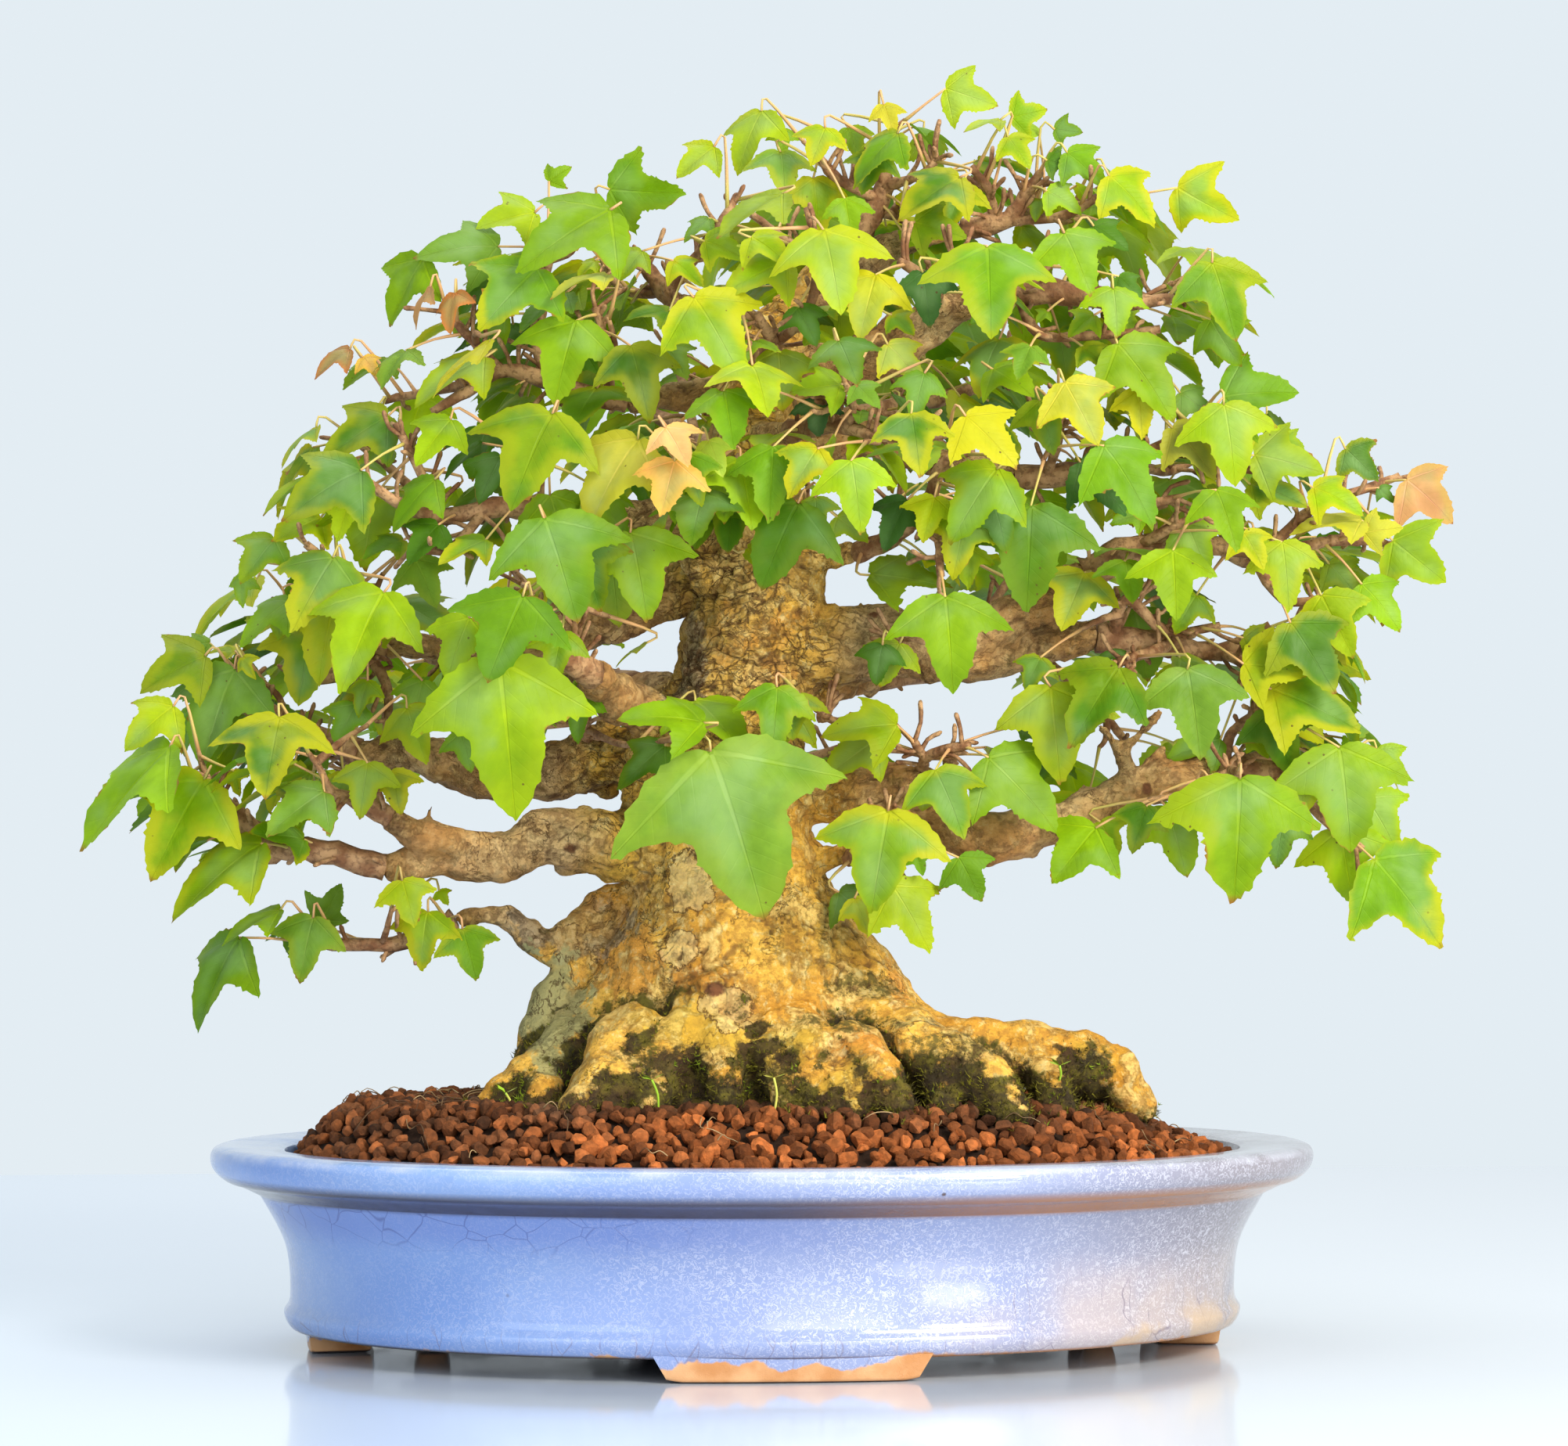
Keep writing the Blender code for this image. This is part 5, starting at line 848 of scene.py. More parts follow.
def grow_leaf(crown, name, blade, node, draw):
    """Give a blade its petiole, and a twig where the stem is far, if both run clear."""
    spray = crown.sprays[name]
    root, twig = node, None
    if (node - blade.base).length > PETIOLE_REACH:
        twig_path, twig = plan_twig(blade, node, draw)
        if not crown.is_clear(*twig, (name, "wood")) or crosses(twig, blade.probe()):
            return False
        root = twig_path[-1].lerp(twig_path[-2], 0.12)
    reach = (root - blade.base).length
    behind = -blade.axis.dot((root - blade.base).normalized())
    if behind < FURTHEST_AHEAD:
        return False
    if behind < WELL_BEHIND:
        bend = blade.base - blade.axis * STALK_BEND + blade.normal * (0.2 * STALK_BEND)
        blade.petiole = [blade.base, bend, root]
    elif blade.detail == 2:
        bend = blade.base.lerp(root, 0.45) - blade.axis * 0.18 * reach + blade.normal * 0.08 * reach
        blade.petiole = [blade.base, bend, root]
    else:
        blade.petiole = [blade.base, root]
    solid = blade.solid()
    stalk = thin_tube(blade.petiole, [PETIOLE_WIDTH * 0.8] * len(blade.petiole))
    if folds_through_itself(*solid) or not crown.is_clear(*stalk, (name, "wood")):
        return False
    if not crown.is_clear(*blade.probe(), None):
        return False
    spray["nodes"].remove(node)
    if twig:
        spray["twigs"].append(twig_path)
        spray["nodes"] += places_along(twig_path)[1:-1]
        crown.add_obstacle(*twig, name, "wood")
    spray["blades"].append(blade)
    crown.add_obstacle(*blade.probe(), name, "blade")
    crown.add_obstacle(*stalk, name, "stalk")
    return True


def listed_blade(leaf, near, twist, draw):
    """Blade of a listed leaf, with its size kept as seen when it is moved nearer or further."""
    base = seen(leaf.base_x, leaf.base_y, near)
    across = seen(leaf.tip_x, leaf.tip_y, near) - base
    lean = math.radians(leaf.lean + twist)
    axis = across.normalized() * math.cos(lean) + TOWARDS * math.sin(lean)
    length = across.length / math.cos(lean)
    facing = TOWARDS * 0.8 + UP * 0.6
    blade = Blade(base, axis, facing, length, draw)
    roll = math.radians(leaf.roll)
    turned_normal = blade.normal * math.cos(roll) + blade.side * math.sin(roll)
    return Blade(base, axis, turned_normal, length, draw)


def place_listed_leaves(crown, table):
    """Listed leaves, longest first, each moved a little nearer or further until it hangs clear."""
    order = []
    for name, leaves in table.items():
        for leaf in leaves:
            size = math.hypot(leaf.tip_x - leaf.base_x, leaf.tip_y - leaf.base_y)
            order.append((-size, name, leaf))
    order.sort()
    for _, name, leaf in order:
        draw = random.Random(f"{name} {leaf.base_x} {leaf.base_y}")
        for attempt in range(36):
            shift = (attempt + 1) // 2 * 1.7 * (1 if attempt % 2 else -1)
            twist = 0 if attempt < 6 else draw.uniform(-14, 14)
            blade = listed_blade(leaf, leaf.near + shift, twist, draw)
            if hang_leaf(crown, name, blade, draw):
                blade.leaf = leaf
                break


def within(x, y, rim):
    """True where a place lies inside a closed outline."""
    result = False
    for i in range(len(rim)):
        (x1, y1), (x2, y2) = rim[i - 1], rim[i]
        if (y1 > y) != (y2 > y) and x < (x2 - x1) * (y - y1) / (y2 - y1) + x1:
            result = not result
    return result


def may_fill(blade):
    """A leaf placed by the rule keeps inside the crown, off the clear places, behind listed ones."""
    for point in (blade.place(0, 0.5), blade.place(0, 1), blade.place(0.6, 0.4), blade.place(-0.6, 0.4)):
        column, row = view_place(point)
        if not within(column, row, CROWN_OUTLINE):
            return False
        if any(left < column < right and top < row < bottom for left, top, right, bottom in CLEARINGS):
            return False
    column, row = view_place(blade.place(0, 0.4))
    near = -blade.base.y / MM
    for leaves in LEAVES.values():
        for leaf in leaves:
            middle_x = leaf.base_x + 0.4 * (leaf.tip_x - leaf.base_x)
            middle_y = leaf.base_y + 0.4 * (leaf.tip_y - leaf.base_y)
            if math.hypot(column - middle_x, row - middle_y) < 75 and near > leaf.near - 4:
                return False
    return True


def place_filling_leaves(crown, seed, lengths, more):
    """Leaves placed by a seeded rule round each spray's stems, facing out and drooping."""
    for wood in BRANCHES:
        draw = random.Random(f"{seed} {wood.name}")
        spray = crown.sprays[wood.name]
        nodes = list(spray["nodes"])
        placed, wanted = 0, wood.fill + more
        for _ in range(wanted * 30):
            if placed == wanted:
                break
            node = draw.choice(nodes[len(nodes) // 4:])
            outward = Vector((node.x + 0.006, node.y, 0)).normalized()
            outward += Vector((draw.uniform(-0.9, 0.9), draw.uniform(-0.9, 0.9), 0))
            outward.normalize()
            rise = draw.uniform(-0.25, 0.75)
            base = node + (outward + UP * rise).normalized() * draw.uniform(0.010, 0.024)
            pitch = math.radians(draw.uniform(5, 62))
            axis = outward * math.cos(pitch) - UP * math.sin(pitch)
            facing = UP * 0.85 + outward * 0.5
            length = draw.uniform(*lengths)
            blade = Blade(base, axis, facing, length, draw)
            if may_fill(blade) and hang_leaf(crown, wood.name, blade, draw):
                placed += 1


# Finer pieces

# The photograph's size in pixels
PICTURE_WIDTH = 2004
PICTURE_HEIGHT = 1848
# Pot: sides of its ring, and the rounder plan that the photograph shows
FINE_POT_SIDES = 192
FINE_ROUNDNESS = 2.05
FOOT_STEPS = 28
NUB_SIDES = 20
# Trunk: sides of its rings, cell of its skin in metres, and knobs for each step of a limb
FINE_TRUNK_SIDES = 96
BARK_VOXEL = 0.00147
KNOBS = 4
# Soil, in metres: the edge's inset from the lip, and the grains' spacing, radii and flat cuts
SOIL_INSET = 0.0246
SOIL_STEPS = 60
GRAIN_SPACING = 0.0046
GRAIN_ROW = 0.87
GRAIN_RADIUS = (0.0016, 0.0030)
GRAIN_CUTS = 9
# Moss and litter: how many tufts are tried on bark and on soil, half a blade's width, and rootlets
BARK_TUFTS = 15000
SOIL_TUFTS = 3500
MOSS_HALF = 0.00022
ROOTLETS = 80
# Leaves: fine shapes, their inner grid in shares of the length, the rim's last point before the
# lobe's tip, pixels of a cell for the cover test, lengths of the small ones and spurs for each stem
LEAF_SHAPES = 6
LEAF_GRID = 0.075
LEAF_LOW = 6
COVER_CELL = 22
SMALL_FILL_LENGTH = (0.015, 0.026)
SPURS = 8
# Direction of the ray that tells the inside of a closed skin
RAY = Vector((0.02, -1.0, 0.05)).normalized()
# Floor: half its width, and its back edge, metres
FLOOR_HALF = 1.6
FLOOR_BACK = 0.78
# Studio: the wall's colour, and how strong it is as light and as it is seen
WALL = (0.82, 0.90, 0.955, 1)
WORLD_LIGHT = 0.66
WALL_SEEN = 0.94

# Half of a fine blade's outline, base to tip, in shares of its length. The side lobe's tip is sharp
LEAF_HALF = [
    (0.0, 0.0), (0.10, -0.035), (0.24, -0.02), (0.38, 0.05), (0.50, 0.145), (0.60, 0.25), (0.70, 0.385),
    (0.60, 0.39), (0.49, 0.40), (0.38, 0.42), (0.29, 0.46), (0.27, 0.54), (0.255, 0.62), (0.22, 0.72),
    (0.16, 0.83), (0.08, 0.925), (0.0, 1.0),
]
# Finer roots, in the form of the surface roots
FINE_ROOTS = [
    ([(930, 1315, 40), (928, 1360, 50), (932, 1420, 58)], (9, 7, 4)),
    ([(980, 1330, 44), (1000, 1375, 52), (1008, 1425, 60)], (7, 5.5, 4)),
    ([(1080, 1335, 40), (1120, 1378, 56), (1150, 1425, 64)], (9, 8, 5)),
    ([(1060, 1350, 46), (1075, 1392, 60), (1100, 1430, 68)], (6, 5.5, 4)),
    ([(700, 1370, 20), (690, 1400, 36), (684, 1432, 46)], (8, 7, 5)),
    ([(850, 1345, 38), (838, 1392, 52), (826, 1430, 60)], (8, 6, 4)),
    ([(1180, 1350, 28), (1200, 1392, 48), (1215, 1428, 58)], (7, 6, 4)),
    ([(1330, 1362, 14), (1345, 1400, 28), (1352, 1425, 34)], (7, 6, 5)),
    ([(790, 1180, 2), (740, 1242, 3), (706, 1298, 5), (690, 1352, 7), (684, 1390, 9)], (4, 6, 8, 9, 8)),
    ([(905, 1300, 34), (850, 1352, 44), (790, 1396, 54), (745, 1432, 58)], (9, 8, 7, 5)),
]

# Leaf colours, and how often each comes
LEAF_TINTS = [
    ((0.205, 0.385, 0.004), 6), ((0.135, 0.305, 0.005), 6), ((0.265, 0.440, 0.004), 5),
    ((0.150, 0.300, 0.022), 4), ((0.340, 0.480, 0.004), 1), ((0.070, 0.190, 0.005), 6),
    ((0.300, 0.440, 0.006), 2),
]
# Listed leaves of another colour, by the column and row of their base, with how far the margin yellows
ODD_TINTS = {
    (625, 435): ((0.55, 0.50, 0.02), 1.0), (775, 348): ((0.50, 0.52, 0.03), 1.0),
    (1135, 438): ((0.45, 0.52, 0.04), 1.0), (1235, 530): ((0.48, 0.50, 0.02), 1.0),
    (1045, 572): ((0.34, 0.50, 0.03), 1.0), (1130, 128): ((0.50, 0.48, 0.03), 0.6),
    (1120, 348): ((0.42, 0.48, 0.03), 1.0), (1362, 487): ((0.45, 0.46, 0.03), 1.0),
    (1456, 496): ((0.42, 0.48, 0.03), 1.0), (1742, 664): ((0.46, 0.48, 0.04), 0.6),
    (1746, 680): ((0.46, 0.48, 0.04), 0.6), (862, 588): ((0.80, 0.45, 0.10), 0.2),
    (815, 560): ((0.55, 0.55, 0.08), 0.7), (905, 562): ((0.42, 0.60, 0.06), 0.3),
    (850, 545): ((0.80, 0.45, 0.18), 0.2), (1800, 612): ((0.55, 0.28, 0.12), 0.2),
    (445, 445): ((0.42, 0.14, 0.06), 0.1), (462, 455): ((0.60, 0.30, 0.06), 0.3),
    (580, 372): ((0.62, 0.22, 0.05), 0.0), (548, 365): ((0.55, 0.30, 0.12), 0.0),
    (1005, 206): ((0.30, 0.12, 0.05), 0.0), (1045, 508): ((0.035, 0.10, 0.025), 0.0),
    (1160, 638): ((0.045, 0.13, 0.02), 0.0), (1180, 345): ((0.045, 0.14, 0.022), 0.0),
    (1382, 590): ((0.05, 0.15, 0.02), 0.0), (1500, 545): ((0.20, 0.22, 0.03), 0.4),
}
# Places on the bark: column, row, half width and half height
ORANGE_PATCHES = [(1095, 1332, 42, 20), (801, 1240, 46, 38), (985, 855, 34, 24), (1150, 1240, 14, 60),
                  (885, 1248, 30, 16)]
DARK_KNOTS = [(914, 1263, 12, 10), (726, 1084, 8, 8), (1478, 1005, 8, 8), (1120, 775, 9, 8)]
OLIVE_PATCHES = [(1108, 1262, 46, 16), (1085, 1302, 64, 13), (1215, 1335, 60, 16)]
GREY_PATCHES = [(868, 845, 30, 80), (722, 1182, 80, 44)]
LICHEN_PATCH = (690, 1290, 60, 75)
# Lights: place and size in metres, power in watts and colour
LIGHTS = [
    ("key", (0.80, -1.20, 1.05), 0.6, 29, (1.0, 0.93, 0.80)),
    ("window", (0.77, -1.2, 0.34), 0.3, 7, (1, 1, 1)),
    ("fill", (-0.9, -1.3, 0.5), 0.9, 6, (0.92, 0.96, 1.0)),
    ("top", (-0.2, 0.3, 1.7), 1.2, 16, (1.0, 0.98, 0.92)),
    ("low", (0.25, -1.35, 0.20), 0.5, 4.0, (1.0, 0.90, 0.74)),
]
# Where the photograph shows bare wood, kept free of the small leaves: left, top, right, bottom
BARE_PLACES = [
    (868, 722, 1115, 905), (790, 1050, 1130, 1400), (400, 1062, 780, 1125), (1080, 775, 1200, 860),
    (1235, 1010, 1300, 1110), (1390, 905, 1480, 1000), (1240, 240, 1330, 300), (430, 950, 780, 1000),
]
# Seedlings: column and row of the foot, nearness and height, metres
SEEDLINGS = [
    (842, 1398, 66, 0.009), (990, 1404, 70, 0.010), (1350, 1385, 30, 0.006), (655, 1420, 46, 0.006),
]
# Raised plates and scars with a crack round them: column, row, half width and half height
PLATES = [(933, 1287, 34, 28), (869, 1212, 24, 24), (881, 1126, 29, 43)]
# Limbs that the photograph shows slimmer at the trunk than the solids, and by how much
SLIM_LIMBS = {"left_low": 0.72}

SHIFT = sum(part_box("pot"), Vector()) / 2
SHIFT.z = 0
TO_PART = Matrix.Translation(SHIFT) @ Matrix.Rotation(-POT_TURN, 4, "Z")
TO_VIEW = TO_PART.inverted()


def smooth_line(points, steps):
    """Catmull-Rom curve through numbers or points, with steps places for each stretch."""
    result = []
    last = len(points) - 1
    for i in range(last):
        a, b, c, d = points[max(i - 1, 0)], points[i], points[i + 1], points[min(i + 2, last)]
        for s in range(steps):
            t = s / steps
            bent = (a * 2 - b * 5 + c * 4 - d) * (t * t) + (b * 3 - a - c * 3 + d) * (t * t * t)
            result.append((b * 2 + (c - a) * t + bent) * 0.5)
    result.append(points[-1])
    return result


def fine_tube(points, radii, sides, steps, rough=0.08):
    """Smooth closed tube with a lumpy skin."""
    path, tangents = curve(smooth_line([Vector(p) for p in points], steps))
    widths = smooth_line(list(radii), steps)
    side = tangents[0].cross(Vector((0.3, 0.9, 0.2))).normalized()
    rings = []
    for place, tangent, width in zip(path, tangents, widths):
        side = (side - tangent * side.dot(tangent)).normalized()
        up = tangent.cross(side)
        ring = []
        for i in range(sides):
            angle = math.tau * i / sides
            out = side * math.cos(angle) + up * math.sin(angle)
            lump = noise.noise((place + out * width) * (0.9 / max(width, 0.001)))
            ring.append(place + out * (width * (1 + rough * lump)))
        rings.append(ring)
    return loft(rings)


class Mesh:
    """Vertices and faces gathered for one piece, with a material number for each face."""

    def __init__(self):
        self.vertices, self.faces, self.kinds = [], [], []

    def add(self, vertices, faces, kind=0):
        start = len(self.vertices)
        self.vertices += [tuple(v) for v in vertices]
        self.faces += [tuple(start + i for i in face) for face in faces]
        self.kinds += [kind] * len(faces)
        return start

    def build(self, name, materials, slot, replaces=(), smooth=True):
        mesh = bpy.data.meshes.new(name)
        mesh.from_pydata(self.vertices, [], self.faces)
        mesh.transform(TO_PART)
        for material in materials:
            mesh.materials.append(material)
        mesh.polygons.foreach_set("material_index", self.kinds)
        if smooth:
            mesh.shade_smooth()
        return show(name, mesh, replaces)


def show(name, mesh, replaces=()):
    """Object of a mesh, on the part's one body."""
    piece = bpy.data.objects.new(name, mesh)
    bpy.context.scene.collection.objects.link(piece)
    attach(piece, "root")
    if replaces:
        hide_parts(*replaces)
    return piece


# Materials


class Paint:
    """Nodes of one material, put together from short calls."""

    def __init__(self, name, roughness, specular=0.5):
        self.material = bpy.data.materials.new(name)
        self.material.use_nodes = True
        self.tree = self.material.node_tree
        self.shader = self.tree.nodes["Principled BSDF"]
        self.shader.inputs["Roughness"].default_value = roughness
        self.shader.inputs["Specular IOR Level"].default_value = specular
        self.place = self.node("ShaderNodeTexCoord", {}).outputs["Object"]

    def node(self, kind, inputs, **settings):
        node = self.tree.nodes.new(kind)
        for key, value in settings.items():
            setattr(node, key, value)
        for key, value in inputs.items():
            socket = node.inputs[key]
            if isinstance(value, bpy.types.NodeSocket):
                self.tree.links.new(value, socket)
            elif isinstance(value, tuple) and len(value) == 3 and len(socket.default_value) == 4:
                socket.default_value = (*value, 1)
            else:
                socket.default_value = value
        return node

    def math(self, operation, a, b=0.0, c=0.0, clamp=False):
        node = self.node("ShaderNodeMath", {0: a, 1: b, 2: c}, operation=operation, use_clamp=clamp)
        return node.outputs[0]

    def times(self, a, b):
        return self.math("MULTIPLY", a, b)

    def off(self, value, middle=0.5):
        """How far a value is from the middle, either way."""
        return self.math("ABSOLUTE", self.math("SUBTRACT", value, middle))

    def over(self, colour, top, share, amount):
        """A colour laid over another by a share and an amount."""
        return self.mix(self.times(share, amount), colour, top)

    def step(self, value, low, high, start=0.0, end=1.0):
        """Smooth rise of a value from low to high."""
        sockets = {"Value": value, "From Min": low, "From Max": high, "To Min": start, "To Max": end}
        return self.node("ShaderNodeMapRange", sockets, interpolation_type="SMOOTHSTEP").outputs[0]

    def noise(self, scale, detail=3.0, place=None, rough=0.5, warp=0.0):
        sockets = {"Vector": place or self.place, "Scale": scale, "Detail": detail, "Roughness": rough,
                   "Distortion": warp}
        return self.node("ShaderNodeTexNoise", sockets).outputs["Fac"]

    def cells(self, scale, place=None, feature="F1", output="Distance"):
        sockets = {"Vector": place or self.place, "Scale": scale}
        return self.node("ShaderNodeTexVoronoi", sockets, feature=feature).outputs[output]

    def stretched(self, x, y, z, warp=0.0, warp_scale=1.0):
        """The object's own coordinates, scaled along each axis and bent by noise."""
        place = self.place
        if warp:
            sockets = {"Vector": place, "Scale": warp_scale, "Detail": 2.0}
            bend = self.node("ShaderNodeTexNoise", sockets).outputs["Color"]
            bend = self.node("ShaderNodeVectorMath", {0: bend, 1: (0.5, 0.5, 0.5)}, operation="SUBTRACT")
            bend = self.node("ShaderNodeVectorMath", {0: bend.outputs[0], "Scale": warp}, operation="SCALE")
            place = self.node("ShaderNodeVectorMath", {0: place, 1: bend.outputs[0]}).outputs[0]
        scaled = self.node("ShaderNodeVectorMath", {0: place, 1: (x, y, z)}, operation="MULTIPLY")
        return scaled.outputs[0]

    def axes(self):
        """Place along each of the object's own axes."""
        return self.node("ShaderNodeSeparateXYZ", {0: self.place}).outputs

    def facing_down(self):
        """1 where the surface faces the table."""
        normal = self.node("ShaderNodeNewGeometry", {}).outputs["Normal"]
        return self.step(self.node("ShaderNodeSeparateXYZ", {0: normal}).outputs[2], -0.6, -0.9)

    def away(self, column, row, wide, tall, ragged):
        """How far out a place is from the middle of an ellipse seen on the front of the tree."""
        middle = seen(column, row, 40)
        x, y, z = self.node("ShaderNodeSeparateXYZ", {0: self.upright()}).outputs
        across = self.math("DIVIDE", self.math("SUBTRACT", x, middle.x), wide * PIXEL)
        up = self.math("DIVIDE", self.math("SUBTRACT", z, middle.z), tall * PIXEL)
        away = self.math("ADD", self.times(across, across), self.times(up, up))
        edge = self.step(self.noise(130.0, 6.0, rough=0.65), 0.3, 0.7, -ragged, ragged)
        return self.math("ADD", away, edge), y

    def patch(self, column, row, wide, tall):
        """1 within an ellipse with a ragged edge."""
        away, y = self.away(column, row, wide, tall, 0.7)
        return self.times(self.step(away, 1.15, 0.75), self.step(y, 0.0, -0.01))

    def mask(self, column, row, wide, tall):
        """How far out of an ellipse with a ragged edge a place is, with all the back far out."""
        away, y = self.away(column, row, wide, tall, 0.6)
        return self.math("ADD", away, self.step(y, -0.01, 0.0, 0.0, 9.0))

    def upright(self):
        """Place in the front view's axes."""
        moved = self.node("ShaderNodeVectorMath", {0: self.place, 1: tuple(-SHIFT)}, operation="ADD")
        turn = {"Vector": moved.outputs[0], "Angle": POT_TURN}
        return self.node("ShaderNodeVectorRotate", turn).outputs[0]

    def attribute(self, name, output="Fac"):
        return self.node("ShaderNodeAttribute", {}, attribute_name=name).outputs[output]

    def mix(self, share, a, b, way="MIX"):
        node = self.tree.nodes.new("ShaderNodeMix")
        node.data_type = "RGBA"
        node.blend_type = way
        for socket, value in ((node.inputs[0], share), (node.inputs[6], a), (node.inputs[7], b)):
            if isinstance(value, bpy.types.NodeSocket):
                self.tree.links.new(value, socket)
            elif isinstance(value, tuple):
                socket.default_value = (*value, 1)
            else:
                socket.default_value = value
        return node.outputs[2]

    def colour(self, socket):
        self.tree.links.new(socket, self.shader.inputs["Base Color"])
        return self.material

    def roughness(self, socket):
        self.tree.links.new(socket, self.shader.inputs["Roughness"])

    def bump(self, *layers):
        """Bump from pairs of a height between 0 and 1 and how deep it is in metres."""
        normal = None
        for height, depth in layers:
            sockets = {"Height": height, "Distance": depth, "Strength": 1.0}
            if normal:
                sockets["Normal"] = normal
            normal = self.node("ShaderNodeBump", sockets).outputs[0]
        self.tree.links.new(normal, self.shader.inputs["Normal"])


def glaze_paint():
    """Periwinkle glaze with pale speckle, crackle, a worn foot with bare clay, and painted light and shade.
    """
    paint = Paint("glaze_fine", 0.16)
    x, _, z = paint.axes()
    cloud = paint.noise(13.0, 5.0)
    colour = paint.mix(paint.step(cloud, 0.36, 0.66), (0.146, 0.262, 0.585), (0.214, 0.337, 0.625))
    # Painted light and shade: the glaze is bluest on the shaded left and shifts greyer across to the lit
    # right, set to give the side lighting
    colour = paint.mix(paint.step(x, -0.12, 0.01, 0.0, 0.70), colour, (0.280, 0.310, 0.480))
    colour = paint.mix(paint.step(x, 0.03, 0.15, 0.0, 0.85), colour, (0.225, 0.195, 0.195))
    worms = paint.noise(560.0, 2.0, warp=1.1)
    worms = paint.off(worms)
    patches = paint.step(paint.noise(22.0, 4.0), 0.35, 0.65, 0.40, 1.0)
    patches = paint.times(patches, paint.step(x, -0.16, 0.02, 0.35, 1.0))
    worms = paint.times(paint.step(worms, 0.055, 0.01), patches)
    colour = paint.over(colour, (0.60, 0.62, 0.74), worms, 0.62)
    under_lip = paint.times(paint.step(z, 0.034, 0.044), paint.step(z, 0.054, 0.050))
    # Painted shade under the lip's overhang: a darker blue band on the left side
    painted_lip_shade = paint.times(under_lip, paint.step(x, 0.09, -0.10))
    colour = paint.over(colour, (0.105, 0.175, 0.490), painted_lip_shade, 0.62)
    cracks = paint.cells(1.0, paint.stretched(80, 80, 110, 0.012, 40.0), "DISTANCE_TO_EDGE")
    left = paint.times(under_lip, paint.step(x, 0.0, -0.09))
    hair = paint.times(paint.step(cracks, 0.024, 0.0), left)
    colour = paint.over(colour, (0.06, 0.09, 0.28), hair, 0.70)
    upright = paint.cells(1.0, paint.stretched(120, 120, 20, 0.004, 70.0), "DISTANCE_TO_EDGE")
    low_right = paint.times(paint.step(x, 0.02, 0.08), paint.step(z, 0.040, 0.020))
    low = paint.math("MAXIMUM", low_right, paint.times(paint.step(z, 0.016, 0.010), 0.8))
    # Painted highlight: pale pinkish patches low on the right of the body
    painted_highlight = paint.times(low_right, paint.step(paint.noise(26.0, 4.0), 0.36, 0.62))
    colour = paint.over(colour, (0.50, 0.40, 0.34), painted_highlight, 0.50)
    hair = paint.times(paint.step(upright, 0.020, 0.0), low)
    hair = paint.times(hair, paint.step(paint.noise(55.0), 0.40, 0.52))
    colour = paint.over(colour, (0.14, 0.11, 0.17), hair, 0.65)
    pits = paint.step(paint.cells(46.0), 0.050, 0.030)
    pits = paint.times(pits, paint.step(paint.noise(9.0, 1.0), 0.46, 0.54))
    colour = paint.over(colour, (0.07, 0.035, 0.025), pits, 0.9)
    # Painted highlight: a paler, patchy band along the top of the lip
    rim = paint.step(paint.noise(50.0, 4.0), 0.38, 0.62)
    rim = paint.times(paint.step(z, 0.0605, 0.0625), rim)
    colour = paint.over(colour, (0.52, 0.55, 0.66), rim, 0.45)
    worn = paint.math("ADD", paint.noise(40.0, 5.0), paint.step(x, 0.06, 0.16, 0.0, 0.20))
    worn = paint.times(paint.step(worn, 0.60, 0.70), paint.step(z, 0.021, 0.011))
    colour = paint.over(colour, (0.48, 0.35, 0.22), worn, 0.80)
    wear = paint.times(paint.noise(30.0, 5.0, rough=0.6), 0.022)
    bare = paint.step(paint.math("ADD", z, wear), 0.0176, 0.0166)
    clay = paint.mix(paint.step(paint.noise(80.0, 5.0), 0.35, 0.65), (0.50, 0.22, 0.070), (0.64, 0.36, 0.17))
    colour = paint.mix(bare, colour, clay)
    # Painted shade and light underneath: near black to the left, orange to the right where light reaches
    # under the pot
    under = paint.mix(paint.step(x, -0.02, 0.08), (0.030, 0.014, 0.012), (0.34, 0.13, 0.030))
    colour = paint.mix(paint.facing_down(), colour, under)
    paint.roughness(paint.step(bare, 0.0, 1.0, 0.15, 0.75))
    paint.shader.inputs["Coat Weight"].default_value = 0.3
    paint.shader.inputs["Coat Roughness"].default_value = 0.08
    paint.bump((paint.noise(60.0, 2.0), 0.0007), (worms, 0.00005))
    return paint.colour(colour)


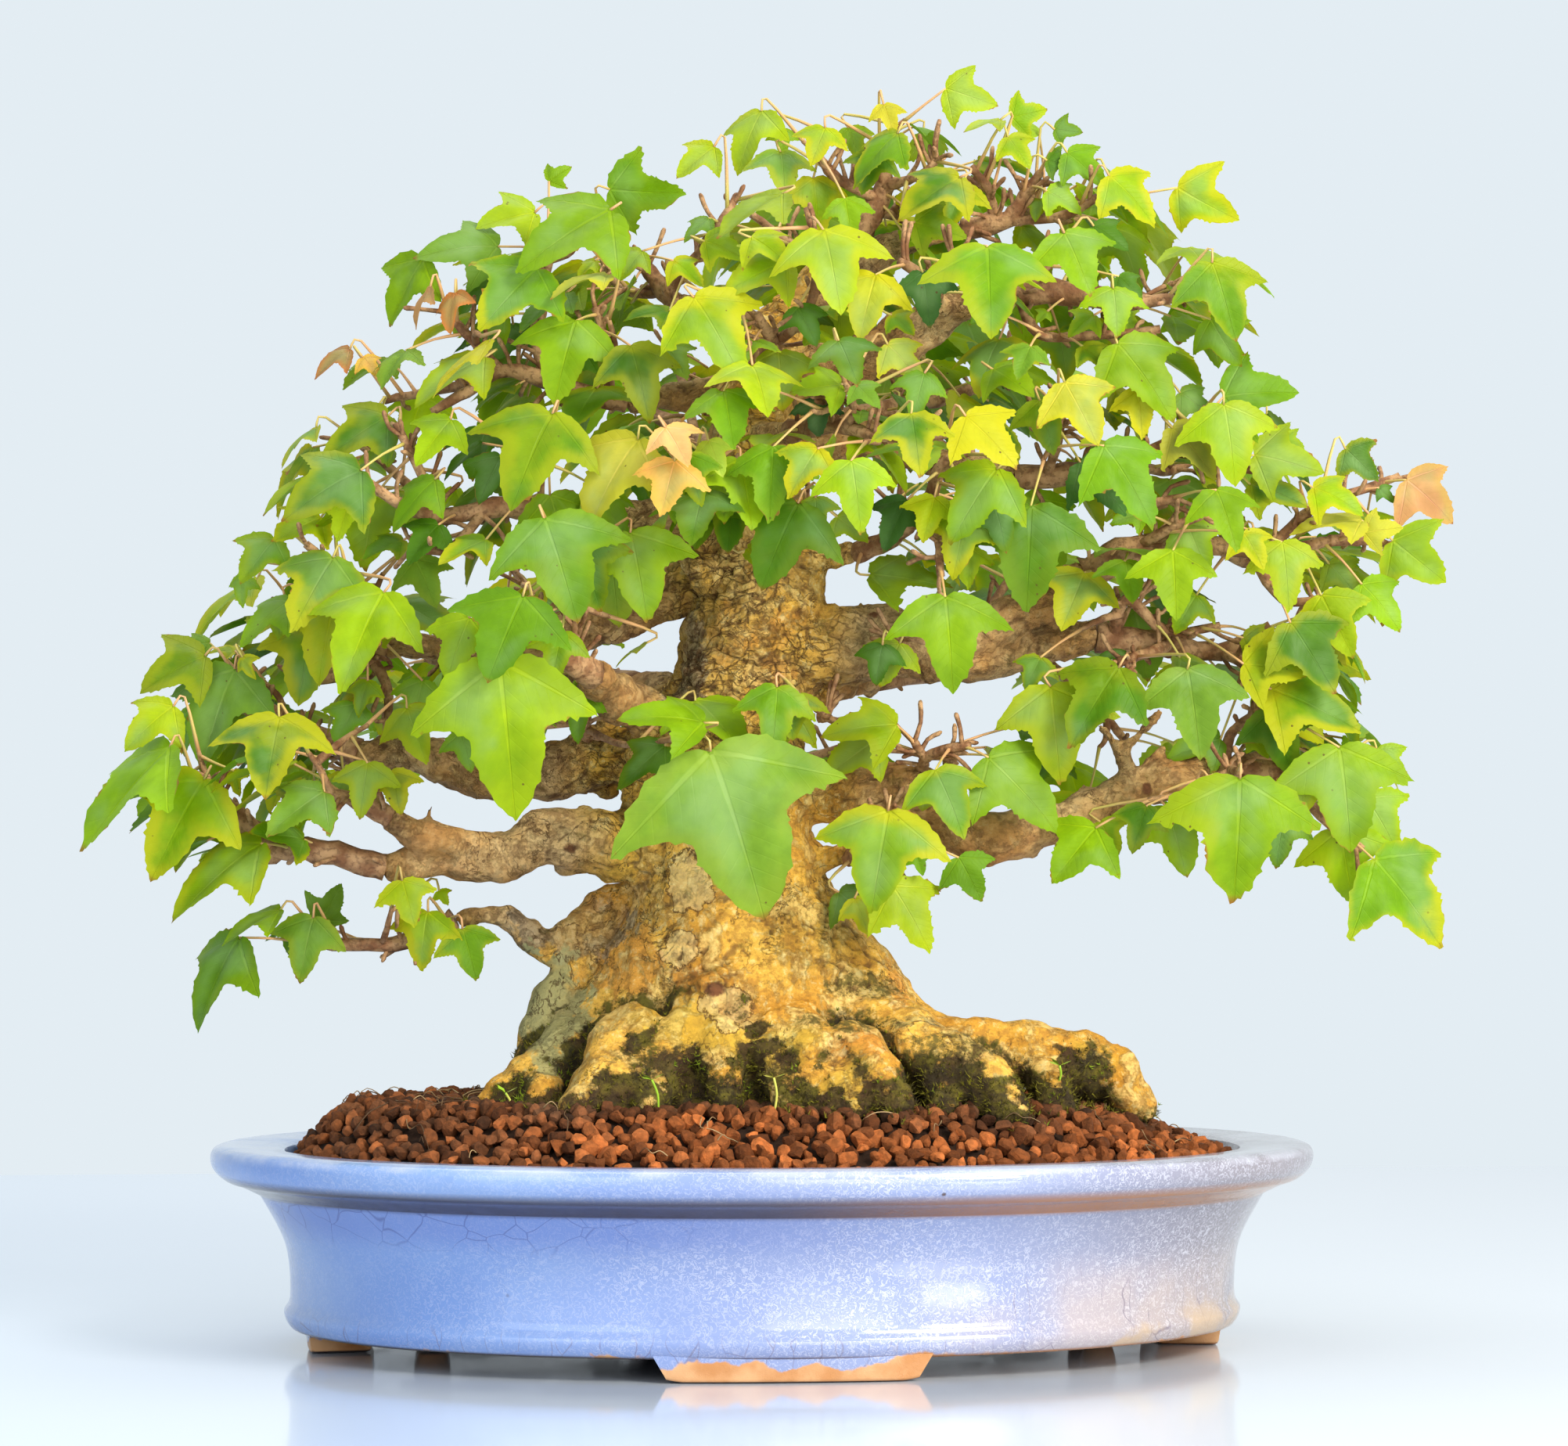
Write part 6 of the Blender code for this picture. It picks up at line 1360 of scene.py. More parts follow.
def bark_paint():
    """Golden bark with flaky plates, dark cracks, grey-green lichen, orange bare wood, painted shade in
    hollows.
    """
    paint = Paint("bark_fine", 0.78, 0.3)
    z = paint.axes()[2]
    crack = paint.attribute("crack")
    trunk = paint.attribute("trunk")
    hollow = paint.attribute("hollow")
    moss = paint.attribute("moss")
    high = paint.step(z, 0.145, 0.20)
    tone = paint.noise(24.0, 8.0, rough=0.62)
    colour = paint.mix(paint.step(tone, 0.34, 0.60), (0.68, 0.305, 0.026), (0.95, 0.555, 0.085))
    orange = paint.step(paint.noise(15.0, 3.0, warp=0.8), 0.57, 0.66)
    for place in ORANGE_PATCHES:
        orange = paint.math("MAXIMUM", orange, paint.patch(*place))
    colour = paint.over(colour, (0.80, 0.31, 0.045), orange, 0.62)
    cream = paint.step(paint.noise(85.0, 9.0, rough=0.74, warp=0.4), 0.49, 0.57)
    colour = paint.over(colour, (0.98, 0.70, 0.235), cream, 0.62)
    fine = paint.noise(300.0, 6.0, rough=0.72)
    colour = paint.mix(paint.step(fine, 0.53, 0.40, 0.0, 0.62), colour, (0.42, 0.185, 0.030))
    colour = paint.mix(paint.step(fine, 0.54, 0.64, 0.0, 0.55), colour, (1.0, 0.82, 0.37))
    olive = paint.step(paint.noise(19.0, 5.0, warp=0.5), 0.55, 0.66)
    olive = paint.times(olive, paint.step(z, 0.19, 0.12))
    colour = paint.over(colour, (0.62, 0.47, 0.040), olive, 0.40)
    old = paint.step(paint.noise(26.0, 5.0), 0.46, 0.60)
    old = paint.times(old, paint.step(high, 0.0, 1.0, 0.05, 0.40))
    colour = paint.mix(old, colour, (0.56, 0.36, 0.12))
    limb = paint.math("SUBTRACT", 1.0, trunk)
    bare = paint.mix(paint.step(tone, 0.40, 0.60), (0.40, 0.21, 0.085), (0.70, 0.48, 0.26))
    bare = paint.mix(paint.step(fine, 0.54, 0.40, 0.0, 0.6), bare, (0.20, 0.10, 0.045))
    colour = paint.over(colour, bare, limb, 0.75)
    greys = paint.math("MAXIMUM", *[paint.patch(*place) for place in GREY_PATCHES])
    grey = paint.mix(paint.step(fine, 0.42, 0.58), (0.13, 0.10, 0.065), (0.40, 0.31, 0.20))
    colour = paint.over(colour, grey, greys, 0.78)
    lichen = paint.step(paint.noise(60.0, 6.0), 0.38, 0.5)
    lichen = paint.times(paint.patch(*LICHEN_PATCH), lichen)
    spots = paint.times(paint.step(paint.noise(48.0, 7.0, rough=0.7), 0.60, 0.66), 0.6)
    lichen = paint.math("MAXIMUM", lichen, paint.times(spots, paint.step(z, 0.15, 0.11)))
    colour = paint.over(colour, (0.42, 0.42, 0.19), lichen, 0.85)
    for place in OLIVE_PATCHES:
        dull = paint.times(paint.patch(*place), paint.step(fine, 0.58, 0.44, 0.2, 0.9))
        colour = paint.mix(dull, colour, (0.15, 0.12, 0.025))
    for place in PLATES:
        away = paint.mask(*place)
        colour = paint.mix(paint.step(away, 1.0, 0.7, 0.0, 0.45), colour, (0.96, 0.74, 0.34))
        away = paint.off(away, 1.0)
        colour = paint.mix(paint.step(away, 0.16, 0.04, 0.0, 0.85), colour, (0.12, 0.055, 0.020))
    outline = paint.noise(62.0, 8.0, rough=0.62, warp=0.5)
    outline = paint.step(paint.off(outline), 0.009, 0.001)
    outline = paint.times(outline, paint.step(paint.noise(23.0, 3.0), 0.46, 0.56))
    colour = paint.over(colour, (0.14, 0.060, 0.020), outline, 0.80)
    folds = paint.noise(1.0, 5.0, paint.stretched(42, 42, 70, 0.010, 60.0), 0.58, 0.3)
    folds = paint.math("FRACT", paint.times(folds, 9.0))
    folds = paint.off(folds)
    folds = paint.times(paint.step(folds, 0.16, 0.02), paint.step(high, 0.0, 1.0, 0.10, 1.0))
    folds = paint.times(folds, paint.step(paint.noise(38.0, 4.0), 0.40, 0.54, 0.1, 1.0))
    folds = paint.times(folds, paint.step(trunk, 0.0, 1.0, 0.5, 1.0))
    colour = paint.over(colour, (0.20, 0.085, 0.025), folds, 0.72)
    net = paint.cells(1.0, paint.stretched(105, 105, 190, 0.014, 90.0), "DISTANCE_TO_EDGE")
    net = paint.times(paint.step(net, 0.060, 0.0), high)
    net = paint.times(net, paint.step(paint.noise(32.0, 3.0), 0.42, 0.54))
    net = paint.times(net, trunk)
    colour = paint.over(colour, (0.12, 0.050, 0.018), net, 0.62)
    # Painted shade: the bark is darkened in its hollows
    colour = paint.mix(paint.math("MULTIPLY", hollow, 0.40, clamp=True), colour, (0.34, 0.15, 0.040))
    for place in DARK_KNOTS:
        knot = paint.step(paint.mask(*place), 1.3, 0.3)
        colour = paint.mix(knot, colour, (0.20, 0.075, 0.028))
    colour = paint.mix(paint.step(crack, 0.35, 0.95, 0.0, 0.72), colour, (0.13, 0.055, 0.020))
    green = paint.noise(170.0, 6.0, rough=0.7)
    mossy = paint.mix(paint.step(green, 0.42, 0.66), (0.012, 0.009, 0.004), (0.130, 0.110, 0.010))
    mossy = paint.mix(paint.step(paint.noise(40.0, 3.0), 0.52, 0.62, 0.0, 0.6), mossy, (0.050, 0.020, 0.010))
    edge = paint.math("ADD", moss, paint.step(green, 0.3, 0.7, -0.24, 0.36))
    colour = paint.mix(paint.step(edge, 0.20, 0.55, 0.0, 0.96), colour, mossy)
    grain = paint.noise(380.0, 8.0, rough=0.75)
    paint.bump((outline, -0.0008), (folds, -0.0010), (net, -0.0012), (cream, 0.0004), (grain, 0.0014))
    return paint.colour(colour)


def twig_paint():
    """Brown bark of twigs, with darker rings."""
    paint = Paint("twig_fine", 0.75, 0.3)
    tone = paint.noise(160.0, 4.0)
    colour = paint.mix(paint.step(tone, 0.35, 0.65), (0.20, 0.085, 0.035), (0.46, 0.27, 0.13))
    rings = paint.step(paint.noise(700.0, 3.0), 0.52, 0.62)
    colour = paint.over(colour, (0.10, 0.045, 0.022), rings, 0.5)
    paint.bump((paint.noise(600.0, 4.0), 0.0006))
    return paint.colour(colour)


def stalk_paint():
    """Leaf stalks, from pink-brown to olive."""
    paint = Paint("stalk_fine", 0.5, 0.4)
    tone = paint.noise(60.0, 2.0)
    colour = paint.mix(paint.step(tone, 0.4, 0.65), (0.62, 0.34, 0.15), (0.50, 0.42, 0.10))
    return paint.colour(colour)


def vein_lines(paint, u, v):
    """Pale lines of a blade's three main veins and their side veins, from its own coordinates."""
    lines, nearest, along_nearest = None, None, None
    for angle in (0.0, 61.0, -61.0):
        dx, dy = math.sin(math.radians(angle)), math.cos(math.radians(angle))
        along = paint.math("ADD", paint.times(u, dx), paint.times(v, dy))
        across = paint.math("SUBTRACT", paint.times(u, dy), paint.times(v, dx))
        across = paint.math("ABSOLUTE", across)
        across = paint.math("ADD", across, paint.step(along, 0.02, -0.02, 0.0, 1.0))
        width = paint.step(along, 0.0, 0.9, 0.016, 0.004)
        line = paint.step(paint.math("DIVIDE", across, width), 1.5, 0.6)
        if lines is None:
            lines, nearest, along_nearest = line, across, along
            continue
        lines = paint.math("MAXIMUM", lines, line)
        closer = paint.math("LESS_THAN", across, nearest)
        keep = paint.math("SUBTRACT", 1.0, closer)
        old = paint.times(along_nearest, keep)
        along_nearest = paint.math("ADD", old, paint.times(along, closer))
        nearest = paint.math("MINIMUM", nearest, across)
    slant = paint.math("SUBTRACT", along_nearest, paint.times(nearest, 0.95))
    wave = paint.math("FRACT", paint.times(slant, 9.5))
    wave = paint.off(wave)
    side = paint.times(paint.step(wave, 0.07, 0.0), paint.step(nearest, 0.30, 0.02))
    return paint.math("MAXIMUM", lines, paint.times(side, 0.26)), wave


def leaf_paint():
    """Green blade with pale veins, a yellowing margin, a painted bluish sheen and light coming through."""
    paint = Paint("leaf_fine", 0.48, 0.18)
    tint = paint.attribute("tint", "Color")
    inner, autumn = paint.attribute("inner"), paint.attribute("autumn")
    uv = paint.node("ShaderNodeUVMap", {}, uv_map="blade").outputs[0]
    split = paint.node("ShaderNodeSeparateXYZ", {0: uv})
    u, v = split.outputs[0], split.outputs[1]
    lines, wave = vein_lines(paint, u, v)
    mottle = paint.noise(70.0, 6.0, rough=0.6)
    colour = paint.mix(paint.step(mottle, 0.30, 0.72), (0.80, 0.82, 0.8), (1.22, 1.14, 1.1))
    colour = paint.mix(1.0, tint, colour, "MULTIPLY")
    # Painted sheen: bluish patches inside the blade, standing for the sky's reflection
    painted_sheen = paint.times(inner, paint.step(paint.noise(38.0, 3.0), 0.42, 0.62))
    colour = paint.over(colour, (0.25, 0.43, 0.17), painted_sheen, 0.42)
    light = paint.mix(1.0, colour, (1.50, 1.32, 1.8), "MULTIPLY")
    colour = paint.over(colour, light, lines, 0.50)
    patchy = paint.step(paint.noise(34.0, 4.0), 0.34, 0.62, -0.35, 0.75)
    margin = paint.math("ADD", inner, paint.times(patchy, -1.0))
    yellow = paint.times(paint.step(margin, 0.70, -0.25), autumn)
    colour = paint.mix(yellow, colour, (0.52, 0.50, 0.010))
    brown = paint.step(paint.noise(110.0, 3.0), 0.60, 0.66)
    brown = paint.times(paint.step(inner, 0.10, 0.0), brown)
    tip = paint.times(paint.step(v, 0.93, 1.0), paint.step(paint.noise(25.0, 1.0), 0.5, 0.55))
    brown = paint.math("MAXIMUM", brown, tip)
    colour = paint.over(colour, (0.30, 0.10, 0.025), brown, 0.8)
    specks = paint.times(paint.step(paint.cells(210.0), 0.10, 0.06), paint.step(patchy, 0.5, 0.7))
    colour = paint.over(colour, (0.10, 0.045, 0.015), specks, 0.8)
    paint.bump((lines, -0.00018), (wave, 0.00004), (paint.noise(260.0, 4.0), 0.00016))
    paint.colour(colour)
    warm = paint.mix(1.0, colour, (1.30, 1.15, 0.5), "MULTIPLY")
    through = paint.node("ShaderNodeBsdfTranslucent", {"Color": warm})
    both = {0: 0.34, 1: paint.shader.outputs[0], 2: through.outputs[0]}
    blend_in = paint.node("ShaderNodeMixShader", both)
    out = next(n for n in paint.tree.nodes if n.type == "OUTPUT_MATERIAL")
    paint.tree.links.new(blend_in.outputs[0], out.inputs["Surface"])
    return paint.material


def soil_paint():
    """Baked clay grains, in the colour that each of them carries."""
    paint = Paint("soil_fine", 0.9, 0.2)
    tint = paint.attribute("tint", "Color")
    mottle = paint.noise(500.0, 4.0)
    colour = paint.mix(paint.step(mottle, 0.3, 0.75), tint, (1.8, 1.7, 1.6), "MULTIPLY")
    paint.bump((paint.noise(900.0, 4.0, rough=0.7), 0.0006))
    return paint.colour(colour)


def moss_paint():
    """Moss: from dark brown to olive, with brighter cushions."""
    paint = Paint("moss_fine", 0.8, 0.2)
    tone = paint.noise(260.0, 5.0, rough=0.7)
    colour = paint.mix(paint.step(tone, 0.38, 0.64), (0.030, 0.022, 0.007), (0.21, 0.19, 0.015))
    bright = paint.step(paint.noise(60.0, 3.0), 0.60, 0.66)
    return paint.colour(paint.mix(paint.times(bright, 0.8), colour, (0.24, 0.34, 0.020)))


def straw_paint():
    """Dry rootlets, from dark brown to straw."""
    paint = Paint("straw_fine", 0.8, 0.2)
    tone = paint.noise(45.0, 3.0)
    return paint.colour(paint.mix(paint.step(tone, 0.42, 0.60), (0.085, 0.045, 0.022), (0.38, 0.26, 0.13)))


def sprout_paint():
    """Seedlings: fresh green to yellow."""
    paint = Paint("sprout_fine", 0.5, 0.3)
    tone = paint.noise(60.0, 2.0)
    return paint.colour(paint.mix(paint.step(tone, 0.44, 0.56), (0.30, 0.50, 0.03), (0.62, 0.60, 0.12)))


def plastic_paint():
    """Dull moulded plastic, for the drain meshes that the soil hides."""
    paint = Paint("mesh_fine", 0.6)
    paint.bump((paint.noise(300.0), 0.0001))
    return paint.colour(paint.mix(paint.noise(90.0), (0.02, 0.02, 0.02), (0.05, 0.05, 0.055)))


# Pot


def fine_profile(profile, steps):
    """Smooth line through a profile's points."""
    insets = smooth_line([inset for inset, _ in profile], steps)
    heights = smooth_line([height for _, height in profile], steps)
    return list(zip(insets, heights))


def fine_oval(turn, inset, roundness):
    """Point of the pot's plan at a turn, like the solid's oval but with its own roundness."""
    power = 2 / roundness
    c, s = math.cos(turn), math.sin(turn)
    x = math.copysign(abs(c) ** power, c) * (POT_LENGTH / 2 - inset)
    y = math.copysign(abs(s) ** power, s) * (POT_DEPTH / 2 - inset)
    return turned(x, y)


def make_fine_pot(material):
    """Pot with a rounded lip, its feet and the nubs beside them."""
    low_side = fine_profile(POT_OUTSIDE[:6], 6)
    lip = fine_profile([POT_OUTSIDE[5], (9.2, 51.7), (5.0, 53.2), (1.4, 56.4), (0.3, 60.0), (1.2, 62.7),
                        (3.6, 63.7)], 4)
    top = [(6.0, 63.8), (14.0, 63.4), (21.0, 63.0), (23.4, 62.2)]
    outside = low_side + lip[1:] + top
    inside_wall = fine_profile(POT_INSIDE, 3)
    rings = []
    for step, (inset, height) in enumerate(outside + inside_wall):
        inset = max(inset, 0.3)
        down_inside = min(1.0, max(0, step - len(outside)) / 3)
        roundness = FINE_ROUNDNESS + (POT_ROUNDNESS - FINE_ROUNDNESS) * down_inside
        turns = [math.tau * i / FINE_POT_SIDES for i in range(FINE_POT_SIDES)]
        plan = [fine_oval(turn, inset * MM, roundness) for turn in turns]
        rings.append([(x, y, height * MM) for x, y in plan])
    pot = Mesh()
    pot.add(*loft(rings))
    for middle, half_arc, outer, inner in FEET:
        pot.add(*fine_foot(middle, half_arc, outer, inner))
    for side in (-1, 1):
        for end in (-1, 1):
            x, y = turned(side * NUB_PLACE[0], end * NUB_PLACE[1])
            rings = []
            for height, share in ((0, 0.55), (0.0004, 0.72), (0.003, 0.85), (POT_BASE + 0.002, 1)):
                turn = [math.tau * i / NUB_SIDES for i in range(NUB_SIDES)]
                radius = NUB_RADIUS * share
                rings.append([(x + radius * math.cos(a), y + radius * math.sin(a), height) for a in turn])
            pot.add(*loft(rings))
    piece = pot.build("pot_glazed", [material], "glaze", ["pot"])
    piece.data.set_sharp_from_angle(angle=math.radians(50))


def fine_foot(middle, half_arc, outer, inner):
    """Foot with rounded edges, in the form of the solid's."""
    rings = []
    for i in range(FOOT_STEPS + 1):
        share = 2 * i / FOOT_STEPS - 1
        end = min(1.0, (1 - abs(share)) * 9)
        corners = []
        profile = ((outer, 1.2, 0.1), (outer + 0.4, 0.3, 0), (outer + 1.4, 0, 0), (inner - 1.4, 0, 0),
                   (inner - 0.4, 0.3, 0), (inner, 1.2, 0.1), (inner, 8, 1), (outer - 1, 8, 1))
        for inset, height, spread in profile:
            x, y = oval(middle + share * (half_arc + spread * FOOT_SLANT), inset * MM)
            lift = (1 - end) * 0.8 if height < 1.5 else 0
            corners.append((x, y, (height + lift) * MM))
        rings.append(corners)
    return loft(rings)


# Trunk


def fine_trunk_solids():
    """Trunk, roots, stubs and knobbly limbs as overlapping closed meshes."""
    columns = [smooth_line([getattr(ring, field) for ring in TRUNK_RINGS], 7) for field in Ring._fields]
    rings = []
    for height, left, right, front, back in zip(*columns):
        points = []
        for i in range(FINE_TRUNK_SIDES):
            angle = math.tau * i / FINE_TRUNK_SIDES
            lump = 1 + 0.03 * math.sin(3 * angle + height * 0.05)
            lump += 0.02 * math.sin(5 * angle - height * 0.09)
            proud = ridge_reach(angle, height)
            x = (left + right) / 2 + ((right - left) / 2 * lump + proud) * math.cos(angle)
            y = (front + back) / 2 + ((back - front) / 2 * lump + proud) * math.sin(angle)
            points.append((x * MM, y * MM, height * MM))
        rings.append(points)
    solids = [loft(rings)]
    for points, radii in ROOTS + FINE_ROOTS:
        path = [seen(*p) for p in points]
        solids.append(fine_tube(path, [r * MM for r in blend(radii, len(path))], 24, 6, 0.30))
    for points, radii in STUBS:
        path = [seen(*p) for p in points]
        solids.append(fine_tube(path, [r * MM for r in blend(radii, len(path))], 14, 4, 0.25))
    draw = random.Random("knobs")
    for wood in BRANCHES:
        limb = wood_path(wood)
        end = limb["cut"] + 1
        slim = blend([SLIM_LIMBS.get(wood.name, 1), 1], end)
        path, radii = limb["path"][:end], [r * s for r, s in zip(limb["radii"], slim)]
        solids.append(fine_tube(path, radii, 16, 6, 0.25))
        for _ in range(end * KNOBS):
            i = draw.randrange(len(path) - 1)
            share = draw.random()
            along = (path[i + 1] - path[i]).normalized()
            out = scatter(draw)
            out = (out - along * out.dot(along)).normalized()
            radius = radii[i] + (radii[i + 1] - radii[i]) * share
            start = path[i].lerp(path[i + 1], share) + out * radius * 0.4
            size = radius * draw.uniform(0.35, 0.6)
            knob = [start, start + out * radius * draw.uniform(0.6, 1.0)]
            solids.append(fine_tube(knob, [size, size * 0.7], 10, 3, 0.3))
    return solids


def remeshed(name, solids, voxel):
    """One skin round overlapping solids."""
    rough = Mesh()
    for vertices, faces in solids:
        rough.add(vertices, faces)
    mesh = bpy.data.meshes.new(name)
    mesh.from_pydata(rough.vertices, [], rough.faces)
    work = bmesh.new()
    work.from_mesh(mesh)
    bmesh.ops.recalc_face_normals(work, faces=work.faces)
    work.to_mesh(mesh)
    work.free()
    piece = bpy.data.objects.new(name, mesh)
    bpy.context.scene.collection.objects.link(piece)
    modifier = piece.modifiers.new("skin", "REMESH")
    modifier.mode = "VOXEL"
    modifier.voxel_size = voxel
    graph = bpy.context.evaluated_depsgraph_get()
    skin = bpy.data.meshes.new_from_object(piece.evaluated_get(graph))
    bpy.data.objects.remove(piece, do_unlink=True)
    return skin


def even(positions, edges, rounds):
    """Positions after each has been moved to the middle of its neighbours, several times over."""
    count = len(positions)
    ends = edges.ravel()
    others = edges[:, ::-1].ravel()
    degree = np.maximum(np.bincount(ends, minlength=count), 1)[:, None]
    for _ in range(rounds):
        total = [np.bincount(ends, weights=positions[others, axis], minlength=count) for axis in range(3)]
        positions = np.stack(total, axis=1) / degree
    return positions


def trunk_share(point):
    """1 on the trunk and its roots, falling to 0 on the limbs."""
    height = max(TRUNK_RINGS[0].height, min(TRUNK_RINGS[-1].height, point.z / MM))
    for low, high in zip(TRUNK_RINGS, TRUNK_RINGS[1:]):
        if height <= high.height:
            break
    share = (height - low.height) / (high.height - low.height)
    _, left, right, front, back = [a + (b - a) * share for a, b in zip(low, high)]
    x, y = point.x / MM - (left + right) / 2, point.y / MM - (front + back) / 2
    away = math.hypot(x / ((right - left) / 2), y / ((back - front) / 2))
    if point.z < 0.112:
        return 1.0
    return max(0.0, min(1.0, (1.75 - away) / 0.45))


def bark_relief(point, share):
    """Height of the bark in metres, and how deep in a crack a point is, 0 to 1."""
    high = max(0.0, min(1.0, (point.z - 0.135) / 0.06))
    lumps = noise.noise(point * 36) * 0.0022 + noise.noise(point * 95) * 0.0013
    lumps += noise.noise(point * 240) * 0.0009
    bend = noise.noise_vector(point * 70) * 0.007 + noise.noise_vector(point * 260) * 0.0022
    place = Vector(((point.x + bend.x) * 95, (point.y + bend.y) * 95, (point.z + bend.z) * 150))
    near = noise.voronoi(place)[0]
    crack = max(0.0, 1 - (near[1] - near[0]) / 0.15)
    patch = noise.noise(point * 26 + Vector((5, 2, 9))) + 0.20 * high - 0.20 * (1 - high)
    crack *= max(0.0, min(1.0, (patch + 0.12) * 3.5))
    fold = 1 - min(1.0, abs(noise.noise(place * 0.55)) * 4)
    plate = (noise.cell(place) * 0.0005 + fold * 0.0007) * high
    relief = (lumps + plate) * (0.80 + 0.20 * share) - crack * 0.0013 * (0.4 + 0.6 * share)
    return relief, crack


def make_fine_trunk(material):
    """Voxel skin over trunk, roots and limbs, with bark plates raised on it. Gives its search
    tree and its mossy places."""
    mesh = remeshed("trunk_bark", fine_trunk_solids(), BARK_VOXEL)
    count = len(mesh.vertices)
    skin = np.empty(count * 3)
    mesh.vertices.foreach_get("co", skin)
    skin = skin.reshape(-1, 3)
    edges = np.empty(len(mesh.edges) * 2, dtype=int)
    mesh.edges.foreach_get("vertices", edges)
    edges = edges.reshape(-1, 2)
    normals = np.empty(count * 3)
    mesh.vertices.foreach_get("normal", normals)
    normals = normals.reshape(-1, 3)
    flat = even(skin, edges, 3)
    broad = even(flat, edges, 40)
    # How deep in a hollow each point lies: moss gathers there, and the bark paint darkens it as painted
    # shade
    hollow = np.clip(((broad - flat) * normals).sum(axis=1) / 0.0025, -1, 1)
    cracks, shares, mosses, moved = [], [], [], []
    for place, normal, dent in zip(flat.tolist(), normals.tolist(), hollow.tolist()):
        point, normal = Vector(place), Vector(normal)
        share = trunk_share(point)
        relief, crack = bark_relief(point, share)
        ground, _ = soil_surface(point.x, point.y)
        lift = (point.z - ground) / 0.022
        damp = noise.noise(point * 45) * 0.8 + noise.noise(point * 130) * 0.35
        moss = 1.38 - lift * 1.02 + dent * 0.70 + damp - max(0.0, normal.z - 0.35) * 1.4
        moss = max(0.0, min(1.0, moss)) if lift < 2.2 else 0.0
        moved.append(point + normal * (relief + moss * 0.0006))
        cracks.append(crack * (1 - moss))
        shares.append(share)
        mosses.append(moss)
    mesh.vertices.foreach_set("co", [c for p in moved for c in p])
    layers = (("crack", cracks), ("trunk", shares), ("hollow", hollow.tolist()), ("moss", mosses))
    for name, values in layers:
        mesh.attributes.new(name, "FLOAT", "POINT").data.foreach_set("value", values)
    tree = BVHTree.FromPolygons(moved, [tuple(p.vertices) for p in mesh.polygons])
    normals = [Vector(n) for n in normals.tolist()]
    mossy = [(p, n, m) for p, n, m in zip(moved, normals, mosses) if m > 0.25]
    mesh.transform(TO_PART)
    mesh.materials.clear()
    mesh.materials.append(material)
    mesh.shade_smooth()
    show("trunk_bark", mesh, ["trunk"])
    return tree, mossy


# Soil


def soil_surface(x, y):
    """Height of the soil at a place of the front view's plan, and its share of the way out."""
    c, s = math.cos(POT_TURN), math.sin(POT_TURN)
    along, across = (x * c + y * s), (y * c - x * s)
    a, b = abs(along) / (POT_LENGTH / 2 - SOIL_INSET), abs(across) / (POT_DEPTH / 2 - SOIL_INSET)
    share = (a ** POT_ROUNDNESS + b ** POT_ROUNDNESS) ** (1 / POT_ROUNDNESS)
    half = POT_ROUNDNESS / 2
    angle = math.atan2(math.copysign(b ** half, across), math.copysign(a ** half, along))
    return soil_height(angle, min(share, 1.0)), share


def inside(tree, point):
    """True inside a closed skin, by whether a ray from the point leaves it or enters it first."""
    _, normal, _, _ = tree.ray_cast(point, RAY)
    return normal is not None and normal.dot(RAY) > 0


def grain_shape():
    """Points and faces of a ball, which each grain is cut from."""
    work = bmesh.new()
    bmesh.ops.create_icosphere(work, subdivisions=2, radius=1)
    vertices = [v.co.copy() for v in work.verts]
    faces = [tuple(v.index for v in f.verts) for f in work.faces]
    work.free()
    return vertices, faces


def soil_sheet():
    """Sheet just below the grains, so that nothing shows between them."""
    base = Mesh()
    grid = {}
    for i in range(SOIL_STEPS + 1):
        for j in range(SOIL_STEPS + 1):
            x = (2 * i / SOIL_STEPS - 1) * POT_LENGTH / 2
            y = (2 * j / SOIL_STEPS - 1) * POT_DEPTH / 2
            height, share = soil_surface(x, y)
            if share > 1.0:
                continue
            grid[i, j] = len(base.vertices)
            base.vertices.append((x, y, height - 0.0035))
    for i, j in grid:
        corners = [(i, j), (i + 1, j), (i + 1, j + 1), (i, j + 1)]
        if all(c in grid for c in corners):
            base.faces.append(tuple(grid[c] for c in corners))
    return base


def cut_grain(shape, point, radius, draw):
    """Corners of one grain: a ball cut flat on several sides, stretched and turned."""
    stretch = Vector([draw.uniform(0.80, 1.30) for _ in range(3)])
    turn = Matrix.Rotation(draw.uniform(0, math.tau), 3, "Z")
    turn = turn @ Matrix.Rotation(draw.uniform(0, 3), 3, "X")
    cuts = []
    for _ in range(GRAIN_CUTS):
        out = Vector([draw.gauss(0, 1) for _ in range(3)]).normalized()
        cuts.append((out, draw.uniform(0.45, 0.85)))
    corners = []
    for v in shape:
        corner = v.copy()
        for out, depth in cuts:
            proud = corner.dot(out) - depth
            if proud > 0:
                corner -= out * proud
        corner = Vector((corner.x * stretch.x, corner.y * stretch.y, corner.z * stretch.z))
        corners.append(point + turn @ corner * radius * 1.12)
    return corners


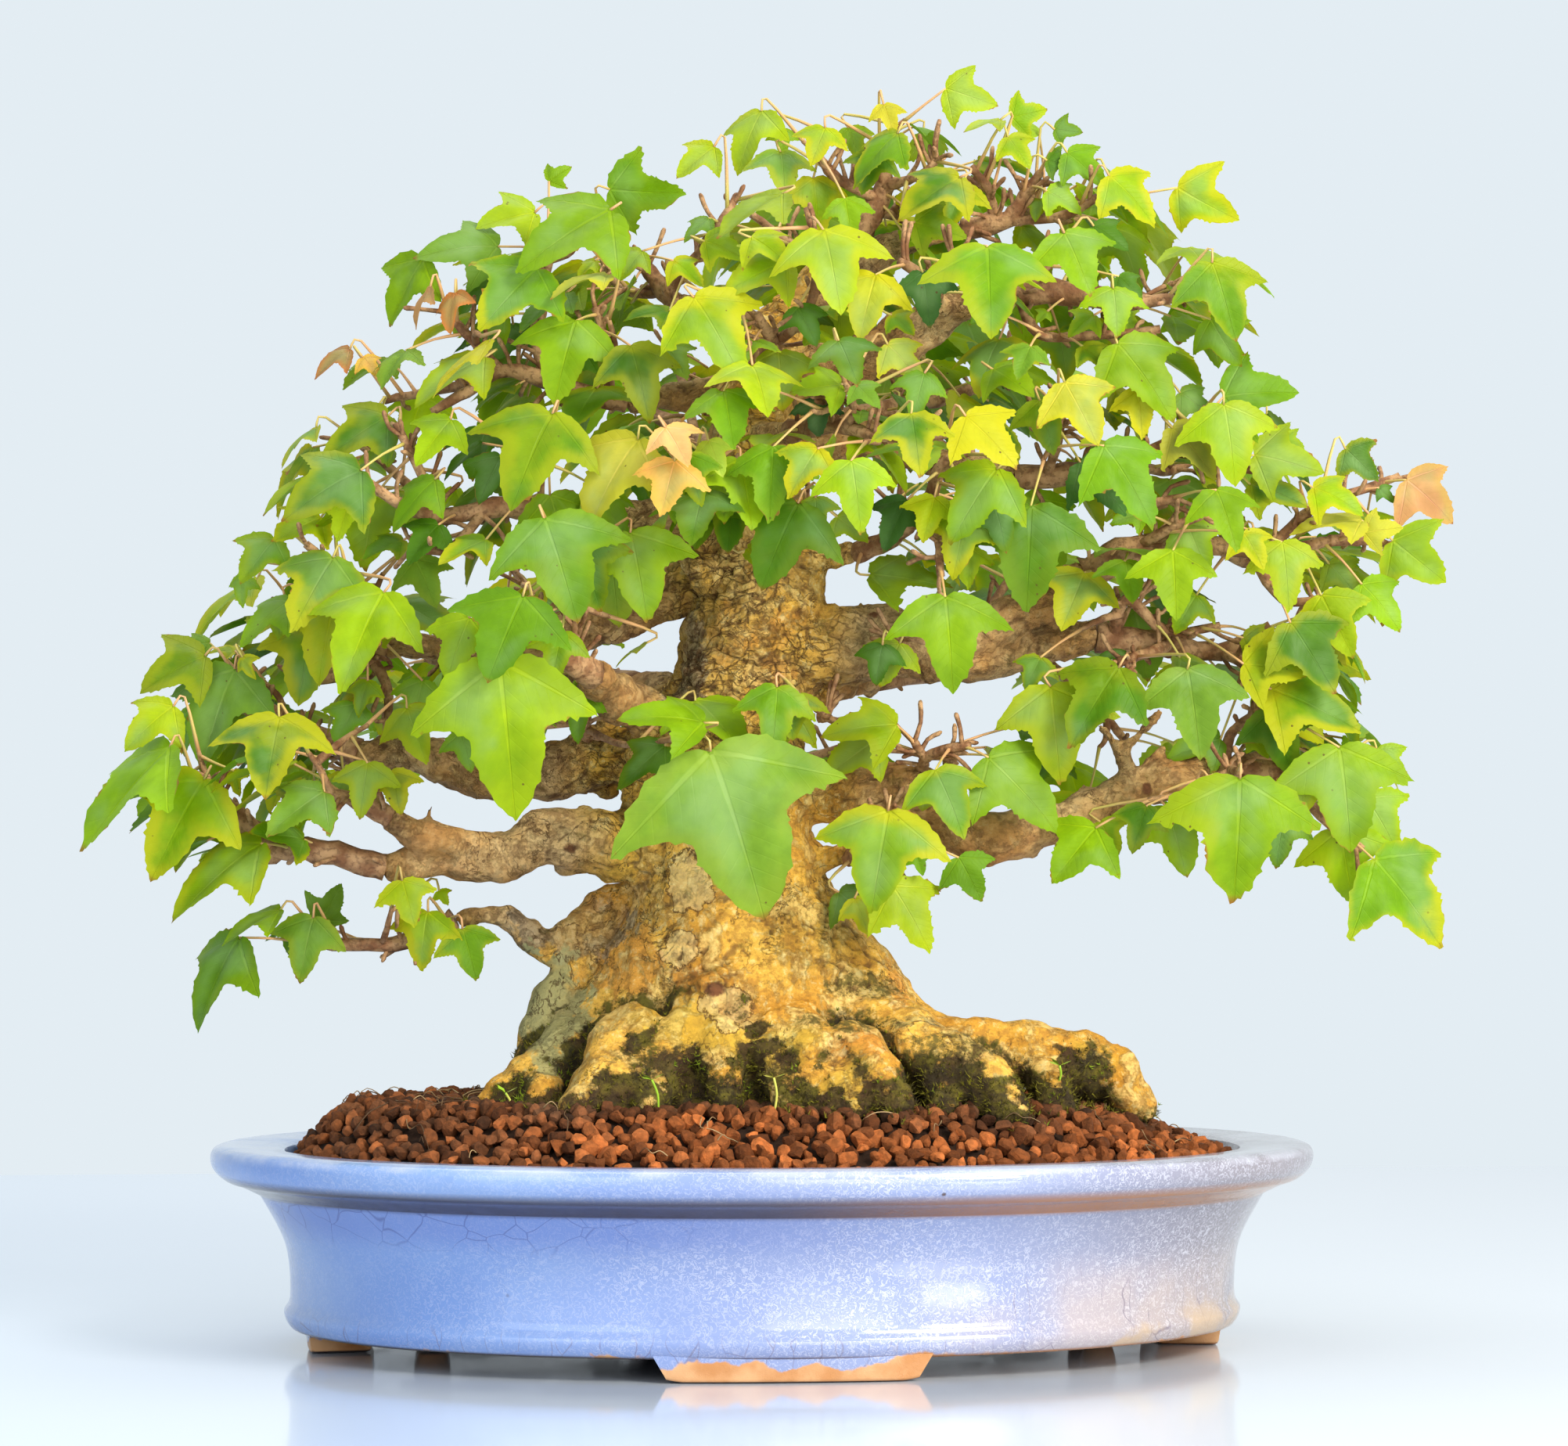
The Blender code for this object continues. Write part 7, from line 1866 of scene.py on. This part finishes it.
def make_soil_grains(material, trunk_tree):
    """Grains in rows over the soil, browner to the left and near the trunk."""
    draw = random.Random("grains")
    shape, faces = grain_shape()
    halves = [Mesh(), Mesh()]
    tints = [[], []]
    row = 0
    y = -POT_DEPTH / 2
    while y < POT_DEPTH / 2:
        x = -POT_LENGTH / 2 + (row % 2) * GRAIN_SPACING / 2
        while x < POT_LENGTH / 2:
            place_x = x + draw.uniform(-1, 1) * GRAIN_SPACING * 0.36
            place_y = y + draw.uniform(-1, 1) * GRAIN_SPACING * 0.36
            x += GRAIN_SPACING
            height, share = soil_surface(place_x, place_y)
            radius = draw.uniform(*GRAIN_RADIUS)
            rim = max(0.0, share - 0.93) / 0.05 * 0.0016
            point = Vector((place_x, place_y, height - radius * 0.5 - rim + draw.uniform(-1, 1) * 0.0011))
            if share > 0.985 or inside(trunk_tree, point):
                continue
            half = int(place_y > 0)
            halves[half].add(cut_grain(shape, point, radius, draw), faces)
            left = max(0.0, min(1.0, (-0.030 - place_x) / 0.06))
            _, _, _, away = trunk_tree.find_nearest(point)
            near_trunk = max(0.0, min(1.0, 1 - away / 0.016))
            dark = min(1.0, left * 0.6 + near_trunk * 0.9 + draw.uniform(-0.25, 0.25))
            tone = draw.choice((0.35, 0.55, 0.7, 0.85, 1.1, 1.5))
            light = Vector((0.225, 0.068, 0.018)) * tone
            deep = Vector((0.060, 0.028, 0.014)) * tone
            tint = light.lerp(deep, max(0.0, dark))
            tints[half] += [(*tint, 1.0)] * len(shape)
        y += GRAIN_SPACING * GRAIN_ROW
        row += 1
    front = halves[0]
    base = soil_sheet()
    start = len(front.vertices)
    front.add(base.vertices, base.faces)
    # The sheet is painted near black, as the shade in the gaps between the grains
    tints[0] += [(0.020, 0.010, 0.006, 1.0)] * (len(front.vertices) - start)
    for mesh, tint, name in ((front, tints[0], "soil_front"), (halves[1], tints[1], "soil_back")):
        piece = mesh.build(name, [material], "soil", ["soil"], smooth=False)
        layer = piece.data.attributes.new("tint", "FLOAT_COLOR", "POINT")
        layer.data.foreach_set("color", [c for t in tint for c in t])


def make_moss(material, mossy):
    """Short tufts on the damp bark between the roots and on the soil at their feet."""
    draw = random.Random("moss")
    moss = Mesh()
    spots = [spot for spot in mossy if spot[0].z > 0.060]
    for point, normal, amount in draw.choices(spots, k=BARK_TUFTS):
        if draw.random() > amount * 1.3:
            continue
        root = point + scatter(draw) * 0.0008 - normal * 0.0003
        for _ in range(3):
            lean = (normal * 0.7 + UP * 0.5 + scatter(draw, 0.8)).normalized()
            length = draw.uniform(0.0009, 0.0026) * (0.6 + 0.4 * amount)
            side = lean.cross(scatter(draw)).normalized() * MOSS_HALF
            moss.add([root + side, root - side, root + lean * length], [(0, 1, 2)])
    for _ in range(SOIL_TUFTS):
        point, normal, _ = draw.choice(spots)
        x, y = point.x + draw.gauss(0, 0.006), point.y + draw.gauss(0, 0.006)
        height, share = soil_surface(x, y)
        if share > 0.97 or noise.noise(Vector((x, y, 0)) * 60) < -0.02:
            continue
        root = Vector((x, y, height + 0.0004))
        for _ in range(4):
            lean = (UP * 0.7 + scatter(draw, 0.8)).normalized()
            side = lean.cross(scatter(draw)).normalized() * MOSS_HALF
            moss.add([root + side, root - side, root + lean * draw.uniform(0.0015, 0.003)], [(0, 1, 2)])
    moss.build("moss", [material], "leaf")


def make_litter(straw, green, trunk_tree):
    """Dry rootlets and straw on the soil, mostly to the left, and seedlings before the trunk."""
    draw = random.Random("litter")
    litter = Mesh()
    placed = 0
    while placed < ROOTLETS:
        x = draw.choice((draw.gauss(-0.095, 0.025), draw.uniform(-0.11, 0.14)))
        y = draw.uniform(-0.10, 0.08)
        height, share = soil_surface(x, y)
        if share > 0.93 or inside(trunk_tree, Vector((x, y, height + 0.002))):
            continue
        placed += 1
        heading = draw.uniform(0, math.tau)
        points = []
        stretch = draw.uniform(0.0016, 0.0048)
        for i in range(5):
            height, share = soil_surface(x, y)
            if share > 0.96:
                break
            arch = (0.0018 if 0 < i < 4 else 0.0004) * draw.uniform(0.4, 1.6)
            points.append(Vector((x, y, height + arch)))
            heading += draw.gauss(0, 0.5)
            x += math.cos(heading) * stretch
            y += math.sin(heading) * stretch
        if len(points) < 3:
            continue
        width = draw.uniform(0.00014, 0.00027)
        litter.add(*fine_tube(points, blend([width, width * 0.6], len(points)), 4, 3, 0.0))
    litter.build("rootlets", [straw], "soil")
    sprouts = Mesh()
    for column, row, near, tall in SEEDLINGS:
        foot = seen(column, row, near)
        foot.z = soil_surface(foot.x, foot.y)[0] if near > 64 else foot.z
        top = foot + Vector((draw.uniform(-0.002, 0.002), -0.002, tall))
        middle = foot.lerp(top, 0.5) + Vector((0.0008, 0, 0))
        sprouts.add(*fine_tube([foot, middle, top], [0.0004] * 3, 5, 3, 0.0))
        for turn in (0.3, 2.2, 4.0):
            out = Vector((math.cos(turn), math.sin(turn) * 0.6, draw.uniform(0.1, 0.6))).normalized()
            across = out.cross(UP).normalized() * 0.0012
            sprouts.add([top, top + out * 0.0022 + across, top + out * 0.0042, top + out * 0.0022 - across],
                        [(0, 1, 2, 3)])
    sprouts.build("seedlings", [green], "leaf")


# Leaves


def toothed_half(draw, deep):
    """One half of a blade's rim, base to tip, with a few small uneven teeth."""
    points = [Vector(p) for p in LEAF_HALF]
    line = smooth_line(points[:LEAF_LOW + 1], 3) + smooth_line(points[LEAF_LOW:], 3)[1:]
    result = [line[0]]
    for i in range(1, len(line) - 1):
        along = (line[i + 1] - line[i - 1]).normalized()
        out = Vector((along.y, -along.x))
        tooth = draw.choice((0.0, -0.2, 0.1, 1.0, -0.4, 0.5)) * draw.uniform(0.5, 1.5) * deep
        fade = min(1.0, i / 9)
        result.append(line[i] + out * tooth * fade + along * draw.uniform(-0.6, 0.6) * deep * fade)
    result.append(line[-1])
    return result


def blade_shape(number):
    """Points, triangles and inwardness of one fine blade, in shares of its length."""
    draw = random.Random(f"shape {number}")
    deep = draw.uniform(0.012, 0.030)
    right, left = toothed_half(draw, deep), toothed_half(draw, deep)
    rim = right + [Vector((-p.x, p.y)) for p in reversed(left[1:-1])]
    filling = []
    for i in range(1, 12):
        filling.append(Vector((0, i * 0.08)))
    for side in (-1, 1):
        for i in range(1, 8):
            filling.append(Vector((side * 0.095 * i, 0.0525 * i)))
    x = -0.72
    while x < 0.72:
        y = -0.05
        while y < 1.0:
            point = Vector((x + draw.uniform(-0.015, 0.015), y + draw.uniform(-0.015, 0.015)))
            if min((point - p).length for p in filling) > LEAF_GRID * 0.6:
                filling.append(point)
            y += LEAF_GRID
        x += LEAF_GRID
    filling = [p for p in filling if within(p.x, p.y, rim) and min((p - r).length for r in rim) > 0.035]
    points = rim + filling
    result = geometry.delaunay_2d_cdt(points, [], [list(range(len(rim)))], 1, 1e-6)
    vertices, faces = result[0], result[2]
    inner = []
    for v in vertices:
        inner.append(min(1.0, min(edge_distance(v, rim[i - 1], rim[i]) for i in range(len(rim))) / 0.16))
    return vertices, faces, inner


def edge_distance(point, a, b):
    """Distance of a place from the straight line between two others."""
    along = b - a
    share = max(0.0, min(1.0, (point - a).dot(along) / max(along.dot(along), 1e-12)))
    return (point - a - along * share).length


def leaf_tint(blade, draw):
    """Colour of one leaf and how far its margin has yellowed."""
    if blade.leaf and (blade.leaf.base_x, blade.leaf.base_y) in ODD_TINTS:
        tint, autumn = ODD_TINTS[blade.leaf.base_x, blade.leaf.base_y]
        return Vector(tint), autumn
    tints = [tint for tint, often in LEAF_TINTS for _ in range(often)]
    tint = Vector(draw.choice(tints))
    autumn = draw.choice((0.0, 0.1, 0.25, 0.4, 0.7))
    return tint * draw.uniform(0.88, 1.12), autumn


def add_blade(mesh, blade, shapes, draw, layers):
    """Fine blade in the place and form of the solid one, with waves along its margin."""
    vertices, faces, inner = draw.choice(shapes)
    phase, waves = draw.uniform(0, math.tau), draw.uniform(5, 9)
    amount = draw.uniform(0.008, 0.022)
    tint, autumn = leaf_tint(blade, draw)
    points = []
    for v, deep in zip(vertices, inner):
        angle = math.atan2(v.x, v.y + 0.2)
        wave = math.sin(waves * angle + phase + 5 * v.y) * amount * (1 - deep)
        points.append(blade.place(v.x, v.y, wave * blade.length))
    mesh.add(points, faces, 0)
    layers["uv"] += [(v.x, v.y) for v in vertices]
    layers["inner"] += inner
    layers["tint"] += [(*tint, 1.0)] * len(vertices)
    layers["autumn"] += [autumn] * len(vertices)


def pad(layers, mesh):
    """Fill the leaf layers for stalks and twigs added since."""
    missing = len(mesh.vertices) - len(layers["inner"])
    layers["uv"] += [(0.0, 0.0)] * missing
    layers["inner"] += [1.0] * missing
    layers["tint"] += [(0.3, 0.3, 0.1, 1.0)] * missing
    layers["autumn"] += [0.0] * missing


def make_spray(name, spray, shapes, materials):
    """One spray: its blades with their stalks, stems, twigs and spurs."""
    draw = random.Random("spray " + name)
    mesh = Mesh()
    layers = {"uv": [], "inner": [], "tint": [], "autumn": []}
    for blade in spray["blades"]:
        add_blade(mesh, blade, shapes, draw, layers)
        stalk = blade.petiole if len(blade.petiole) > 2 else sagging(blade)
        widths = blend([PETIOLE_WIDTH * 0.34, PETIOLE_WIDTH * 0.36, PETIOLE_WIDTH * 0.62], len(stalk))
        mesh.add(*fine_tube(stalk, widths, 5, 3, 0.0), 1)
        pad(layers, mesh)
    for path, radii in spray["stems"]:
        mesh.add(*fine_tube(path, radii, 9, 5, 0.35), 2)
    for path in spray["twigs"]:
        widths = blend([TWIG_RADIUS, TWIG_RADIUS * 0.8, TWIG_RADIUS * 0.55], len(path))
        mesh.add(*fine_tube(path, widths, 6, 4, 0.3), 2)
    for _ in range(len(spray["stems"]) * SPURS):
        add_spur(mesh, draw.choice(spray["stems"]), draw)
    pad(layers, mesh)
    piece = mesh.build("leaves_" + name, materials, "leaf", ["spray_" + name])
    data = piece.data
    corner = data.uv_layers.new(name="blade")
    loops = [loop.vertex_index for loop in data.loops]
    corner.data.foreach_set("uv", [c for i in loops for c in layers["uv"][i]])
    for key in ("inner", "autumn"):
        data.attributes.new(key, "FLOAT", "POINT").data.foreach_set("value", layers[key])
    colour = data.attributes.new("tint", "FLOAT_COLOR", "POINT")
    colour.data.foreach_set("color", [c for t in layers["tint"] for c in t])


def cover_cells(blade):
    """Cells of the front view that a blade hides."""
    spots = [(0, y / 10) for y in range(0, 11, 2)]
    spots += [(s * x, y) for s in (-1, 1) for x, y in ((0.2, 0.15), (0.4, 0.25), (0.2, 0.45), (0.6, 0.36))]
    places = [view_place(blade.place(x, y)) for x, y in spots]
    return {(int(column / COVER_CELL), int(row / COVER_CELL)) for column, row in places}


def place_covering_leaves(crown):
    """Small leaves where the crown is still thin in the front view."""
    draw = random.Random("cover")
    covered, nodes = set(), []
    for name, spray in crown.sprays.items():
        for blade in spray["blades"]:
            covered |= cover_cells(blade)
        for node in spray["nodes"]:
            nodes.append((*view_place(node), name, node))
    cells = [(i, j) for i in range(4, 84) for j in range(4, 58) if (i, j) not in covered]
    draw.shuffle(cells)
    for i, j in cells:
        if (i, j) in covered or draw.random() < 0.2:
            continue
        column, row = (i + 0.5) * COVER_CELL, (j + 0.5) * COVER_CELL
        near = sorted(nodes, key=lambda n: math.hypot(n[0] - column, n[1] + 15 - row))[:6]
        for _ in range(4):
            at_column, at_row, name, node = draw.choice(near)
            if math.hypot(at_column - column, at_row - row) > 150:
                break
            angle = draw.gauss(0.0, 0.8) + (0.35 if column < VIEW_MIDDLE else -0.35)
            lean = math.radians(draw.uniform(0, 50))
            down = Vector((-math.sin(angle), 0, -math.cos(angle)))
            axis = down * math.cos(lean) + TOWARDS * math.sin(lean)
            length = draw.uniform(0.017, 0.029)
            middle = seen(column, row, -node.y / MM + draw.uniform(-6, 16))
            facing = TOWARDS * 0.8 + UP * draw.uniform(0.3, 1.2) + Vector((draw.uniform(-0.5, 0.5), 0, 0))
            blade = Blade(middle - axis * 0.4 * length, axis, facing, length, draw)
            if may_fill(blade) and hang_leaf(crown, name, blade, draw):
                covered |= cover_cells(blade)
                break


def sagging(blade):
    """Leaf stalk with a slight bow."""
    base, root = blade.petiole
    middle = base.lerp(root, 0.5) + blade.normal * 0.05 * (root - base).length
    return [base, middle, root]


def add_spur(mesh, stem, draw):
    """Short twig with a bud, from a stem."""
    path, _ = stem
    i = draw.randrange(len(path) - 1)
    share = draw.random()
    start = path[i].lerp(path[i + 1], share)
    along = (path[i + 1] - path[i]).normalized()
    out = scatter(draw)
    out = (out - along * out.dot(along)).normalized() + along * draw.uniform(0.1, 0.9) + UP * 0.35
    length = draw.uniform(0.004, 0.013)
    middle = start + out.normalized() * length * 0.55
    bend = (out + scatter(draw, 0.6)).normalized()
    end = middle + bend * length * 0.5
    path = [start, middle, end, end + bend * 0.0012]
    mesh.add(*fine_tube(path, [0.0009, 0.0007, 0.00085, 0.0003], 5, 2, 0.2), 2)


# Stage


def make_stage():
    """Pale floor with painted light, bluer to the left, an even wall and soft lights."""
    floor_mesh = bpy.data.meshes.new("floor")
    x, front, back, z = FLOOR_HALF, -FLOOR_HALF, FLOOR_BACK, -0.0002
    corners = [(-x, front, z), (x, front, z), (x, back, z), (-x, back, z)]
    floor_mesh.from_pydata(corners, [], [(0, 1, 2, 3)])
    floor = bpy.data.objects.new("floor", floor_mesh)
    bpy.context.scene.collection.objects.link(floor)
    paint = Paint("floor_pale", 0.09, 0.9)
    # Painted light: the floor is bluer to the left and greyer to the right, as the light falls across it
    across = paint.step(paint.axes()[0], -0.5, 0.4)
    colour = paint.mix(across, (0.58, 0.68, 0.84), (0.63, 0.67, 0.74))
    floor_mesh.materials.append(paint.colour(colour))
    world = bpy.data.worlds.new("studio")
    world.use_nodes = True
    tree = world.node_tree
    wall = tree.nodes["Background"]
    wall.inputs[0].default_value = WALL
    ray = tree.nodes.new("ShaderNodeLightPath")
    seen_plainly = tree.nodes.new("ShaderNodeMath")
    seen_plainly.operation = "MAXIMUM"
    tree.links.new(ray.outputs["Is Camera Ray"], seen_plainly.inputs[0])
    tree.links.new(ray.outputs["Is Glossy Ray"], seen_plainly.inputs[1])
    level = tree.nodes.new("ShaderNodeMapRange")
    level.inputs["To Min"].default_value = WORLD_LIGHT
    level.inputs["To Max"].default_value = WALL_SEEN
    tree.links.new(seen_plainly.outputs[0], level.inputs["Value"])
    tree.links.new(level.outputs[0], wall.inputs[1])
    bpy.context.scene.world = world
    for name, place, size, power, colour in LIGHTS:
        light = bpy.data.lights.new(name, "AREA")
        light.energy, light.size, light.color = power, size, colour
        lamp = bpy.data.objects.new(name, light)
        bpy.context.scene.collection.objects.link(lamp)
        lamp.location = place
        aim = Vector((0, 0, 0.15)) - Vector(place)
        lamp.rotation_euler = aim.to_track_quat("-Z", "Y").to_euler()
    bpy.context.scene.view_settings.view_transform = "Standard"


def make_camera():
    """Camera at the photograph's distance and height, turned with the pot."""
    data = bpy.data.cameras.new("camera")
    camera = bpy.data.objects.new("camera", data)
    bpy.context.scene.collection.objects.link(camera)
    across, up = PICTURE_WIDTH / 2 - VIEW_MIDDLE, VIEW_TABLE - PICTURE_HEIGHT / 2
    middle = Vector((across * PIXEL, 0, up * PIXEL))
    eye = Vector((0, -EYE_DISTANCE, EYE_HEIGHT))
    data.lens = data.sensor_width * (middle - eye).length / (PICTURE_WIDTH * PIXEL)
    eye, middle = TO_PART @ eye, TO_PART @ middle
    camera.location = eye
    camera.rotation_euler = (middle - eye).to_track_quat("-Z", "Y").to_euler()
    bpy.context.scene.camera = camera


def place_leaves():
    """Twigs and leaves by the part's rules, then the small ones that the solids leave out."""
    crown = Crown()
    for node in ("trunk", "soil"):
        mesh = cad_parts[node].data
        points = [TO_VIEW @ v.co for v in mesh.vertices]
        crown.add_obstacle(points, [tuple(p.vertices) for p in mesh.polygons], node, node)
    start_sprays(crown)
    place_listed_leaves(crown, LEAVES)
    place_filling_leaves(crown, "fill", FILL_LEAF_LENGTH, 0)
    for spray in crown.sprays.values():
        for path in [path for path, _ in spray["stems"]] + spray["twigs"]:
            spray["nodes"] += places_along(path)
    place_listed_leaves(crown, SMALL_LEAVES)
    CLEARINGS.extend(BARE_PLACES)
    place_filling_leaves(crown, "small", SMALL_FILL_LENGTH, 9)
    place_covering_leaves(crown)
    return crown


def main():
    """Builds the scene."""
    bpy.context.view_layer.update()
    make_camera()
    make_stage()
    make_fine_pot(glaze_paint())
    plastic = plastic_paint()
    for node in ("drain_mesh_left", "drain_mesh_right"):
        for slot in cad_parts[node].material_slots:
            slot.link = "OBJECT"
            slot.material = plastic
    trunk_tree, mossy = make_fine_trunk(bark_paint())
    make_soil_grains(soil_paint(), trunk_tree)
    make_moss(moss_paint(), mossy)
    make_litter(straw_paint(), sprout_paint(), trunk_tree)
    shapes = [blade_shape(number) for number in range(LEAF_SHAPES)]
    materials = [leaf_paint(), stalk_paint(), twig_paint()]
    for name, spray in place_leaves().sprays.items():
        make_spray(name, spray, shapes, materials)


main()
